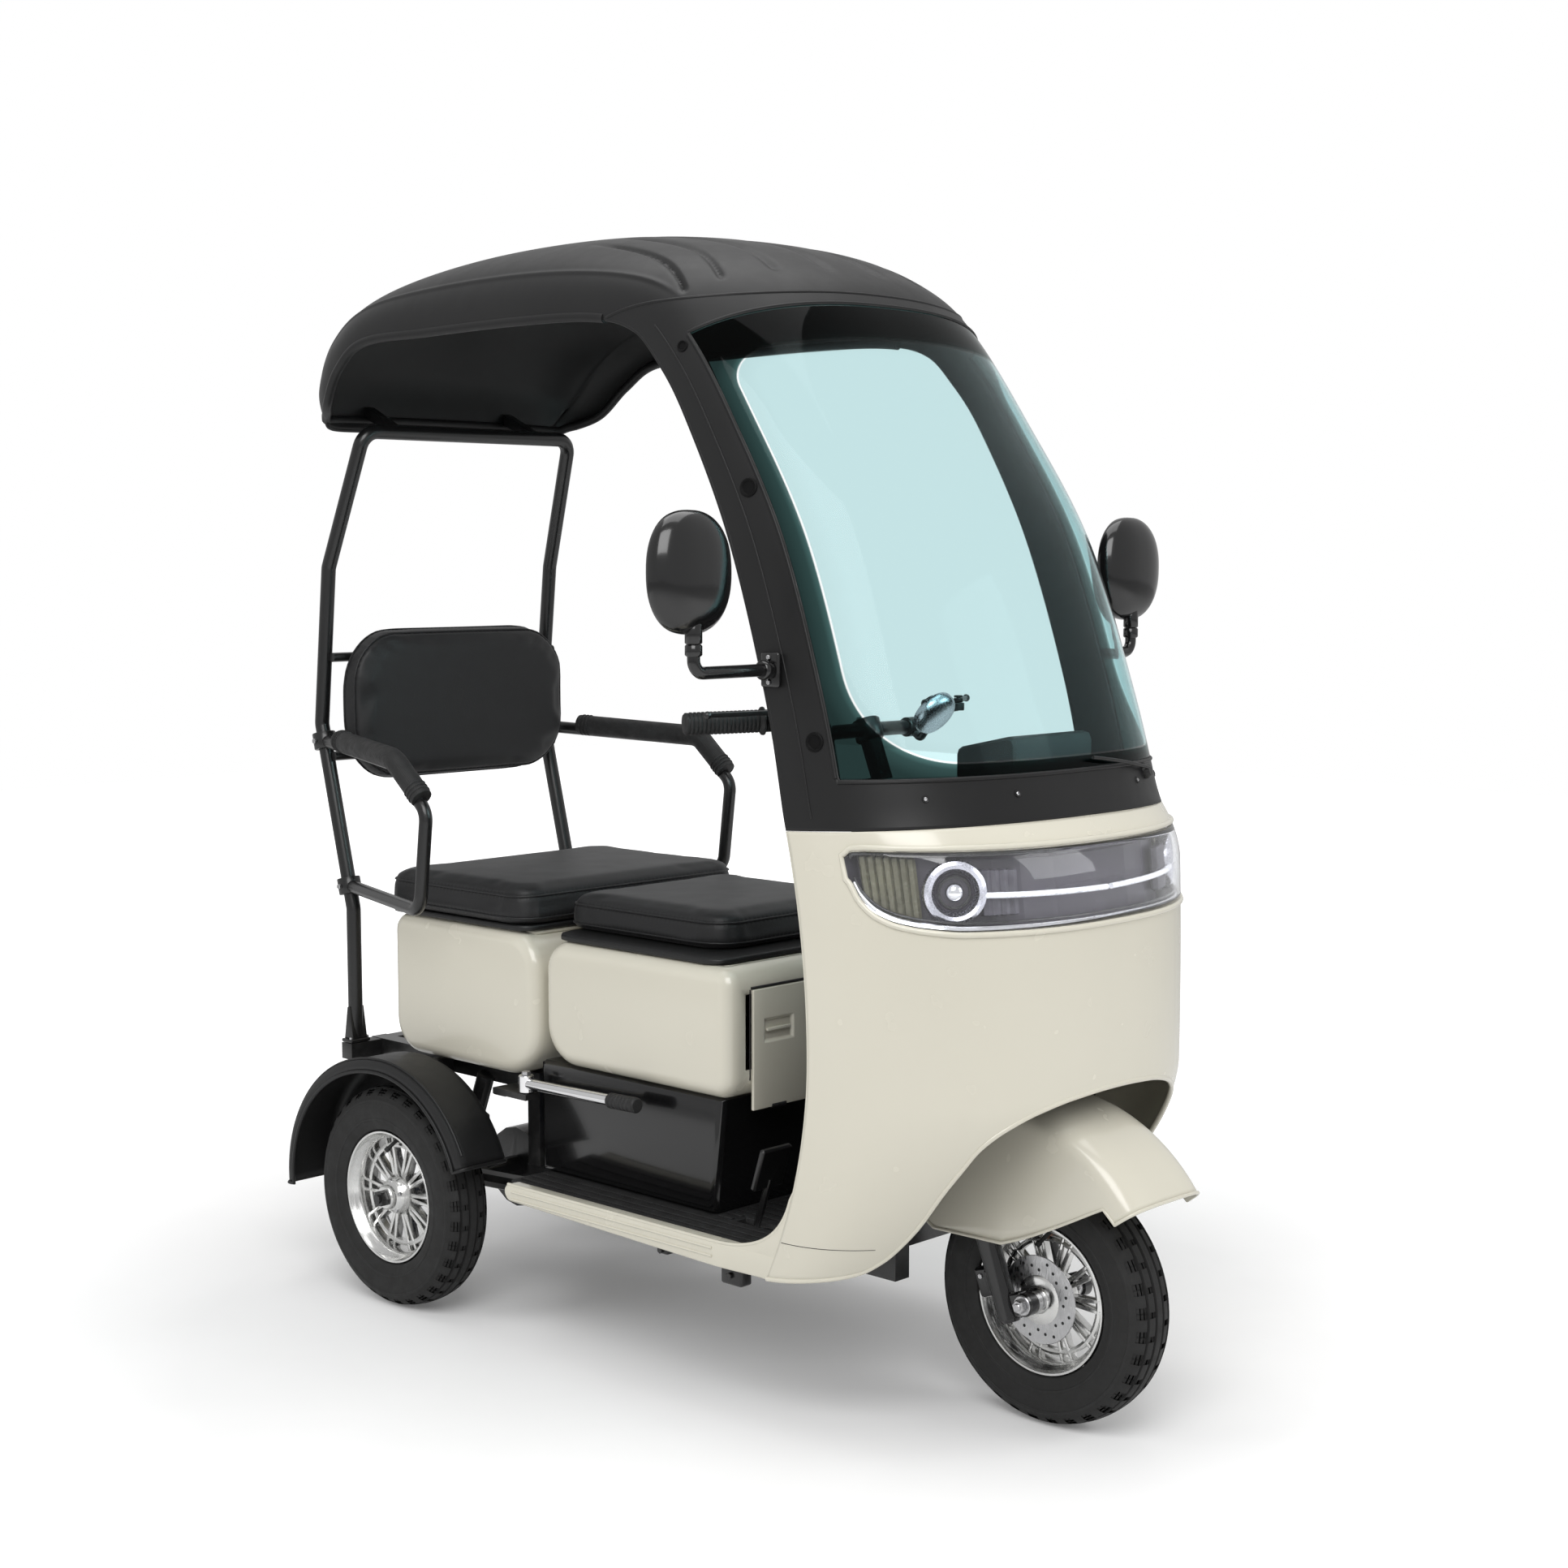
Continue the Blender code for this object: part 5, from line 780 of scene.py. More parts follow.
def below(surface, tau, at, depth):
    """A point under a surface, square to it."""
    turn = max(-0.99, min(0.99, tau))
    across = surface(turn + 0.002, at) - surface(turn - 0.002, at)
    along = surface(turn, at + 0.001) - surface(turn, at - 0.001)
    return surface(tau, at) - across.cross(along).normalized() * depth


def entry_curve():
    """The rounded corner between the nose's rear edge and the sill, as (y, z) points."""
    start, corner = Vector((0.2050, 0.352)), Vector((0.236, 0.266))
    end = Vector((0.345, FLOOR_Z + 0.001))
    route = [start * (1 - t) ** 2 + corner * (2 * t * (1 - t)) + end * t * t for t in steps(0, 1, 18)]
    return [tuple(spot) for spot in route]


def sill_half(y, z):
    """Half the width over the sills, which narrows to meet the nose."""
    away = soft_step((y - fairing_rear_y(z)) / 0.11)
    return fairing_half(z) + (SILL_SIDE - fairing_half(z)) * away


def crosscut(bm, places):
    """Cuts a shape across at places along y, so that it can be bent."""
    for y in places:
        everything = bm.verts[:] + bm.edges[:] + bm.faces[:]
        bmesh.ops.bisect_plane(bm, geom=everything, plane_co=(0, y, 0), plane_no=(0, 1, 0))


def steering_point(along, side=0.0):
    """A point on the steering axis, counted up from the wheel's height."""
    y = along * math.sin(RAKE) + FORK_OFFSET * math.cos(RAKE)
    z = TYRE_RADIUS + along * math.cos(RAKE) - FORK_OFFSET * math.sin(RAKE)
    return Vector((side, y, z))


def steering_y(z):
    foot = steering_point(0.0)
    return foot.y + (z - foot.z) * math.tan(RAKE)


# ---------------------------------------------------------------- stage

# The camera, solved from the photo, with its angles in degrees
CAMERA_AT = (-2.736682, -2.655657, 1.249083)
CAMERA_DOWN = 6.4564
CAMERA_TURN = -46.2329
CAMERA_LENS = 55.53
CAMERA_SHIFT = (0.0109, 0.0269)

# How bright the white surround is as light on the pieces, and what its mirror images add
SOFT_LIGHT = 0.37
MIRRORED_LIGHT = 0.36


def make_stage():
    """A pale floor, a white surround, soft lamps and the camera."""
    scene = bpy.context.scene
    scene.view_settings.view_transform = "Standard"
    world = bpy.data.worlds.new("studio")
    scene.world = world
    world.use_nodes = True
    tree = world.node_tree
    background = tree.nodes["Background"]
    path = tree.nodes.new("ShaderNodeLightPath")
    shown = tree.nodes.new("ShaderNodeMath")
    shown.operation = "ADD"
    shown.use_clamp = True
    tree.links.new(path.outputs["Is Camera Ray"], shown.inputs[0])
    tree.links.new(path.outputs["Is Transmission Ray"], shown.inputs[1])
    glossy = tree.nodes.new("ShaderNodeMath")
    glossy.operation = "MULTIPLY_ADD"
    glossy.use_clamp = True
    glossy.inputs[1].default_value = MIRRORED_LIGHT
    tree.links.new(path.outputs["Is Glossy Ray"], glossy.inputs[0])
    tree.links.new(shown.outputs["Value"], glossy.inputs[2])
    strength = tree.nodes.new("ShaderNodeMapRange")
    strength.inputs["To Min"].default_value = SOFT_LIGHT
    strength.inputs["To Max"].default_value = 1.0
    tree.links.new(glossy.outputs["Value"], strength.inputs["Value"])
    tree.links.new(strength.outputs["Result"], background.inputs["Strength"])
    background.inputs["Color"].default_value = (1.0, 1.0, 1.0, 1.0)

    floor = bmesh.new()
    bmesh.ops.create_grid(floor, x_segments=8, y_segments=8, size=9.0)
    mesh = mesh_of(floor, "floor")
    ground = bpy.data.objects.new("floor", mesh)
    bpy.context.collection.objects.link(ground)
    ground.location.z = -0.0005
    paper = Finish("pale_floor", 0.85, Specular_IOR_Level=0.1, Emission_Color=(1.0, 1.0, 1.0, 1.0))
    grain = paper.noise(3.0, 3.0)
    paper.colour(paper.ramp(grain, [(0.3, (0.86, 0.86, 0.86)), (0.7, (0.89, 0.89, 0.89))]))
    reach = paper.node("ShaderNodeVectorMath", operation="LENGTH")
    paper.link(paper.place, reach.inputs[0])
    far = paper.span(reach.outputs["Value"], 0.10, 0.95, 0.9, 3.4)
    seen = paper.node("ShaderNodeLightPath")
    direct = paper.maths("MAXIMUM", seen.outputs["Is Camera Ray"], seen.outputs["Is Transmission Ray"])
    paper.link(paper.maths("MULTIPLY", far, direct), paper.shader.inputs["Emission Strength"])
    paper.relief(paper.bump(paper.noise(120.0, 2.0), 0.05, 0.0005))
    mesh.materials.append(paper.material)

    def lamp(name, place, aim_at, size, watts, mirrored_in_gloss=True):
        data = bpy.data.lights.new(name, "AREA")
        data.shape = "RECTANGLE"
        data.size, data.size_y = size
        data.energy = watts
        made = bpy.data.objects.new(name, data)
        bpy.context.collection.objects.link(made)
        made.location = place
        made.visible_glossy = mirrored_in_gloss
        made.rotation_euler = (Vector(aim_at) - Vector(place)).to_track_quat("-Z", "Y").to_euler()

    lamp("key", (-2.6, -2.2, 3.4), (0, 0, 0.8), (2.6, 2.6), 105)
    lamp("front", (1.8, -3.6, 2.2), (0, -0.2, 0.8), (2.2, 2.2), 55, False)
    lamp("fill", (-3.6, 2.2, 1.9), (0, 0.2, 0.7), (2.4, 2.4), 45, False)
    lamp("top", (0.2, 0.2, 4.2), (0, 0, 0.5), (3.0, 3.0), 60)

    camera = bpy.data.cameras.new("camera")
    camera.sensor_width = 36
    camera.lens = CAMERA_LENS
    camera.shift_x, camera.shift_y = CAMERA_SHIFT
    camera.clip_end = 60
    eye = bpy.data.objects.new("camera", camera)
    bpy.context.collection.objects.link(eye)
    eye.location = CAMERA_AT
    eye.rotation_euler = (math.radians(90 - CAMERA_DOWN), 0, math.radians(CAMERA_TURN))
    scene.camera = eye


# ---------------------------------------------------------------- nodes that keep their shape

CAD_FINISHES = {
    "cream_plastic": (
        "box_door", "front_fairing", "front_fender", "rear_box", "seat_box_front", "sill_left",
        "sill_right",
    ),
    "roof_plastic": ("roof_canopy", "windshield_frame"),
    "black_plastic": (
        "bench_lid", "dashboard", "floor_board", "fork_sliders", "leg_shield", "rear_fender_left",
        "rear_fender_right", "saddle_lid",
    ),
    "gloss_black": (
        "lower_body", "mirror_bracket_left", "mirror_bracket_right", "mirror_shell_left",
        "mirror_shell_right",
    ),
    "black_paint": (
        "main_frame", "rear_hoop", "rear_axle", "fork_yoke", "handlebar", "brake_pedal", "armrest_left",
        "armrest_right",
    ),
    "vinyl": ("backrest_cushion", "bench_cushion", "saddle_cushion"),
    "rubber": ("armrest_pad_left", "armrest_pad_right", "grip_left", "throttle_grip"),
    "tyre_rubber": ("front_tyre", "rear_tyre_left", "rear_tyre_right"),
    "polished_alloy": (
        "front_rim", "rear_rim_left", "rear_rim_right", "brake_lever_left", "brake_lever_right",
        "motor_controller",
    ),
    "chrome": ("foot_peg_left", "foot_peg_right", "shock_spring_left", "shock_spring_right"),
    "tinted_glass": ("windshield",),
    "clear_lens": ("headlight_lens",),
    "lamp_housing": ("headlight_housing",),
    "lamp_ring": ("lamp_left", "lamp_right", "display"),
    "red_lens": ("tail_light",),
    "battery_case": ("battery_pack",),
    "mirror_glass": ("mirror_glass_left", "mirror_glass_right"),
}


def dress_nodes():
    """Gives each CAD node its finish."""
    for finish, names in CAD_FINISHES.items():
        for name in names:
            mesh = frame["nodes"][name].data
            mesh.materials.clear()
            mesh.materials.append(FINISHES[finish])


make_stage()
dress_nodes()


# ---------------------------------------------------------------- fairing, windshield and roof


def make_fairing():
    """The one-piece nose: an arch over the wheel, a window for the headlight and rolled edges."""
    columns = even((0.0, 0.34, 0.475, 0.55, 0.69, LENS_SIDE, 0.94, 1.0), (22, 16, 14, 12, 16, 8, 8))

    marks = (0.0, 0.6, 0.8, 1.0)

    def spot(tau, share):
        heights = (fairing_low(tau), lens_low(tau), lens_high(tau), fairing_high(tau))
        return fairing_point(tau, float(np.interp(share, marks, heights)))

    bm = sheet(spot, columns, through(marks, (44, 14, 8)))
    open_up(bm, lambda tau, share: marks[1] < share < marks[2] and abs(tau) < LENS_SIDE)
    piece("fairing_skin", bm, "cream_plastic", "chassis", ["front_fairing"], wall=0.004)

    trim = bmesh.new()
    arch = [below(fairing_point, tau, fairing_low(tau) + 0.0036, 0.0016) for tau in columns]
    tube(trim, arch, 0.0040)
    for side in (-1, 1):
        back = [below(fairing_point, side, z, 0.0024) for z in steps(0.868, 0.365, 60)]
        for point in back:
            point.y -= 0.001
        back += [Vector((side * (sill_half(y, z) - 0.0024), y - 0.0008, z)) for y, z in entry_curve()]
        back += [
            Vector((side * (SILL_SIDE - 0.0024), y, FLOOR_Z + 0.0006)) for y in steps(0.365, 0.815, 24)
        ]
        tube(trim, back, 0.0026)
    inside = [t for t in columns if abs(t) <= LENS_SIDE]
    rim = [below(fairing_point, t, lens_low(t) - 0.0035, 0.0002) for t in inside]
    rim += [below(fairing_point, t, lens_high(t) + 0.0035, 0.0002) for t in reversed(inside)]
    tube(trim, rim, 0.0042, closed=True)
    piece("fairing_beads", trim, "cream_plastic", "chassis")

    seam = bmesh.new()
    for side in (-1, 1):
        line = [
            below(fairing_point, side * t, 0.2905 - 0.010 * (t - 0.6), 0.0002)
            for t in steps(0.60, 0.995, 30)
        ]
        tube(seam, line, 0.0006)
    piece("fairing_seam", seam, "black_plastic", "chassis")


# The turned parts of a lamp: name, finish, number of sides, whether the profile closes on itself,
# and its (radius, height) points
LAMP_PARTS = (
    ("bezel", "lamp_ring", 64, True, (
        (0.0275, 0.004), (0.043, 0.004), (0.0445, 0.012), (0.0425, 0.0195), (0.0375, 0.0225),
        (0.0325, 0.0205), (0.0300, 0.0140), (0.0280, 0.0100),
    )),
    ("cup", "lamp_housing", 48, False, (
        (0, 0.0008), (0.0285, 0.0008), (0.0285, 0.0060), (0.0255, 0.0105), (0.0230, 0.0060), (0, 0.0045),
    )),
    ("projector", "chrome", 48, False, (
        (0, 0.0205), (0.005, 0.0198), (0.0092, 0.0178), (0.0122, 0.0140), (0.0132, 0.0095),
        (0.0132, 0.0055), (0, 0.0055),
    )),
    ("halo", "gloss_black", 48, True, (
        (0.0195, 0.0085), (0.0225, 0.0085), (0.0225, 0.0125), (0.0195, 0.0125),
    )),
)


def make_headlight():
    """The lens over the full width of the nose and what shows through it."""
    columns = even((0.0, 0.475, 0.69, LENS_SIDE - 0.003), (26, 18, 20))

    def spot(tau, share):
        low, high = lens_low(tau) + 0.0007, lens_high(tau) - 0.0007
        return fairing_point(tau, low + (high - low) * share)

    bm = sheet(spot, columns, steps(0, 1, 14))
    pane = piece("lens_pane", bm, "clear_lens", "chassis", ["headlight_lens"], wall=0.003)
    pane.visible_shadow = False

    bright = bmesh.new()
    lip = [below(fairing_point, t, lens_low(t) + 0.005, 0.008) for t in columns[2:-2]]
    tube(bright, lip, 0.0035)
    piece("lens_lower_lip", bright, "chrome", "chassis")
    light = bmesh.new()
    for side in (-1, 1):
        bar_line = [
            below(fairing_point, side * t, 0.789 + 0.012 * (t - 0.1), 0.016) for t in steps(0.004, 0.41, 40)
        ]
        tube(light, bar_line, 0.0042)
    piece("lens_light_bar", light, "white_lens", "chassis")
    dark = bmesh.new()
    line = [below(fairing_point, t, lens_low(t) + 0.0115, 0.010) for t in columns[2:-2]]
    tube(dark, line, 0.0018)
    tube(dark, [below(fairing_point, t, lens_high(t) - 0.0045, 0.008) for t in columns[2:-2]], 0.0026)
    piece("lens_dark_line", dark, "gloss_black", "chassis")

    for side, word in SIDES:
        base = below(fairing_point, side * LAMP_TURN, LAMP_Z, 0.036)
        outward = fairing_point(side * LAMP_TURN, LAMP_Z) - base
        for part, finish, sides, closed, profile in LAMP_PARTS:
            shape = aim(turned(profile, sides, closed), base, outward)
            stands_for = ["lamp_" + word] if part == "bezel" else ()
            piece("lamp_%s_%s" % (part, word), shape, finish, "chassis", stands_for)

        facets = bmesh.new()
        for k in range(7):
            turn = 0.63 + 0.027 * k
            low, high = lens_low(turn) + 0.006, lens_high(turn) - 0.006
            deep = 0.024 - 0.0012 * k
            start, end = (below(fairing_point, side * turn, z, deep) for z in (low, high))
            merge(facets, rod(start, end, 0.0062, 6, 0.002))
        piece("lamp_facets_" + word, facets, "reflector_olive", "chassis")
        plates = bmesh.new()
        for k in range(4):
            turn = 0.385 - 0.030 * k
            start = below(fairing_point, side * turn, lens_low(turn) + 0.018, 0.028)
            end = below(fairing_point, side * turn, lens_high(turn) - 0.020, 0.028)
            merge(plates, rod(start, end, 0.0075, 6, 0.002))
        piece("lamp_plates_" + word, plates, "lamp_housing", "chassis")


def make_windshield():
    """The glass with its printed border, and the frame with its pillars, beads and screws."""
    columns = even((0.0, 0.55, 0.67, GLASS_SIDE - 0.0022), (34, 12, 12))
    rows = through((GLASS_LOW + 0.004, 0.75, 3.4, GLASS_HIGH - 0.004), (16, 54, 18))
    bm = sheet(cowl_point, columns, rows)
    rim = bm.verts.layers.float.new("rim")
    across, up = bm.verts.layers.float["across"], bm.verts.layers.float["up"]
    window_x, window_y, middle_row = 0.298, 0.345, 2.05
    for vert in bm.verts:
        # How far the spot lies outside a rounded window, in metres over the pane
        x, y = abs(vert[across]) * 0.42, abs(vert[up] - middle_row) * 0.226
        corner = 0.150 if vert[up] < middle_row else 0.085
        if vert[up] > middle_row:
            y -= 0.014 * (1 - min(1.0, x / window_x) ** 2)
        x, y = x - window_x + corner, y - window_y + corner
        beyond = Vector((max(0.0, x), max(0.0, y))).length - corner
        inner = min(0.0, max(x, y))
        vert[rim] = limited(0.5 - 12.5 * (beyond + inner))
    pane = piece("windshield_pane", bm, "tinted_glass", "chassis", ["windshield"], wall=0.004)
    pane.visible_shadow = False

    turns = even((0.0, 0.55, GLASS_SIDE, 0.90, 1.0), (30, 18, 10, 12))
    top_row = 5.0
    rows = through((0.0, COWL_ROW, GLASS_LOW, GLASS_HIGH, top_row), (8, 6, 64, 18))

    def spot(tau, at):
        last = roof_start(tau) - 0.006
        if at > GLASS_HIGH:
            at = GLASS_HIGH + (last - GLASS_HIGH) * (at - GLASS_HIGH) / (top_row - GLASS_HIGH)
        return cowl_point(tau, at)

    bm = sheet(spot, turns, rows)
    open_up(bm, lambda tau, at: abs(tau) < GLASS_SIDE and GLASS_LOW < at < GLASS_HIGH)
    piece("screen_frame", bm, "roof_plastic", "chassis", ["windshield_frame"], wall=0.005)

    def upright(tau, low, high, depth, count):
        return [below(cowl_point, tau, at, depth) for at in steps(low, high, count)]

    def level(at, start, end, depth, count):
        return [below(cowl_point, tau, at, depth) for tau in steps(start, end, count)]

    beads = bmesh.new()
    for side in (-1, 1):
        tube(beads, upright(side * (GLASS_SIDE + 0.006), 0.42, 4.06, -0.0002, 90), 0.0028)
        tube(beads, upright(side * 0.915, 0.10, 4.6, 0.0002, 100), 0.0016)
        tube(beads, upright(side * 0.996, 0.02, roof_start(1.0) - 0.03, 0.0022, 120), 0.0030)
    tube(beads, level(GLASS_LOW - 0.012, -0.80, 0.80, -0.0001, 80), 0.0026)
    tube(beads, level(GLASS_HIGH + 0.012, -0.80, 0.80, -0.0001, 80), 0.0022)
    piece("screen_beads", beads, "roof_plastic", "chassis")

    run = level(GLASS_LOW + 0.001, -0.795, 0.795, 0.0006, 70)
    run += upright(0.799, 0.43, 4.05, 0.0006, 70)
    run += level(GLASS_HIGH - 0.001, 0.795, -0.795, 0.0006, 70)
    run += upright(-0.799, 4.05, 0.43, 0.0006, 70)
    piece("screen_seal", tube(bmesh.new(), run, 0.0018, closed=True), "rubber", "chassis")

    plugs, screws, rings = bmesh.new(), bmesh.new(), bmesh.new()
    for side in (-1, 1):
        for at, size in ((0.70, 0.0135), (2.35, 0.0135), (3.93, 0.0085)):
            seat = below(cowl_point, side * 0.86, at, 0.0004)
            plug = [
                (0, 0), (size, 0), (size, 0.0016), (size * 0.88, 0.0026), (size * 0.74, 0.0022),
                (size * 0.62, 0.0006), (0, 0.0006),
            ]
            merge(plugs, aim(turned(plug, 32), seat, cowl_point(side * 0.86, at) - seat))
    # The plugs' near-black colour is partly painted shade.
    piece("screen_plugs", plugs, "plug_rubber_painted_shade", "chassis", smooth=30)
    at, size = 0.24, 0.0042
    washer = [
        (size * 0.62, 0), (size * 1.25, 0), (size * 1.25, 0.0010), (size * 1.10, 0.0022),
        (size * 0.62, 0.0012),
    ]
    head = [
        (0, 0), (size * 0.62, 0), (size * 0.60, 0.0022), (size * 0.36, 0.0030), (size * 0.30, 0.0014),
        (0, 0.0014),
    ]
    for tau in (-0.52, -0.22, 0.22, 0.52):
        seat = below(cowl_point, tau, at, 0.0006)
        out = cowl_point(tau, at) - seat
        merge(rings, aim(turned(washer, 24, closed=True), seat, out))
        merge(screws, aim(turned(head, 18), seat, out))
    piece("screen_washers", rings, "black_plastic", "chassis")
    piece("screen_screws", screws, "brushed_steel", "chassis")

    wiper = bmesh.new()
    foot = (0.30, 0.30)
    boss = turned([(0, 0), (0.011, 0), (0.011, 0.006), (0.008, 0.010), (0, 0.010)], 24)
    out = below(cowl_point, *foot, -0.006) - cowl_point(*foot)
    merge(wiper, aim(boss, below(cowl_point, *foot, 0.001), out))
    arm = zip(steps(0.30, 0.02, 13), steps(0.32, 0.48, 13))
    tube(wiper, [below(cowl_point, tau, at, -0.008) for tau, at in arm], 0.0026)
    piece("wiper_arm", wiper, "black_plastic", "chassis")


def groove(tau, at):
    """How deep the roof sinks at a spot: channels that fan out to the front, and a fold."""
    side, depth = abs(tau), 0.0
    first, last = 4.85, 6.95
    if first < at < last:
        along = (6.6 - at) / 1.6
        fade = min(1.0, (at - first) / 0.15, (last - at) / 0.30)
        for rear, front in ((0.045, 0.075), (0.19, 0.27), (0.31, 0.49), (0.45, 0.67)):
            away = (side - rear - (front - rear) * along) / 0.016
            if abs(away) < 4:
                depth += 0.0062 * math.exp(-away * away) * fade
    if at > roof_start(tau):
        crease = (side - 0.715) / 0.016
        depth -= 0.0020 * math.exp(-crease * crease) * limited((at - 4.7) / 0.8)
    return depth


def make_roof():
    """The roof with its channels, its rolled edge and the flange along its rear."""
    corner = 0.86
    columns = even((0.0, 0.76, corner, 1.0), (84, 8, 12))
    shares = through((0.0, 0.35, 1.0), (60, 60))

    def last(tau):
        """Where the roof ends at the back, with its corners rounded off."""
        turn = max(0.0, (abs(tau) - corner) / (1 - corner))
        return LAST_SECTION - 0.42 * (1 - math.sqrt(max(0.0, 1 - turn * turn)))

    def spot(tau, share):
        start = roof_start(tau) + 0.006
        at = start + (last(tau) - start) * share
        return below(cowl_point, tau, at, groove(tau, at))

    piece("roof_skin", sheet(spot, columns, shares), "roof_plastic", "chassis", ["roof_canopy"], wall=0.005)
    trim = bmesh.new()
    for side in (-1, 1):
        edge = [
            below(cowl_point, side * 0.992, at, 0.0050)
            for at in steps(roof_start(1.0) + 0.03, last(0.992) - 0.02, 110)
        ]
        edge += [
            below(cowl_point, side * t, last(t) - 0.02, 0.0050) for t in reversed(steps(0.0, 0.990, 70))
        ]
        tube(trim, edge, 0.0078)
    front = [below(cowl_point, t, roof_start(t) + 0.016, 0.0012) for t in steps(-0.99, 0.99, 120)]

    def hang(tau, share):
        drop = 0.017 * (1 - min(1.0, abs(tau) / 0.93) ** 6) * share
        return below(cowl_point, tau, last(tau) - 0.03, 0.0055) + Vector((0, -0.20 * drop, -drop - 0.001))

    flange = sheet(hang, steps(-0.93, 0.93, 100), steps(0, 1, 4))
    piece("roof_rear_flange", flange, "roof_plastic", "chassis", wall=0.004)
    tube(trim, [hang(t, 1.0) for t in steps(-0.92, 0.92, 100)], 0.0040)
    tube(trim, front, 0.0026)
    piece("roof_beads", trim, "roof_plastic", "chassis")


make_fairing()
make_headlight()
make_windshield()
make_roof()


# ---------------------------------------------------------------- leg shield, dashboard and floor


def shield_flat(z):
    high = limited((z - 0.48) / 0.25)
    return WELL_HALF + (0.050 - WELL_HALF) * high


def shield_point(share, z):
    """The rider's side of the leg shield, which swells round the wheel well and the column."""
    half = fairing_half(z) - 0.0052
    x = share * half
    base = fairing_rear_y(z) - 0.008
    hump = max(WELL_REAR, steering_y(z) + 0.046)
    fade = soft_step((abs(x) - shield_flat(z)) / SHIELD_FADE)
    return Vector((x, hump + (base - hump) * fade, z))


def copy_of(node):
    """A CAD node's mesh with its triangles joined up again."""
    bm = bmesh.new()
    bm.from_mesh(frame["nodes"][node].data)
    bmesh.ops.remove_doubles(bm, verts=bm.verts, dist=1e-6)
    bmesh.ops.dissolve_limit(bm, angle_limit=math.radians(0.5), verts=bm.verts, edges=bm.edges)
    return bm


def refined(node, finish, bevel):
    """A CAD node again, with its hard edges rounded off."""
    body = frame["nodes"][node]["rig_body"]
    return piece(node + "_edged", copy_of(node), finish, body, [node], bevel=bevel, placed=True)


def make_shield():
    """The leg shield with its ribs and welt, and the dashboard with its slats and key switch."""
    columns = [-t for t in even((0.0, 0.25, 0.75, 1.0), (12, 36, 6))]
    rows = through((FLOOR_Z + 0.0004, 0.30, 0.8460), (4, 50))
    piece(
        "leg_shield_skin", sheet(shield_point, columns, rows), "black_plastic", "chassis", ["leg_shield"],
        wall=0.004,
    )
    ribs = bmesh.new()
    for z in (0.335, 0.365, 0.395, 0.425):
        tube(ribs, [shield_point(t, z) + Vector((0, 0.0006, 0)) for t in steps(-0.40, 0.40, 40)], 0.0022)
    piece("leg_shield_ribs", ribs, "black_plastic", "chassis")
    edge = bmesh.new()
    for side in (-1, 1):
        line = [shield_point(side * 0.995, z) + Vector((0, 0.001, 0)) for z in steps(0.268, 0.840, 50)]
        tube(edge, line, 0.0028)
    piece("leg_shield_welt", edge, "rubber", "chassis")

    refined("dashboard", "black_plastic", 0.003)
    vents = bmesh.new()
    for side in (-1, 1):
        for k in range(5):
            x, z = side * 0.045, 0.895 + 0.014 * k
            merge(vents, block((x - 0.030, 0.1172, z), (x + 0.030, 0.1196, z + 0.007), 0.001, 2))
    piece("hood_slats", vents, "gloss_black", "chassis")
    lock = [(0, 0), (0.013, 0), (0.013, 0.005), (0.010, 0.008), (0.004, 0.008), (0.003, 0.005), (0, 0.005)]
    switch = aim(turned(lock, 32), (-0.115, 0.2105, 0.790), (0, 1, 0.12))
    piece("key_switch", switch, "brushed_steel", "chassis")


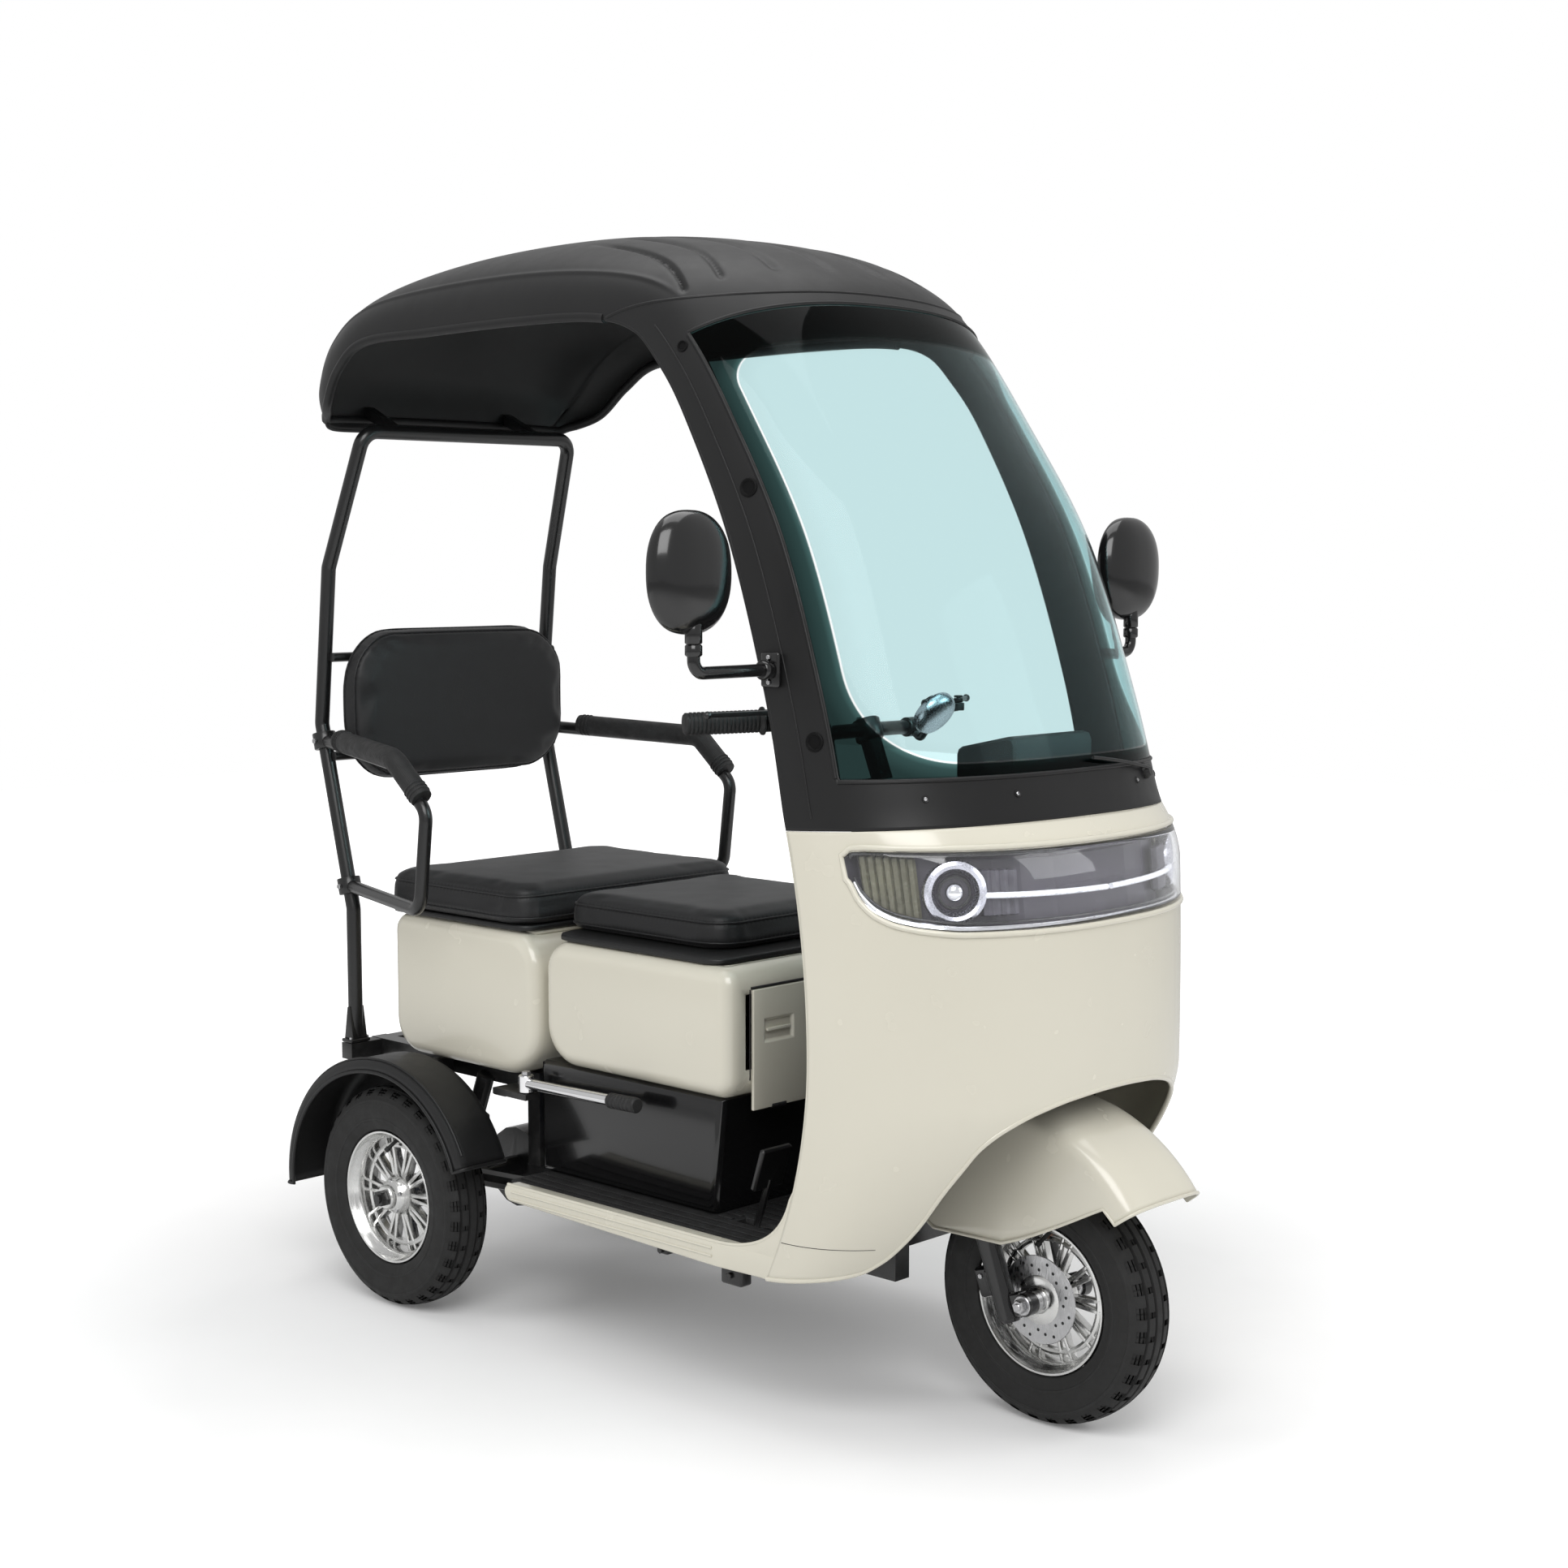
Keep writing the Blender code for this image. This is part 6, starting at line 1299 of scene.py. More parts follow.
def make_floor():
    """The floor's mat, the sills with their beads and corners, and the lugs below them."""
    refined("floor_board", "mat_rubber", 0.0015)
    ribs = bmesh.new()
    pitch, half = 0.0212, 0.0038
    for k in range(-14, 15):
        x = k * pitch
        near = 0.278 if abs(x) < 0.170 else 0.236
        far = 0.448 if abs(x) < 0.244 else 0.826
        parts = [(near, far)]
        if -0.244 < x < -0.206:
            parts = [(near, 0.318), (0.419, far)]
        for start, end in parts:
            low, high = (x - half, start, FLOOR_Z - 0.0006), (x + half, end, FLOOR_Z + 0.0022)
            merge(ribs, block(low, high, 0.0011, 2))
    piece("floor_ribs", ribs, "mat_rubber", "chassis")
    for side, word in SIDES:
        foot, top = FLOOR_Z - SILL_HEIGHT, FLOOR_Z + 0.001
        outline = [
            (0.250, foot - 0.003), (FLOOR_REAR - 0.020, foot + 0.010), (FLOOR_REAR, top), (0.250, top)
        ]
        outline = rounded(outline, [0.004, 0.014, 0.012, 0.004], 6)
        low, high = sorted((side * (FLOOR_HALF + 0.0004), side * SILL_SIDE))
        rim = pushed(outline, "x", low, high, 0.0038, 4)
        crosscut(rim, steps(0.262, 0.40, 16))
        for vert in rim.verts:
            reach = limited(1 - (vert.co.y - 0.250) / 0.030)
            vert.co.y += (fairing_rear_y(vert.co.z) - 0.2536) * reach
            if abs(vert.co.x) > FLOOR_HALF + 0.015:
                vert.co.x += side * (sill_half(vert.co.y, vert.co.z) - SILL_SIDE)
        piece("sill_rim_" + word, rim, "cream_plastic", "chassis", ["sill_" + word])
        beads = bmesh.new()
        for z in (FLOOR_Z - 0.0095, FLOOR_Z - 0.0215):
            tube(beads, [(side * (SILL_SIDE + 0.0002), y, z) for y in steps(0.36, 0.805, 30)], 0.0019)
        piece("sill_bead_" + word, beads, "cream_plastic", "chassis")
        web = entry_curve() + [(0.345, 0.250), (0.2500, 0.250)]
        web += [(fairing_rear_y(z) - 0.001, z) for z in steps(0.262, 0.346, 8)]
        low, high = sorted((side * 0.3240, side * 0.3335))
        corner = pushed(web, "x", low, high, 0.0012, 2)
        crosscut(corner, steps(0.225, 0.335, 12))
        for vert in corner.verts:
            if abs(vert.co.x) > 0.330:
                vert.co.x += side * (sill_half(vert.co.y, vert.co.z) - 0.3340)
        piece("sill_corner_" + word, corner, "cream_plastic", "chassis")
        lugs = bmesh.new()
        for y, long, deep in ((0.355, 0.021, 0.034), (0.500, 0.012, 0.017)):
            low, high = sorted((side * 0.280, side * 0.304))
            top, middle = FLOOR_Z - 0.037, FLOOR_Z - 0.040 - deep / 2
            merge(lugs, block((low, y - long, top - 0.001 - deep), (high, y + long, top), 0.004))
            merge(lugs, rod((side * 0.303, y, middle), (side * 0.309, y, middle), 0.0050, 6, 0.0008))
        piece("sill_lugs_" + word, lugs, "black_paint", "chassis")


# ---------------------------------------------------------------- fenders


def front_fender_point(share, phi):
    """The front fender's skin: share runs across it from rim to rim, phi round the wheel."""
    centre_y, centre_z = 0.030, 0.195
    tail = max(0.0, (phi - math.radians(120)) / math.radians(28))
    crest = 0.285 - 0.047 * tail**1.5
    climb = 0.55 * max(0.0, math.cos(phi))
    steep = math.sin(phi) - climb
    height = 0.272 - centre_z - climb * centre_y
    rise = limited((phi - FENDER_TURNS[0]) / math.radians(34))
    skirt = min(height / steep, crest - 0.042 - 0.020 * rise)
    half, side = 0.087, abs(share)
    bend, shoulder = 0.62, crest - 0.038
    if side < bend:
        angle = side / bend * math.pi / 2
        x = half * math.sin(angle) ** (2 / 3.4)
        r = shoulder + (crest - shoulder) * max(math.cos(angle), 0.0) ** (2 / 3.0)
    else:
        x = half
        r = shoulder - (shoulder - skirt) * (side - bend) / (1 - bend)
    return Vector((math.copysign(x, share), centre_y - r * math.cos(phi), centre_z + r * math.sin(phi)))


def rear_fender_point(side):
    """The rear fender's skin on one side, as a rule of the share across it and the turn."""
    inner, outer, radius = FENDER_INNER, HALF_TRACK + 0.052, 0.232
    turns = [0.0, 0.30, 0.38, 0.86, 0.93, 1.0]
    across = [inner, inner, inner + 0.012, outer - 0.011, outer - 0.002, outer]
    reaches = [0.175, radius - 0.012, radius, radius, radius - 0.006, radius - 0.020]

    def spot(share, phi):
        if side < 0:
            share = 1 - share
        x = curve_through(turns, across, share)
        r = curve_through(turns, reaches, share)
        c, s = math.cos(phi), math.sin(phi)
        flare = 0.030 * max(0.0, c) ** 2 * limited((r - 0.185) / 0.03)
        return Vector((side * x, WHEELBASE + (r + flare) * c, TYRE_RADIUS + (r + flare) * s))

    return spot


def make_fenders():
    """The front fender, which steers, and the two rear ones."""
    columns = even((0.0, 0.40, 0.62, 1.0), (8, 16, 8))
    first, last = FENDER_TURNS
    rows = steps(last, first, 72)
    bm = sheet(front_fender_point, columns, list(reversed(rows)))
    bmesh.ops.reverse_faces(bm, faces=bm.faces)
    outward = max(bm.faces, key=lambda f: f.calc_center_median().z)
    outward.normal_update()
    if outward.normal.z < 0:
        bmesh.ops.reverse_faces(bm, faces=bm.faces)
    piece("front_fender_skin", bm, "cream_plastic", "steering", ["front_fender"], wall=0.003)
    rim = []
    for share in (-1, 1):
        side_line = [front_fender_point(share * 0.997, phi) for phi in rows]
        rim.append(side_line if share < 0 else list(reversed(side_line)))
    front = [front_fender_point(t, first) for t in steps(-0.98, 0.98, 50)]
    back = [front_fender_point(t, last) for t in steps(0.98, -0.98, 50)]
    bead = tube(bmesh.new(), rim[0] + front + rim[1] + back, 0.0026, closed=True)
    piece("front_fender_bead", bead, "cream_plastic", "steering")
    for side, word in SIDES:
        spot = rear_fender_point(side)
        turns = through((0.0, 0.30, 0.38, 0.86, 1.0), (6, 6, 12, 12))
        rows = steps(math.radians(-4), math.radians(158), 60)
        bm = sheet(spot, turns, rows)
        bm.normal_update()
        top = max(bm.faces, key=lambda f: f.calc_center_median().z)
        if top.normal.z < 0:
            bmesh.ops.reverse_faces(bm, faces=bm.faces)
        piece(
            "rear_fender_skin_" + word, bm, "black_plastic", "chassis", ["rear_fender_" + word], wall=0.003
        )
        last = 0.0 if side < 0 else 1.0
        first = 1.0 - last
        rim = [spot(last, phi) for phi in rows]
        rim += [spot(t, rows[-1]) for t in steps(last, first, 30)[1:-1]]
        rim += [spot(first, phi) for phi in reversed(rows)]
        rim += [spot(t, rows[0]) for t in steps(first, last, 30)[1:-1]]
        bead = tube(bmesh.new(), rim, 0.0030, closed=True)
        piece("rear_fender_bead_" + word, bead, "black_plastic", "chassis")
        crown = [spot(0.5 + (0.36 if side > 0 else -0.36), phi) for phi in steps(rows[2], rows[-3], 60)]
        piece("rear_fender_step_" + word, tube(bmesh.new(), crown, 0.0026), "black_plastic", "chassis")
        bolts = bmesh.new()
        for y in (-0.008, 0.008):
            bolt_at = Vector((side * FENDER_INNER, WHEELBASE + y * 1.6, REAR_BOX_Z[0] - 0.0154))
            add_bolt(bolts, bolt_at, (side * 0.006, 0, 0), 0.005, 0.0008)
        piece("rear_fender_bolts_" + word, bolts, "brushed_steel", "chassis")


# ---------------------------------------------------------------- wheels and fork


def wheel_place(bm, centre):
    """Stands a wheel made about Z on its axle, with its outer face to -X."""
    return shifted(bm, Matrix.Translation(centre) @ Matrix.Rotation(-math.pi / 2, 4, "Y"))


def tyre_shape():
    half = [
        (0.1114, 0.0290), (0.1140, 0.0345), (0.1200, 0.0378), (0.1290, 0.0402), (0.1300, 0.0412),
        (0.1325, 0.0415), (0.1335, 0.0410), (0.1430, 0.0421), (0.1520, 0.0424), (0.1600, 0.0414),
        (0.1610, 0.0420), (0.1640, 0.0414), (0.1650, 0.0404), (0.1710, 0.0376), (0.1760, 0.0338),
        (0.1795, 0.0295), (0.1812, 0.0262), (0.1780, 0.0246), (0.1780, 0.0226), (0.1822, 0.0212),
        (0.1836, 0.0158), (0.1842, 0.0108), (0.1806, 0.0094), (0.1806, 0.0070), (0.1847, 0.0056),
        (0.1849, 0.0),
    ]
    sectors = 132
    bm = turned(doubled(half), sectors, closed=True)
    bm.normal_update()
    blocks = []
    for face in bm.faces:
        middle = face.calc_center_median()
        r = math.hypot(middle.x, middle.y)
        sector = int((math.atan2(middle.y, middle.x) / (2 * math.pi) % 1.0) * sectors)
        rib = 0.0108 < abs(middle.z) < 0.0210 and r > 0.182
        shoulder = 0.0262 < abs(middle.z) < 0.0380 and 0.170 < r < 0.1812
        shift = 0 if middle.z > 0 else 2
        if (rib and (sector + shift) % 4 == 0) or (shoulder and (sector + shift) % 4 in (0, 1)):
            blocks.append(face)
    made = bmesh.ops.extrude_discrete_faces(bm, faces=blocks)["faces"]
    for face in made:
        middle = face.calc_center_median()
        inwards = Vector((-middle.x, -middle.y, 0)).normalized()
        bmesh.ops.translate(bm, vec=inwards * 0.0019, verts=face.verts)
    return bm


def rim_shape():
    lip = [
        (0.1100, 0.0250), (0.1108, 0.0325), (0.1100, 0.0338), (0.1070, 0.0338), (0.1058, 0.0318),
        (0.1030, 0.0250), (0.0985, 0.0215), (0.0960, 0.0150), (0.0955, 0.0),
    ]
    outside = [(0.1060, -0.0180), (0.1000, -0.0120), (0.1000, 0.0120), (0.1060, 0.0180)]
    bm = turned(doubled(lip) + outside, 96, closed=True)
    hub = [
        (0.0085, 0.0400), (0.0180, 0.0400), (0.0205, 0.0370), (0.0205, 0.0300), (0.0260, 0.0270),
        (0.0290, 0.0200), (0.0320, 0.0150), (0.0345, 0.0085),
    ]
    merge(bm, turned(doubled(hub), 64, closed=True))
    ring = [(0.0790, 0.0060), (0.0830, 0.0075), (0.0870, 0.0060)]
    merge(bm, turned(doubled(ring), 96, closed=True))
    for k in range(10):
        for lean_out in (-1, 1):
            spoke = block((-0.0030, 0.0300, -0.0080), (0.0030, 0.0985, 0.0080), 0.0016, 2)
            for vert in spoke.verts:
                along = (vert.co.y - 0.030) / 0.0685
                vert.co.x = vert.co.x * (1.25 - 0.35 * along) + lean_out * (0.0030 + 0.0062 * along)
                vert.co.z *= 1.15 - 0.35 * along
            turn = Matrix.Rotation(math.radians(36 * k), 3, "Z")
            bmesh.ops.rotate(spoke, verts=spoke.verts, cent=(0, 0, 0), matrix=turn)
            merge(bm, spoke)
    return bm


def make_wheels():
    """Tyres, spoked rims, valves and hub bolts, and the front brake disc."""
    wheels = (
        ("front", "", 0, 0), ("rear", "_right", -HALF_TRACK, WHEELBASE),
        ("rear", "_left", HALF_TRACK, WHEELBASE),
    )
    for end, hand, x, y in wheels:
        word, centre, body = end + hand, Vector((x, y, TYRE_RADIUS)), end + "_wheel" + hand
        tyre, rim = wheel_place(tyre_shape(), centre), wheel_place(rim_shape(), centre)
        piece(word + "_tyre_treaded", tyre, "tyre_rubber", body, [end + "_tyre" + hand], smooth=30)
        piece(word + "_rim_spoked", rim, "polished_alloy", body, [end + "_rim" + hand], smooth=40)
        valve = rod((0.0975, 0, 0.004), (0.0790, 0.010, 0.022), 0.0032, 14, 0.0008)
        merge(valve, rod((0.0800, 0.0095, 0.0210), (0.0745, 0.0125, 0.0260), 0.0045, 14, 0.001))
        piece(word + "_valve", wheel_place(valve, centre), "rubber", body)
        lugs = bmesh.new()
        for k in range(5):
            a = 2 * math.pi * k / 5
            for face in (-1, 1):
                at = Vector((0.0262 * math.cos(a), 0.0262 * math.sin(a), face * 0.0240))
                add_bolt(lugs, at, (0, 0, face * 0.0050), 0.0034, 0.0008)
        piece(word + "_hub_bolts", wheel_place(lugs, centre), "brushed_steel", body)

    centre = Vector((0, 0, TYRE_RADIUS))
    disc = [(0.0340, -0.0012), (0.0640, -0.0012), (0.0648, 0), (0.0640, 0.0012), (0.0340, 0.0012)]
    disc = turned(disc, 96, closed=True)
    bmesh.ops.translate(disc, vec=(0, 0, 0.0345), verts=disc.verts)
    piece("brake_disc", wheel_place(disc, centre), "brushed_steel", "front_wheel")
    # The disc's holes are filled with black plugs, as painted shade.
    marks = bmesh.new()
    for k in range(24):
        a = 2 * math.pi * k / 24
        r = (0.044, 0.050, 0.056)[k % 3]
        x, y = r * math.cos(a), r * math.sin(a)
        merge(marks, rod((x, y, 0.0331), (x, y, 0.0360), 0.0026, 12, 0.0004))
    piece("brake_disc_hole_shade", wheel_place(marks, centre), "black_plastic", "front_wheel")
    carrier = [(0.0200, 0.0290), (0.0360, 0.0330), (0.0360, 0.0360), (0.0300, 0.0375), (0.0200, 0.0375)]
    carrier = wheel_place(turned(carrier, 48, closed=True), centre)
    piece("brake_carrier", carrier, "polished_alloy", "front_wheel")


def make_fork():
    """The telescopic fork along the steering axis, the brake caliper and the reflectors."""
    to_axis = Matrix.Translation(steering_point(0)) @ Matrix.Rotation(-RAKE, 4, "X")

    def stand(bm):
        return shifted(bm, to_axis)

    def across(start, end, radius, sides, chamfer=0.0):
        return rod((start, -FORK_OFFSET, 0), (end, -FORK_OFFSET, 0), radius, sides, chamfer)

    crown = block((-LEG_X - 0.013, -0.022, 0.252), (LEG_X + 0.013, 0.022, 0.272), 0.006, 4)
    merge(crown, rod((0, 0, 0.268), (0, 0, 0.2967), 0.021, 36, 0.001))
    merge(crown, rod((0, 0, 0.324), (0, 0, 0.3296), 0.025, 36, 0.001))
    merge(crown, rod((0, 0, 0.268), (0, 0, STEM_TOP), 0.016, 36))
    piece("fork_crown", stand(crown), "black_paint", "steering", ["fork_yoke"])
    chrome = bmesh.new()
    seal_top, travel, held = 0.165, 0.045, 0.060
    foot = seal_top - travel - held
    for side in (-1, 1):
        merge(chrome, rod((side * LEG_X, 0, foot), (side * LEG_X, 0, 0.256), 0.0115, 32))
    piece("fork_stanchions", stand(chrome), "chrome", "steering")

    legs = bmesh.new()
    seals = bmesh.new()
    steel = bmesh.new()
    for side in (-1, 1):
        x = side * LEG_X
        profile = [
            (0, -0.020), (0.0125, -0.020), (0.0165, -0.015), (0.0165, 0.118), (0.0172, 0.120),
            (0.0172, 0.150), (0.0160, 0.156), (0.0128, 0.158), (0.0128, 0.004), (0, 0.004),
        ]
        leg = turned(profile, 36)
        bmesh.ops.translate(leg, vec=(x, 0, 0), verts=leg.verts)
        merge(legs, leg)
        merge(legs, across(x - 0.010, x + 0.010, 0.017, 36, 0.002))
        merge(legs, block((x - 0.0095, -FORK_OFFSET, -0.014), (x + 0.0095, -0.0140, 0.020), 0.004, 3))
        seal = [(0.0122, 0.158), (0.0170, 0.158), (0.0176, 0.1615), (0.0150, seal_top), (0.0122, seal_top)]
        seal = turned(seal, 36, closed=True)
        bmesh.ops.translate(seal, vec=(x, 0, 0), verts=seal.verts)
        merge(seals, seal)
        face = side * 0.0404
        merge(steel, across(face, x, 0.0135, 28, 0.001))
        for low, high, radius, sides, chamfer in (
            (0.008, 0.0125, 0.0145, 28, 0.001), (0.012, 0.022, 0.0105, 6, 0.0015),
            (0.018, 0.0245, 0.0055, 20, 0.001),
        ):
            merge(steel, across(x + side * low, x + side * high, radius, sides, chamfer))
    merge(steel, across(-LEG_X, LEG_X, 0.0072, 24))
    piece("fork_legs", stand(legs), "gloss_black", "front_fork", ["fork_sliders"])
    piece("fork_seals", stand(seals), "rubber", "front_fork")
    piece("fork_axle", stand(steel), "brushed_steel", "front_fork")

    caliper = block((-0.0470, 0.0180, 0.020), (-0.0225, 0.0600, 0.066), 0.007, 4)
    merge(caliper, block((-0.0600, 0.0100, 0.026), (-0.0450, 0.0300, 0.060), 0.004, 3))
    piece("brake_caliper", stand(caliper), "gloss_black", "front_fork")
    pins = bmesh.new()
    for at in (Vector((-0.0490, 0.0300, 0.034)), Vector((-0.0490, 0.0470, 0.052))):
        add_bolt(pins, at, (0.0040, 0, 0), 0.0042)
    piece("caliper_pins", stand(pins), "brushed_steel", "front_fork")
    for side, word in SIDES:
        x = side * (LEG_X + 0.0150)
        disc = rod((x, -0.002, 0.134), (x + side * 0.0065, -0.002, 0.134), 0.0125, 32, 0.002)
        # The reflectors glow with painted light from the amber finish.
        piece("fork_reflector_" + word, stand(disc), "amber_lens", "front_fork")


# ---------------------------------------------------------------- boxes, lids and the housed units


def box_shell(y_range, z_range, radii, rim):
    """A moulded box with all its corners rounded, open at the top."""
    (front, back), (low, high) = y_range, z_range
    corners = [(front, low), (back, low), (back, high), (front, high)]
    bm = pushed(rounded(corners, radii), "x", -BOX_HALF, BOX_HALF, rim, 6)
    bm.normal_update()
    top = [f for f in bm.faces if f.normal.z > 0.999 and f.calc_center_median().z > high - 1e-4]
    bmesh.ops.delete(bm, geom=[max(top, key=lambda f: f.calc_area())], context="FACES")
    return bm


def make_boxes():
    """The two storage boxes, the drop door, the lids, the housed units and the tail light."""
    bm = box_shell(FRONT_BOX_Y, FRONT_BOX_Z, [0.034, 0.066, 0.048, 0.030], 0.024)
    bm.normal_update()
    front = max((f for f in bm.faces if f.normal.y < -0.999), key=lambda f: f.calc_area())
    bmesh.ops.inset_region(bm, faces=[front], thickness=0.014)
    bmesh.ops.delete(bm, geom=[front], context="FACES")
    piece("front_box_shell", bm, "cream_plastic", "chassis", ["seat_box_front"], wall=0.004)
    bm = box_shell(REAR_BOX_Y, REAR_BOX_Z, [0.078, 0.060, 0.030, 0.066], 0.022)
    piece("rear_box_shell", bm, "cream_plastic", "chassis", ["rear_box"], wall=0.004)

    flange = bmesh.new()
    for y_range, z in ((FRONT_BOX_Y, FRONT_BOX_Z[1]), (REAR_BOX_Y, REAR_BOX_Z[1])):
        half, low, high = BOX_HALF - 0.028, y_range[0] + 0.036, y_range[1] - 0.036
        line = [(x, y, z - 0.0040) for x, y in rounded(oblong(half, low, high), 0.02, 6)]
        tube(flange, line, 0.0036, closed=True)
    piece("box_rims", flange, "cream_plastic", "chassis")

    y = FRONT_BOX_Y[0] - 0.0004
    columns = [-DOOR_HALF, -0.182, -0.174, -0.126, -0.118, DOOR_HALF]
    rows = [DOOR_Z[0], 0.524, 0.531, 0.553, 0.560, DOOR_Z[1]]
    door = sheet(lambda x, z: Vector((x, y - 0.006, z)), columns, rows)
    door.normal_update()
    scoop = []
    for face in door.faces:
        middle = face.calc_center_median()
        if abs(middle.x + 0.150) < 0.03 and abs(middle.z - 0.542) < 0.015:
            scoop.append(face)
    bmesh.ops.inset_region(door, faces=scoop, thickness=0.003, depth=-0.0045)
    bmesh.ops.translate(door, vec=(0, 0.0004, 0), verts=list({v for f in scoop for v in f.verts}))
    piece("box_door_panel", door, "cream_plastic", "door", ["box_door"], wall=0.0058, bevel=0.0016)
    latch = block((-0.176, y - 0.0066, 0.5400), (-0.124, y - 0.0012, 0.5450), 0.0012, 3)
    piece("door_latch", latch, "cream_plastic", "door")
    seam = bmesh.new()
    tube(seam, [(x, y - 0.0010, DOOR_Z[1] + 0.0024) for x in steps(-DOOR_HALF, DOOR_HALF, 12)], 0.0020)
    for side in (-1, 1):
        x = side * (DOOR_HALF + 0.0016)
        tube(seam, [(x, y + 0.0006, z) for z in steps(0.470, DOOR_Z[1], 8)], 0.0012)
    piece("door_seam", seam, "black_plastic", "chassis")
    pins = bmesh.new()
    for side in (-1, 1):
        at = Vector((side * 0.150, y - 0.003, DOOR_Z[0] + 0.002))
        merge(pins, rod(at - Vector((0.016, 0, 0)), at + Vector((0.016, 0, 0)), 0.0040, 20, 0.0008))
    piece("door_hinge_pins", pins, "black_plastic", "door")

    for node, finish, bevel in (
        ("saddle_lid", "black_plastic", 0.0028), ("bench_lid", "black_plastic", 0.0028),
        ("lower_body", "gloss_black", 0.004), ("battery_pack", "battery_case", 0.003),
        ("motor_controller", "polished_alloy", 0.001),
    ):
        refined(node, finish, bevel)
    ends = [(x, y, 0.345) for x, y in oblong(0.050, 0.8335, 0.8425)]
    handle = bent([ends[0], ends[3], ends[2], ends[1]], 0.004, 5)
    piece("battery_handle", tube(bmesh.new(), handle, 0.0028), "rubber", "chassis")
    for node in ("main_frame", "rear_axle"):
        refined(node, "black_paint", 0.0012)

    y = REAR_BOX_Y[1] + 0.0004
    outline = rounded(oblong(0.080, 0.500, 0.545), 0.012)
    inner = rounded(oblong(0.074, 0.506, 0.539), 0.008)
    base, lens = pushed(outline, "y", y, y + 0.009, 0.0015), pushed(inner, "y", y + 0.007, y + 0.018, 0.003)
    piece("tail_light_base", base, "black_plastic", "chassis", ["tail_light"])
    piece("tail_light_lens", lens, "red_lens", "chassis")
    ribs = bmesh.new()
    for k in range(-6, 7):
        x = k * 0.0105
        merge(ribs, block((x - 0.0009, y + 0.0165, 0.509), (x + 0.0009, y + 0.0184, 0.536), 0.0006, 2))
    piece("tail_light_ribs", ribs, "red_lens", "chassis")


make_shield()
make_floor()
make_fenders()
make_wheels()
make_fork()
make_boxes()


# ---------------------------------------------------------------- cushions


def shown_mesh(obj):
    """The object's mesh with its modifiers applied, joined up, as a fresh mesh."""
    graph = bpy.context.evaluated_depsgraph_get()
    return bpy.data.meshes.new_from_object(obj.evaluated_get(graph))


def sewn(name, bm, facing, base, press):
    """A cushion from a plain pad: remeshed, blown up a little as cloth, and held where it rests.

    facing gives the axis and the sense in which the pad stands up from its base; press is the
    pressure inside.
    """
    axis, sense = facing
    made = bpy.data.objects.new(name, mesh_of(bm, name))
    bpy.context.collection.objects.link(made)
    modify(made, "REMESH", mode="VOXEL", voxel_size=0.0052)
    made.data = shown_mesh(made)
    made.modifiers.clear()
    rest = np.array([v.co for v in made.data.vertices])
    flat = np.abs(rest[:, axis] - base) < 0.0075
    pins = made.vertex_groups.new(name="held")
    pins.add([int(i) for i in np.nonzero(flat)[0]], 1.0, "REPLACE")
    cloth = made.modifiers.new("cloth", "CLOTH")
    cloth.settings.use_pressure = True
    cloth.settings.uniform_pressure_force = press
    cloth.settings.effector_weights.gravity = 0
    cloth.settings.vertex_group_mass = "held"
    cloth.settings.quality = 5
    cloth.settings.tension_stiffness = 12
    cloth.settings.compression_stiffness = 12
    scene = bpy.context.scene
    for step in range(1, 21):
        scene.frame_set(step)
    blown = shown_mesh(made)
    moved = np.array([v.co for v in blown.vertices]) - rest
    reach = np.linalg.norm(moved, axis=1, keepdims=True)
    moved *= np.minimum(1.0, SWELL_LIMIT / np.maximum(reach, 1e-9))
    made.modifiers.clear()
    scene.frame_set(1)
    made.data.vertices.foreach_set("co", (rest + moved).astype(np.float32).ravel())
    soft = bmesh.new()
    soft.from_mesh(made.data)
    for _ in range(5):
        bmesh.ops.smooth_vert(
            soft, verts=soft.verts, factor=0.5, use_axis_x=True, use_axis_y=True, use_axis_z=True
        )
    for vert in soft.verts:
        vert.co[axis] = max(base, vert.co[axis]) if sense > 0 else min(base, vert.co[axis])
    soft.to_mesh(made.data)
    soft.free()
    modify(made, "SUBSURF", levels=1, render_levels=1)
    made.data = shown_mesh(made)
    made.modifiers.clear()
    made.data.materials.clear()
    made.data.materials.append(FINISHES["vinyl"])
    made.data.shade_smooth()
    return made


def stitch(cushion, guide, body, name, sink, radius):
    """Sinks a seam into a cushion along a guide line, and lays its welt there."""
    mesh = cushion.data
    points = []
    for spot in guide:
        _, place, normal, _ = cushion.closest_point_on_mesh(spot)
        points.append(place + normal * (radius * 0.15))
    line = np.array(points)
    places = np.array([v.co for v in mesh.vertices])
    away = np.full(len(places), 1.0)
    for start in range(0, len(line), 16):
        gap = np.linalg.norm(places[:, None, :] - line[None, start:start + 16, :], axis=2).min(axis=1)
        away = np.minimum(away, gap)
    depth = sink * np.exp(-((away / 0.0052) ** 2))
    normals = np.array([v.normal for v in mesh.vertices])
    mesh.vertices.foreach_set("co", (places - normals * depth[:, None]).astype(np.float32).ravel())
    mesh.update()
    welt = tube(bmesh.new(), [Vector(p) for p in points], radius, closed=True, roundness=2)
    piece(name, welt, "vinyl", body, placed=True)


def split_long(bm):
    """Divides a pad's long edges, so that it can swell evenly."""
    long = [edge for edge in bm.edges if edge.calc_length() > 0.05]
    bmesh.ops.subdivide_edges(bm, edges=long, cuts=5, use_grid_fill=True)


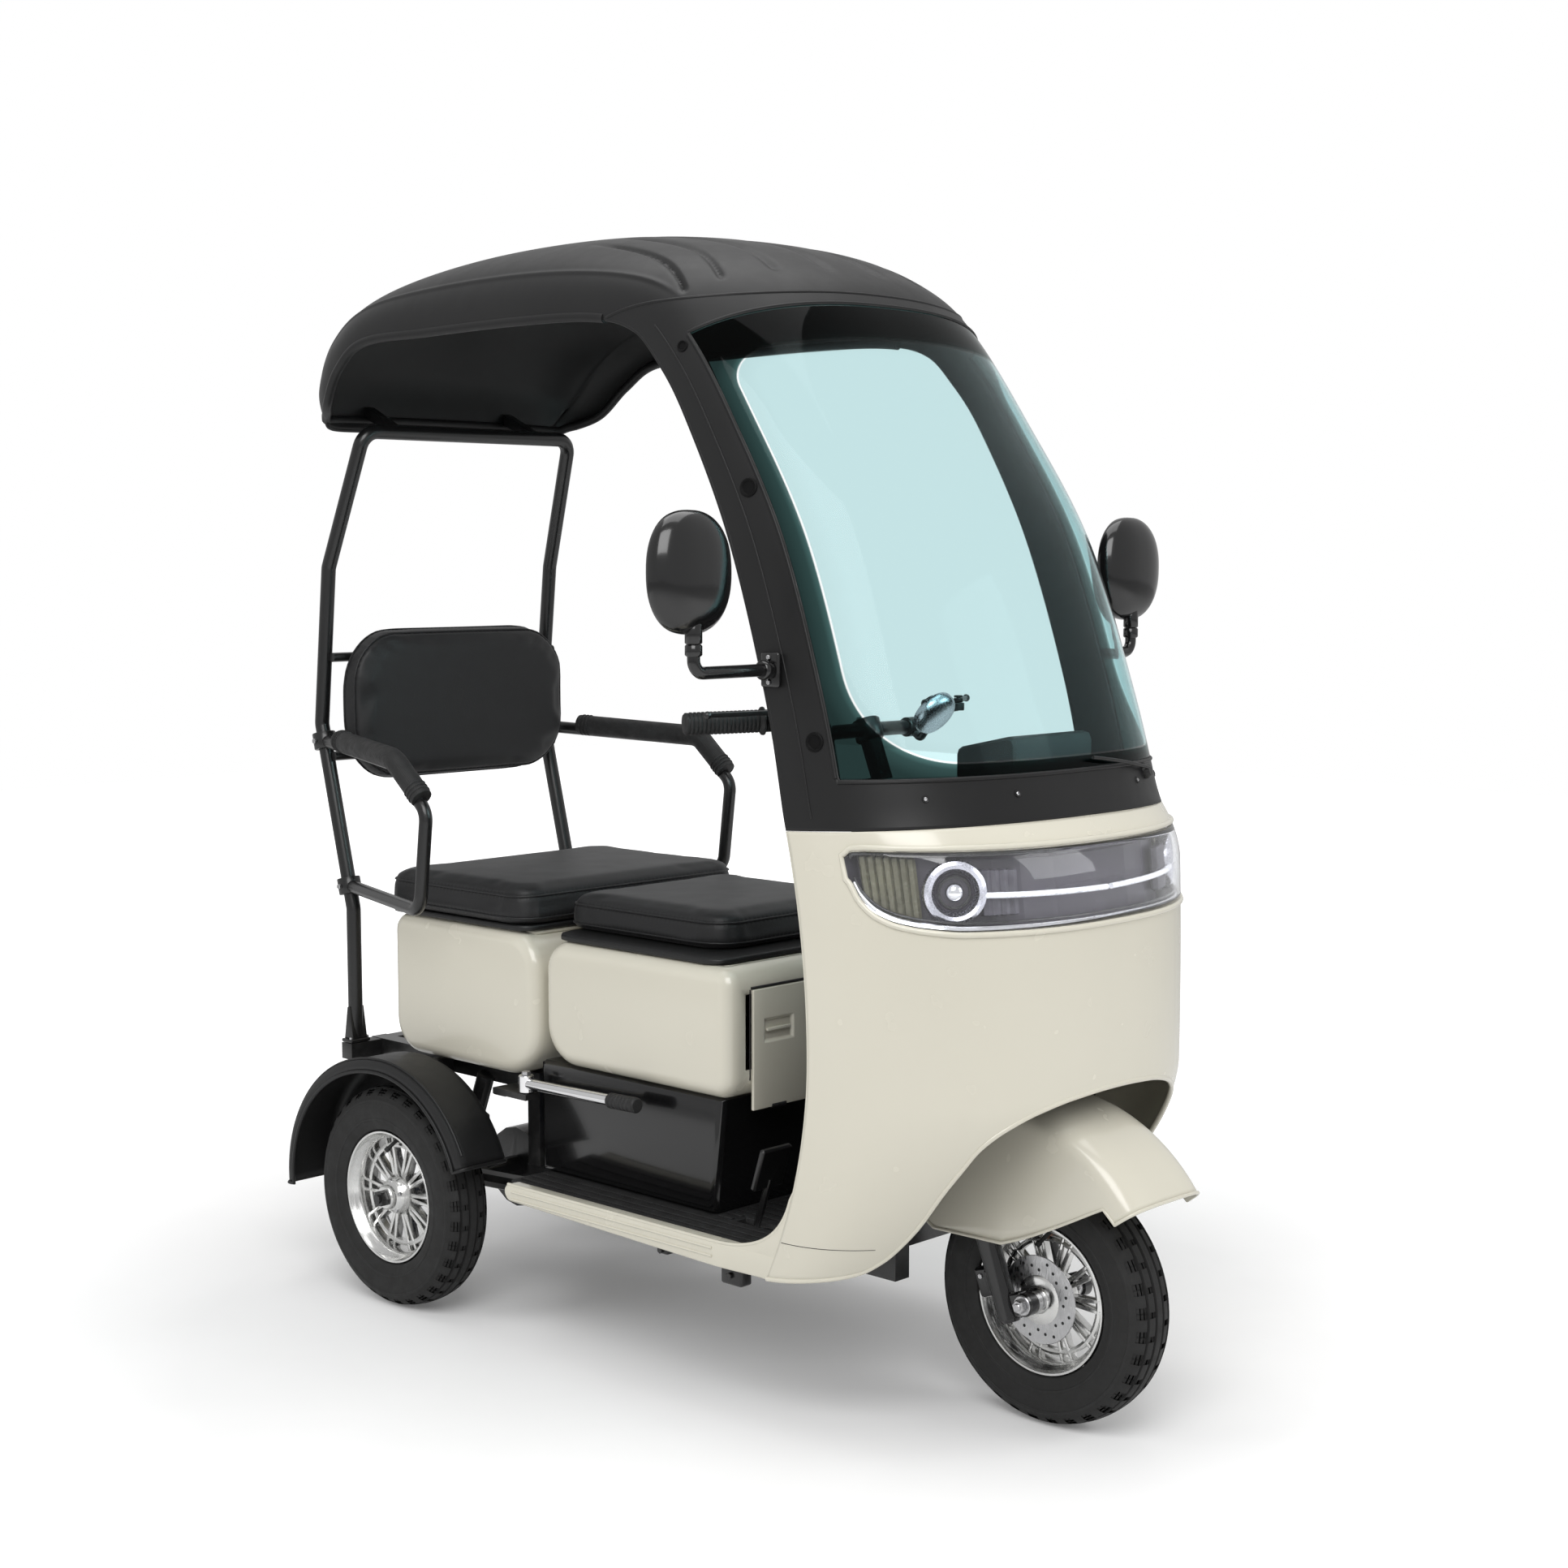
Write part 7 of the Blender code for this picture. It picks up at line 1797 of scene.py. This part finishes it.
def seat_pad(half, y_range, low, high, radii, crown):
    """A plain seat pad in the shared frame: rounded in plan and along its edges, and crowned."""
    bm = pushed(rounded(oblong(half, *y_range), radii), "z", low, high, 0.013, 4)
    split_long(bm)
    middle, reach = sum(y_range) / 2, (y_range[1] - y_range[0]) / 2
    for vert in bm.verts:
        share = max(0.0, (vert.co.z - low) / (high - low) - 0.5) * 2
        across = max(0.0, 1 - (vert.co.x / half) ** 2)
        along = max(0.0, 1 - ((vert.co.y - middle) / reach) ** 2)
        vert.co.z += crown * share * across * along
        vert.co.y += ROOT_Y
    return bm


def seat_line(half, y_range, z, radii):
    """A closed line round a seat pad at one height, in the shared frame."""
    line = rounded(oblong(half, *y_range), radii, 10)
    return dense([Vector((x, y + ROOT_Y, z)) for x, y in line], 0.009)


def dense(outline, pitch):
    """The closed line again, with points no further apart than the pitch."""
    line = []
    for start, end in zip(outline, outline[1:] + outline[:1]):
        count = max(1, int((end - start).length / pitch))
        line += [start + (end - start) * (k / count) for k in range(count)]
    return line


def upholster(pad, node, body):
    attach(pad, body)
    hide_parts(node)


def make_cushions():
    """The saddle, the bench and the backrest, each with a welt and a hem."""
    for body, half, y_range, radii, low, high, lines in (
        (
            "saddle", 0.186, (0.490, 0.8520), [0.052, 0.052, 0.040, 0.040], 0.6500, 0.7020,
            (("welt", 0.0005, 0.6925, 0.0018, 0.0017), ("hem", 0.0015, 0.6590, 0.0014, 0.0015)),
        ),
        (
            "bench", 0.252, (0.8700, 1.2390), [0.050, 0.050, 0.046, 0.046], 0.6550, 0.7130,
            (("welt", 0.0015, 0.7030, 0.0018, 0.0018), ("hem", 0.0025, 0.6650, 0.0014, 0.0015)),
        ),
    ):
        plain = seat_pad(half, y_range, low, high, radii, 0.004)
        pad = sewn(body + "_pad", plain, (2, 1), low, 3.5)
        for word, out, z, sink, radius in lines:
            line = seat_line(half + out, y_range, z, radii)
            stitch(pad, line, body, body + "_" + word, sink, radius)
        upholster(pad, body + "_cushion", body)

    outline = rounded(oblong(0.240, 0.856, 1.118), 0.096, 12)
    plain = pushed(outline, "y", BACK_Y - 0.0440, BACK_Y, 0.014, 4)
    split_long(plain)
    bmesh.ops.translate(plain, vec=(0, ROOT_Y, 0), verts=plain.verts)
    pad = sewn("backrest_pad", plain, (1, -1), BACK_Y + ROOT_Y, 3.0)
    for word, depth, sink in (("welt", 0.036, 0.0016), ("hem", 0.010, 0.0014)):
        line = [Vector((x, BACK_Y - depth + ROOT_Y, z)) for x, z in outline]
        stitch(pad, dense(line, 0.009), "chassis", "backrest_" + word, sink, 0.0016)
    upholster(pad, "backrest_cushion", "chassis")


# ---------------------------------------------------------------- hoop, armrests and controls


def make_hoop():
    """The bent tube over the seats, its feet, tie bars and roof lugs, and the backrest's board."""
    route = [(POST_LOW[0], POST_FOOT), POST_LOW, POST_MID, POST_HIGH, (HOOP_Y, HOOP_Z)]
    points = [Vector((-POST_X, y, z)) for y, z in route]
    points[-1].x = -POST_X + 0.020
    points += [Vector((-p.x, p.y, p.z)) for p in reversed(points)]
    hoop = tube(bmesh.new(), bent(points, 0.030, 12), POST_RADIUS, roundness=6)
    for side in (-1, 1):
        x, (y, z) = side * POST_X, route[0]
        merge(hoop, block((x - 0.020, y - 0.0145, z), (x + 0.020, y + 0.0145, z + 0.006), 0.0018, 2))
        low, high = z + 0.004, z + 0.062
        gusset = [(y - 0.0125, low), (y + 0.0125, low), (y + 0.0030, high), (y - 0.0030, high)]
        merge(hoop, pushed(rounded(gusset, 0.002, 4), "x", x - 0.0155, x + 0.0155, 0.0016, 2))
        rim = skin_point(side * 0.36, LAST_SECTION - 0.18)
        reach = rim.y - 0.005 - 0.0028
        outline = [
            (HOOP_Y - 0.004, HOOP_Z - 0.003), (HOOP_Y + 0.008, HOOP_Z - 0.003), (reach, rim.z - 0.010),
            (reach, rim.z + 0.010), (HOOP_Y + 0.004, HOOP_Z + 0.009),
        ]
        low, high = sorted((rim.x, rim.x - side * 0.020))
        merge(hoop, pushed(outline, "x", low, high, 0.0010, 2))
    tie_y = BACK_Y + 0.0004 + 0.008
    for z in TIE_HEIGHTS:
        merge(hoop, rod((-POST_X, tie_y, z), (POST_X, tie_y, z), 0.008, 28))
    piece("hoop_tube", hoop, "black_paint", "chassis", ["rear_hoop"], smooth=45)
    bolts = bmesh.new()
    for side in (-1, 1):
        for dx in (-0.0165, 0.0165):
            at = Vector((side * POST_X + dx, POST_LOW[0] - 0.0085, POST_FOOT + 0.0055))
            add_bolt(bolts, at, (0, 0, 0.0042), 0.0036)
        for z in TIE_HEIGHTS:
            head = turned([(0, 0), (0.0060, 0), (0.0050, 0.0042), (0.002, 0.0046), (0, 0.003)], 20)
            merge(bolts, aim(head, (side * 0.150, tie_y + 0.0060, z), (0, 1, 0)))
    piece("hoop_bolts", bolts, "brushed_steel", "chassis")
    outline = rounded(oblong(0.222, 0.874, 1.100), 0.055, 10)
    board = pushed(outline, "y", BACK_Y - 0.0030, BACK_Y + 0.0002, 0.0009, 2)
    piece("backrest_board", board, "black_plastic", "chassis")


def make_armrests():
    """The gate-like arms that turn on the posts, with their soft covers."""
    for side, word in SIDES:
        low, high = Vector((side * POST_X, *POST_LOW)), Vector((side * POST_X, *POST_MID))
        along = (high - low).normalized()
        upper, lower = low + along * ((high - low).length - 0.030), low + along * 0.040
        top = mirrored(ARM_FRONT, side)
        foot = Vector((top.x, top.y + 0.020, 0.676))
        knee = Vector((top.x, top.y + 0.085, top.z + 0.072))
        toward, toward_low = (knee - upper).normalized(), (foot - lower).normalized()
        route = bent([upper + toward * 0.014, knee, top, foot, lower + toward_low * 0.014], 0.032, 12)
        arm = tube(bmesh.new(), route, 0.011, roundness=6)
        clamp = [
            (0.0133, 0), (0.0190, 0), (0.0200, 0.0012), (0.0200, 0.0268), (0.0190, 0.028), (0.0133, 0.028),
        ]
        for spot in (upper, lower):
            merge(arm, aim(turned(clamp, 36, closed=True), spot - along * 0.014, along))
        body = "armrest_arm_" + word
        piece("armrest_tube_" + word, arm, "black_paint", body, ["armrest_" + word], smooth=45)
        pins = bmesh.new()
        for spot in (upper, lower):
            at = spot + Vector((side * 0.0195, 0, 0))
            add_bolt(pins, at, (side * 0.0050, 0, 0), 0.0048, 0.0008)
        piece("armrest_pins_" + word, pins, "brushed_steel", body)

        slope, drop = (knee - upper).normalized(), (top - knee).normalized()
        above = slope.cross(Vector((side, 0, 0))).normalized()
        above = -above if above.z < 0 else above
        before = drop.cross(Vector((side, 0, 0))).normalized()
        before = -before if before.y > 0 else before
        lift = 0.0085
        over_knee = knee + (above + before) * (lift / (1 + above.dot(before)))
        run = [upper + (knee - upper) * 0.24 + above * lift, over_knee, top - drop * 0.022 + before * lift]
        line = bent(run, 0.045, 14)
        sleeve = tube(bmesh.new(), line, 0.0182, roundness=7)
        piece(
            "armrest_cover_" + word, sleeve, "rubber", body, ["armrest_pad_" + word], bevel=0.004, smooth=50
        )
        bands = bmesh.new()
        band = [(0.0176, 0), (0.0190, 0.0004), (0.0196, 0.0017), (0.0190, 0.0030), (0.0176, 0.0034)]
        for start, end in ((line[0], line[1]), (line[-1], line[-2])):
            along_pad = (end - start).normalized()
            for k in range(3):
                at = start + along_pad * (0.007 + 0.007 * k)
                merge(bands, aim(turned(band, 40, closed=True), at, along_pad))
        piece("armrest_bands_" + word, bands, "rubber", body)


def grip_frame(side):
    """Where a grip starts, and its directions: along it, ahead and up."""
    start, end = mirrored(GRIP_INNER, side), mirrored(GRIP_OUTER, side)
    along = (end - start).normalized()
    ahead = Vector((0, 0, 1)).cross(along) * side
    ahead = (-ahead if ahead.y > 0 else ahead).normalized()
    up = along.cross(ahead).normalized()
    return start, along, ahead, -up if up.z < 0 else up


def make_controls():
    """Handlebar, grips, levers with their perches and the round display."""
    axis = steering_point(STEM_TOP + 0.018)
    along = (GRIP_OUTER - GRIP_INNER).normalized()
    shoulder = Vector((0.100, axis.y - 0.006, axis.z))
    end = GRIP_INNER + along * (GRIP_LONG - 0.007)
    half = bent([axis, shoulder, GRIP_INNER - along * 0.020, end], 0.050, 12)
    bar = tube(bmesh.new(), [mirrored(p, -1) for p in reversed(half[1:])] + half, 0.011, roundness=6)
    merge(bar, rod(steering_point(STEM_TOP + 0.0004), steering_point(STEM_TOP + 0.034), 0.022, 36, 0.003))
    piece("bar_tube", bar, "black_paint", "steering", ["handlebar"], smooth=45)
    steel = bmesh.new()
    up_axis = (steering_point(1.0) - steering_point(0.0)).normalized()
    for side in (-1, 1):
        at = steering_point(STEM_TOP + 0.0335, side * 0.013)
        add_bolt(steel, at, up_axis * 0.0045, 0.0040)
    grips = (
        (-1, "right", "throttle_sleeve_grip", "throttle_grip", "throttle_sleeve"),
        (1, "left", "left_grip_ribbed", "grip_left", "steering"),
    )
    for side, word, name, node, body in grips:
        start, forward, ahead, up = grip_frame(side)
        profile = [(0.0116, 0), (0.0205, 0), (0.0210, 0.0015), (0.0205, 0.0040), (0.0175, 0.0060)]
        for k in range(17):
            z = 0.0085 + 0.0061 * k
            profile += [(0.0158, z), (0.0168, z + 0.0012), (0.0168, z + 0.0042), (0.0158, z + 0.0052)]
        profile += [
            (0.0162, 0.1145), (0.0162, 0.1170), (0.0135, 0.1196), (0, 0.1200), (0, 0.1140), (0.0116, 0.1140)
        ]
        grip = aim(turned(profile, 36, closed=True), start, forward)
        piece(name, grip, "rubber", body, [node], smooth=50)
        root = start - forward * 0.010
        perch = rod(root - forward * 0.009, root + forward * 0.009, 0.0165, 28, 0.002)
        pivot = root + ahead * 0.038
        merge(perch, rod(root + ahead * 0.008, pivot + up * 0.0045, 0.0075, 20, 0.001))
        for low, high, radius, sides, chamfer in (
            (-0.0020, 0.0100, 0.0095, 24, 0.001), (0.0182, 0.0216, 0.0070, 24, 0.001),
            (0.0090, 0.0200, 0.0030, 12, 0.0),
        ):
            merge(perch, rod(pivot + up * low, pivot + up * high, radius, sides, chamfer))
        pod = block((-0.014, -0.016, -0.020), (0.014, 0.018, 0.016), 0.006, 4)
        turn = Matrix((forward, ahead, up)).transposed().to_4x4()
        shifted(pod, Matrix.Translation(root - forward * 0.027) @ turn)
        piece("switch_pod_" + word, merge(perch, pod), "black_plastic", "steering")
        for k, (out, colour) in enumerate(((0.0, "amber_lens"), (0.0125, "rubber"))):
            spot = root - forward * (0.033 - out) + up * 0.0155
            button = turned([(0, 0), (0.0042, 0), (0.0040, 0.0022), (0.0028, 0.0032), (0, 0.0034)], 20)
            piece("switch_%s_%d" % (word, k), aim(button, spot, up), colour, "steering")
    piece("bar_bolts", steel, "brushed_steel", "steering")
    for word in ("right", "left"):
        refined("brake_lever_" + word, "black_paint", 0.0012)
    refined("brake_pedal", "black_paint", 0.0012)

    centre, facing = Vector((0.090, 0.305, 1.005)), Vector((0, 0.80, 0.60))
    rim = [
        (0, -0.0100), (0.026, -0.0100), (0.033, -0.0065), (0.036, -0.0010), (0.036, 0.0078),
        (0.0345, 0.0100), (0.0320, 0.0100), (0.0305, 0.0082), (0.0305, 0.0070), (0, 0.0070),
    ]
    piece("display_case", aim(turned(rim, 64), centre, facing), "lamp_ring", "steering", ["display"])
    face = turned([(0, 0.0068), (0.0304, 0.0068), (0.0304, 0.0078), (0, 0.0082)], 48)
    piece("display_face", aim(face, centre, facing), "dial_face", "steering")
    ticks = bmesh.new()
    for k in range(21):
        a = math.radians(-120 + 12 * k)
        long = 0.0055 if k % 5 == 0 else 0.0032
        mark = block((-0.00045, 0.0285 - long, 0.0080), (0.00045, 0.0285, 0.0087), 0.0002, 1)
        bmesh.ops.rotate(mark, verts=mark.verts, cent=(0, 0, 0), matrix=Matrix.Rotation(-a, 3, "Z"))
        merge(ticks, mark)
    hand = block((-0.0006, -0.004, 0.0086), (0.0006, 0.021, 0.0092), 0.0003, 1)
    turn = Matrix.Rotation(math.radians(118), 3, "Z")
    bmesh.ops.rotate(hand, verts=hand.verts, cent=(0, 0, 0), matrix=turn)
    merge(ticks, hand)
    piece("display_marks", aim(ticks, centre, facing), "gloss_black", "steering")
    down = Vector((1, 0, 0)).cross(facing).normalized()
    down = down if down.z < 0 else -down
    rim_at = centre + down * 0.0364
    foot = Vector((rim_at.x, shoulder.y, shoulder.z))
    route = bent([foot, rim_at + down * 0.012, rim_at - down * 0.002], 0.006, 6)
    stalk = tube(bmesh.new(), route, 0.0058, roundness=4)
    reach = Vector((0.010, 0, 0))
    merge(stalk, rod(foot - reach, foot + reach, 0.0150, 28, 0.002))
    piece("display_stalk", stalk, "black_paint", "steering")


def squared(bm, centre):
    """Sets a round shape up as a mirror: wider across the corners, and facing along Y."""
    half_x, half_z = MIRROR_HALF
    for vert in bm.verts:
        r = math.hypot(vert.co.x, vert.co.y)
        c, s = (vert.co.x / r, vert.co.y / r) if r > 1e-9 else (1.0, 0.0)
        x = half_x * r * math.copysign(abs(c) ** 0.85, c)
        z = half_z * r * math.copysign(abs(s) ** 0.85, s)
        vert.co = centre + Vector((x, vert.co.z, z))
    bmesh.ops.recalc_face_normals(bm, faces=bm.faces)
    return bm


def make_mirrors():
    """The mirrors on their stems, and the arms that carry them."""
    for side, word in SIDES:
        centre = mirrored(MIRROR, side)
        depth = [
            (0.0, 0.0034), (0.895, 0.0034), (0.900, 0.0088), (0.925, 0.0098), (0.965, 0.0096),
            (0.992, 0.0070), (1.0, 0.0030),
        ]
        rounds = 14
        for k in range(1, rounds + 1):
            a = k / rounds * math.pi / 2
            wide = math.cos(a) ** 0.82 if k < rounds else 0.0
            depth.append((wide, -0.0010 - 0.0325 * math.sin(a) ** 1.15))
        bm = squared(turned(depth, 72), centre)
        stem_y = MIRROR.y - 0.008
        foot = Vector((centre.x, stem_y, MIRROR.z - MIRROR_HALF[1] - 0.012))
        merge(bm, rod(foot, foot + Vector((0, 0, 0.030)), 0.0118, 32, 0.0015))
        piece(
            "mirror_cup_" + word, bm, "gloss_black", "mirror_" + word, ["mirror_shell_" + word], smooth=45
        )
        pane = turned([(0, 0), (0.890, 0), (0.893, 0.0015), (0.880, 0.0034), (0, 0.0034)], 72)
        squared(pane, centre + Vector((0, 0.0036, 0)))
        piece("mirror_pane_" + word, pane, "mirror_glass", "mirror_" + word, ["mirror_glass_" + word])
        y, z = stem_y, MIRROR_ARM_Z
        top = foot - Vector((0, 0, 0.0004))
        route = bent([Vector((side * 0.346, y, z)), Vector((centre.x, y, z)), top], 0.018, 12)
        arm = tube(bmesh.new(), route, 0.0088, roundness=5)
        low, high = sorted((side * 0.3417, side * 0.3500))
        merge(arm, block((low, y - 0.017, z - 0.024), (high, y + 0.017, z + 0.024), 0.0035, 3))
        merge(arm, rod(top - Vector((0, 0, 0.016)), top, 0.0118, 32, 0.002))
        merge(arm, rod((side * 0.349, y, z), (side * 0.366, y, z), 0.0135, 28, 0.002))
        piece("mirror_arm_" + word, arm, "gloss_black", "chassis", ["mirror_bracket_" + word], smooth=45)
        bolts = bmesh.new()
        for dz in (-0.017, 0.017):
            at = Vector((side * 0.3495, y, z + dz))
            add_bolt(bolts, at, (side * 0.0035, 0, 0), 0.0036)
        piece("mirror_bolts_" + word, bolts, "brushed_steel", "chassis")


def lean(side, along, out=0.0):
    """A point at a height along a damper's leaning axis, and a distance before it."""
    y, z = SHOCK_FOOT
    c, s = math.cos(SHOCK_LEAN), math.sin(SHOCK_LEAN)
    return Vector((side * SHOCK_X, y - along * s - out * c, z + along * c - out * s))


def make_springs():
    """The rear springs, coiled along the dampers' leaning axes."""
    low, high = SPRING_SPAN[0] + SPRING_WIRE, SPRING_SPAN[1] - SPRING_WIRE
    turns, count = 4, 160
    for side, word in SIDES:
        line = []
        for k in range(count + 1):
            wound = turns * k / count
            climb = float(np.interp(wound, (0, 1, turns - 1, turns), (0, 0.09, 0.91, 1)))
            angle = wound * 2 * math.pi
            point = lean(side, low + (high - low) * climb, SPRING_RADIUS * math.cos(angle))
            line.append(point + Vector((SPRING_RADIUS * math.sin(angle), 0, 0)))
        coil = tube(bmesh.new(), line, SPRING_WIRE)
        spring = piece(
            "spring_coil_" + word, coil, "chrome", "chassis", ["shock_spring_" + word], smooth=60
        )
        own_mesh(spring)


def make_pegs():
    """The foot pegs that fold out."""
    for side, word in SIDES:
        hub, tip = mirrored(PEG_PIVOT, side), mirrored(PEG_TIP, side)
        along = (tip - hub).normalized()
        rail = rod(hub, tip - along * 0.052, 0.009, 32)
        merge(rail, rod(hub - Vector((0, 0, 0.014)), hub + Vector((0, 0, 0.014)), 0.0125, 32, 0.0015))
        body = "peg_" + word
        piece("peg_bar_" + word, rail, "chrome", body, ["foot_peg_" + word])
        profile = [(0, 0), (0.0112, 0), (0.0120, 0.0015)]
        for k in range(6):
            z = 0.006 + 0.0088 * k
            profile += [(0.0120, z), (0.0108, z + 0.0012), (0.0108, z + 0.0030), (0.0120, z + 0.0042)]
        profile += [(0.0120, 0.0630), (0.0095, 0.0655), (0, 0.0660)]
        piece("peg_sleeve_" + word, aim(turned(profile, 32), tip - along * 0.060, along), "rubber", body)
        cap = rod(hub + Vector((0, 0, 0.0138)), hub + Vector((0, 0, 0.0200)), 0.0078, 6, 0.001)
        piece("peg_nut_" + word, cap, "brushed_steel", "chassis")


make_cushions()
make_hoop()
make_armrests()
make_controls()
make_mirrors()
make_springs()
make_pegs()
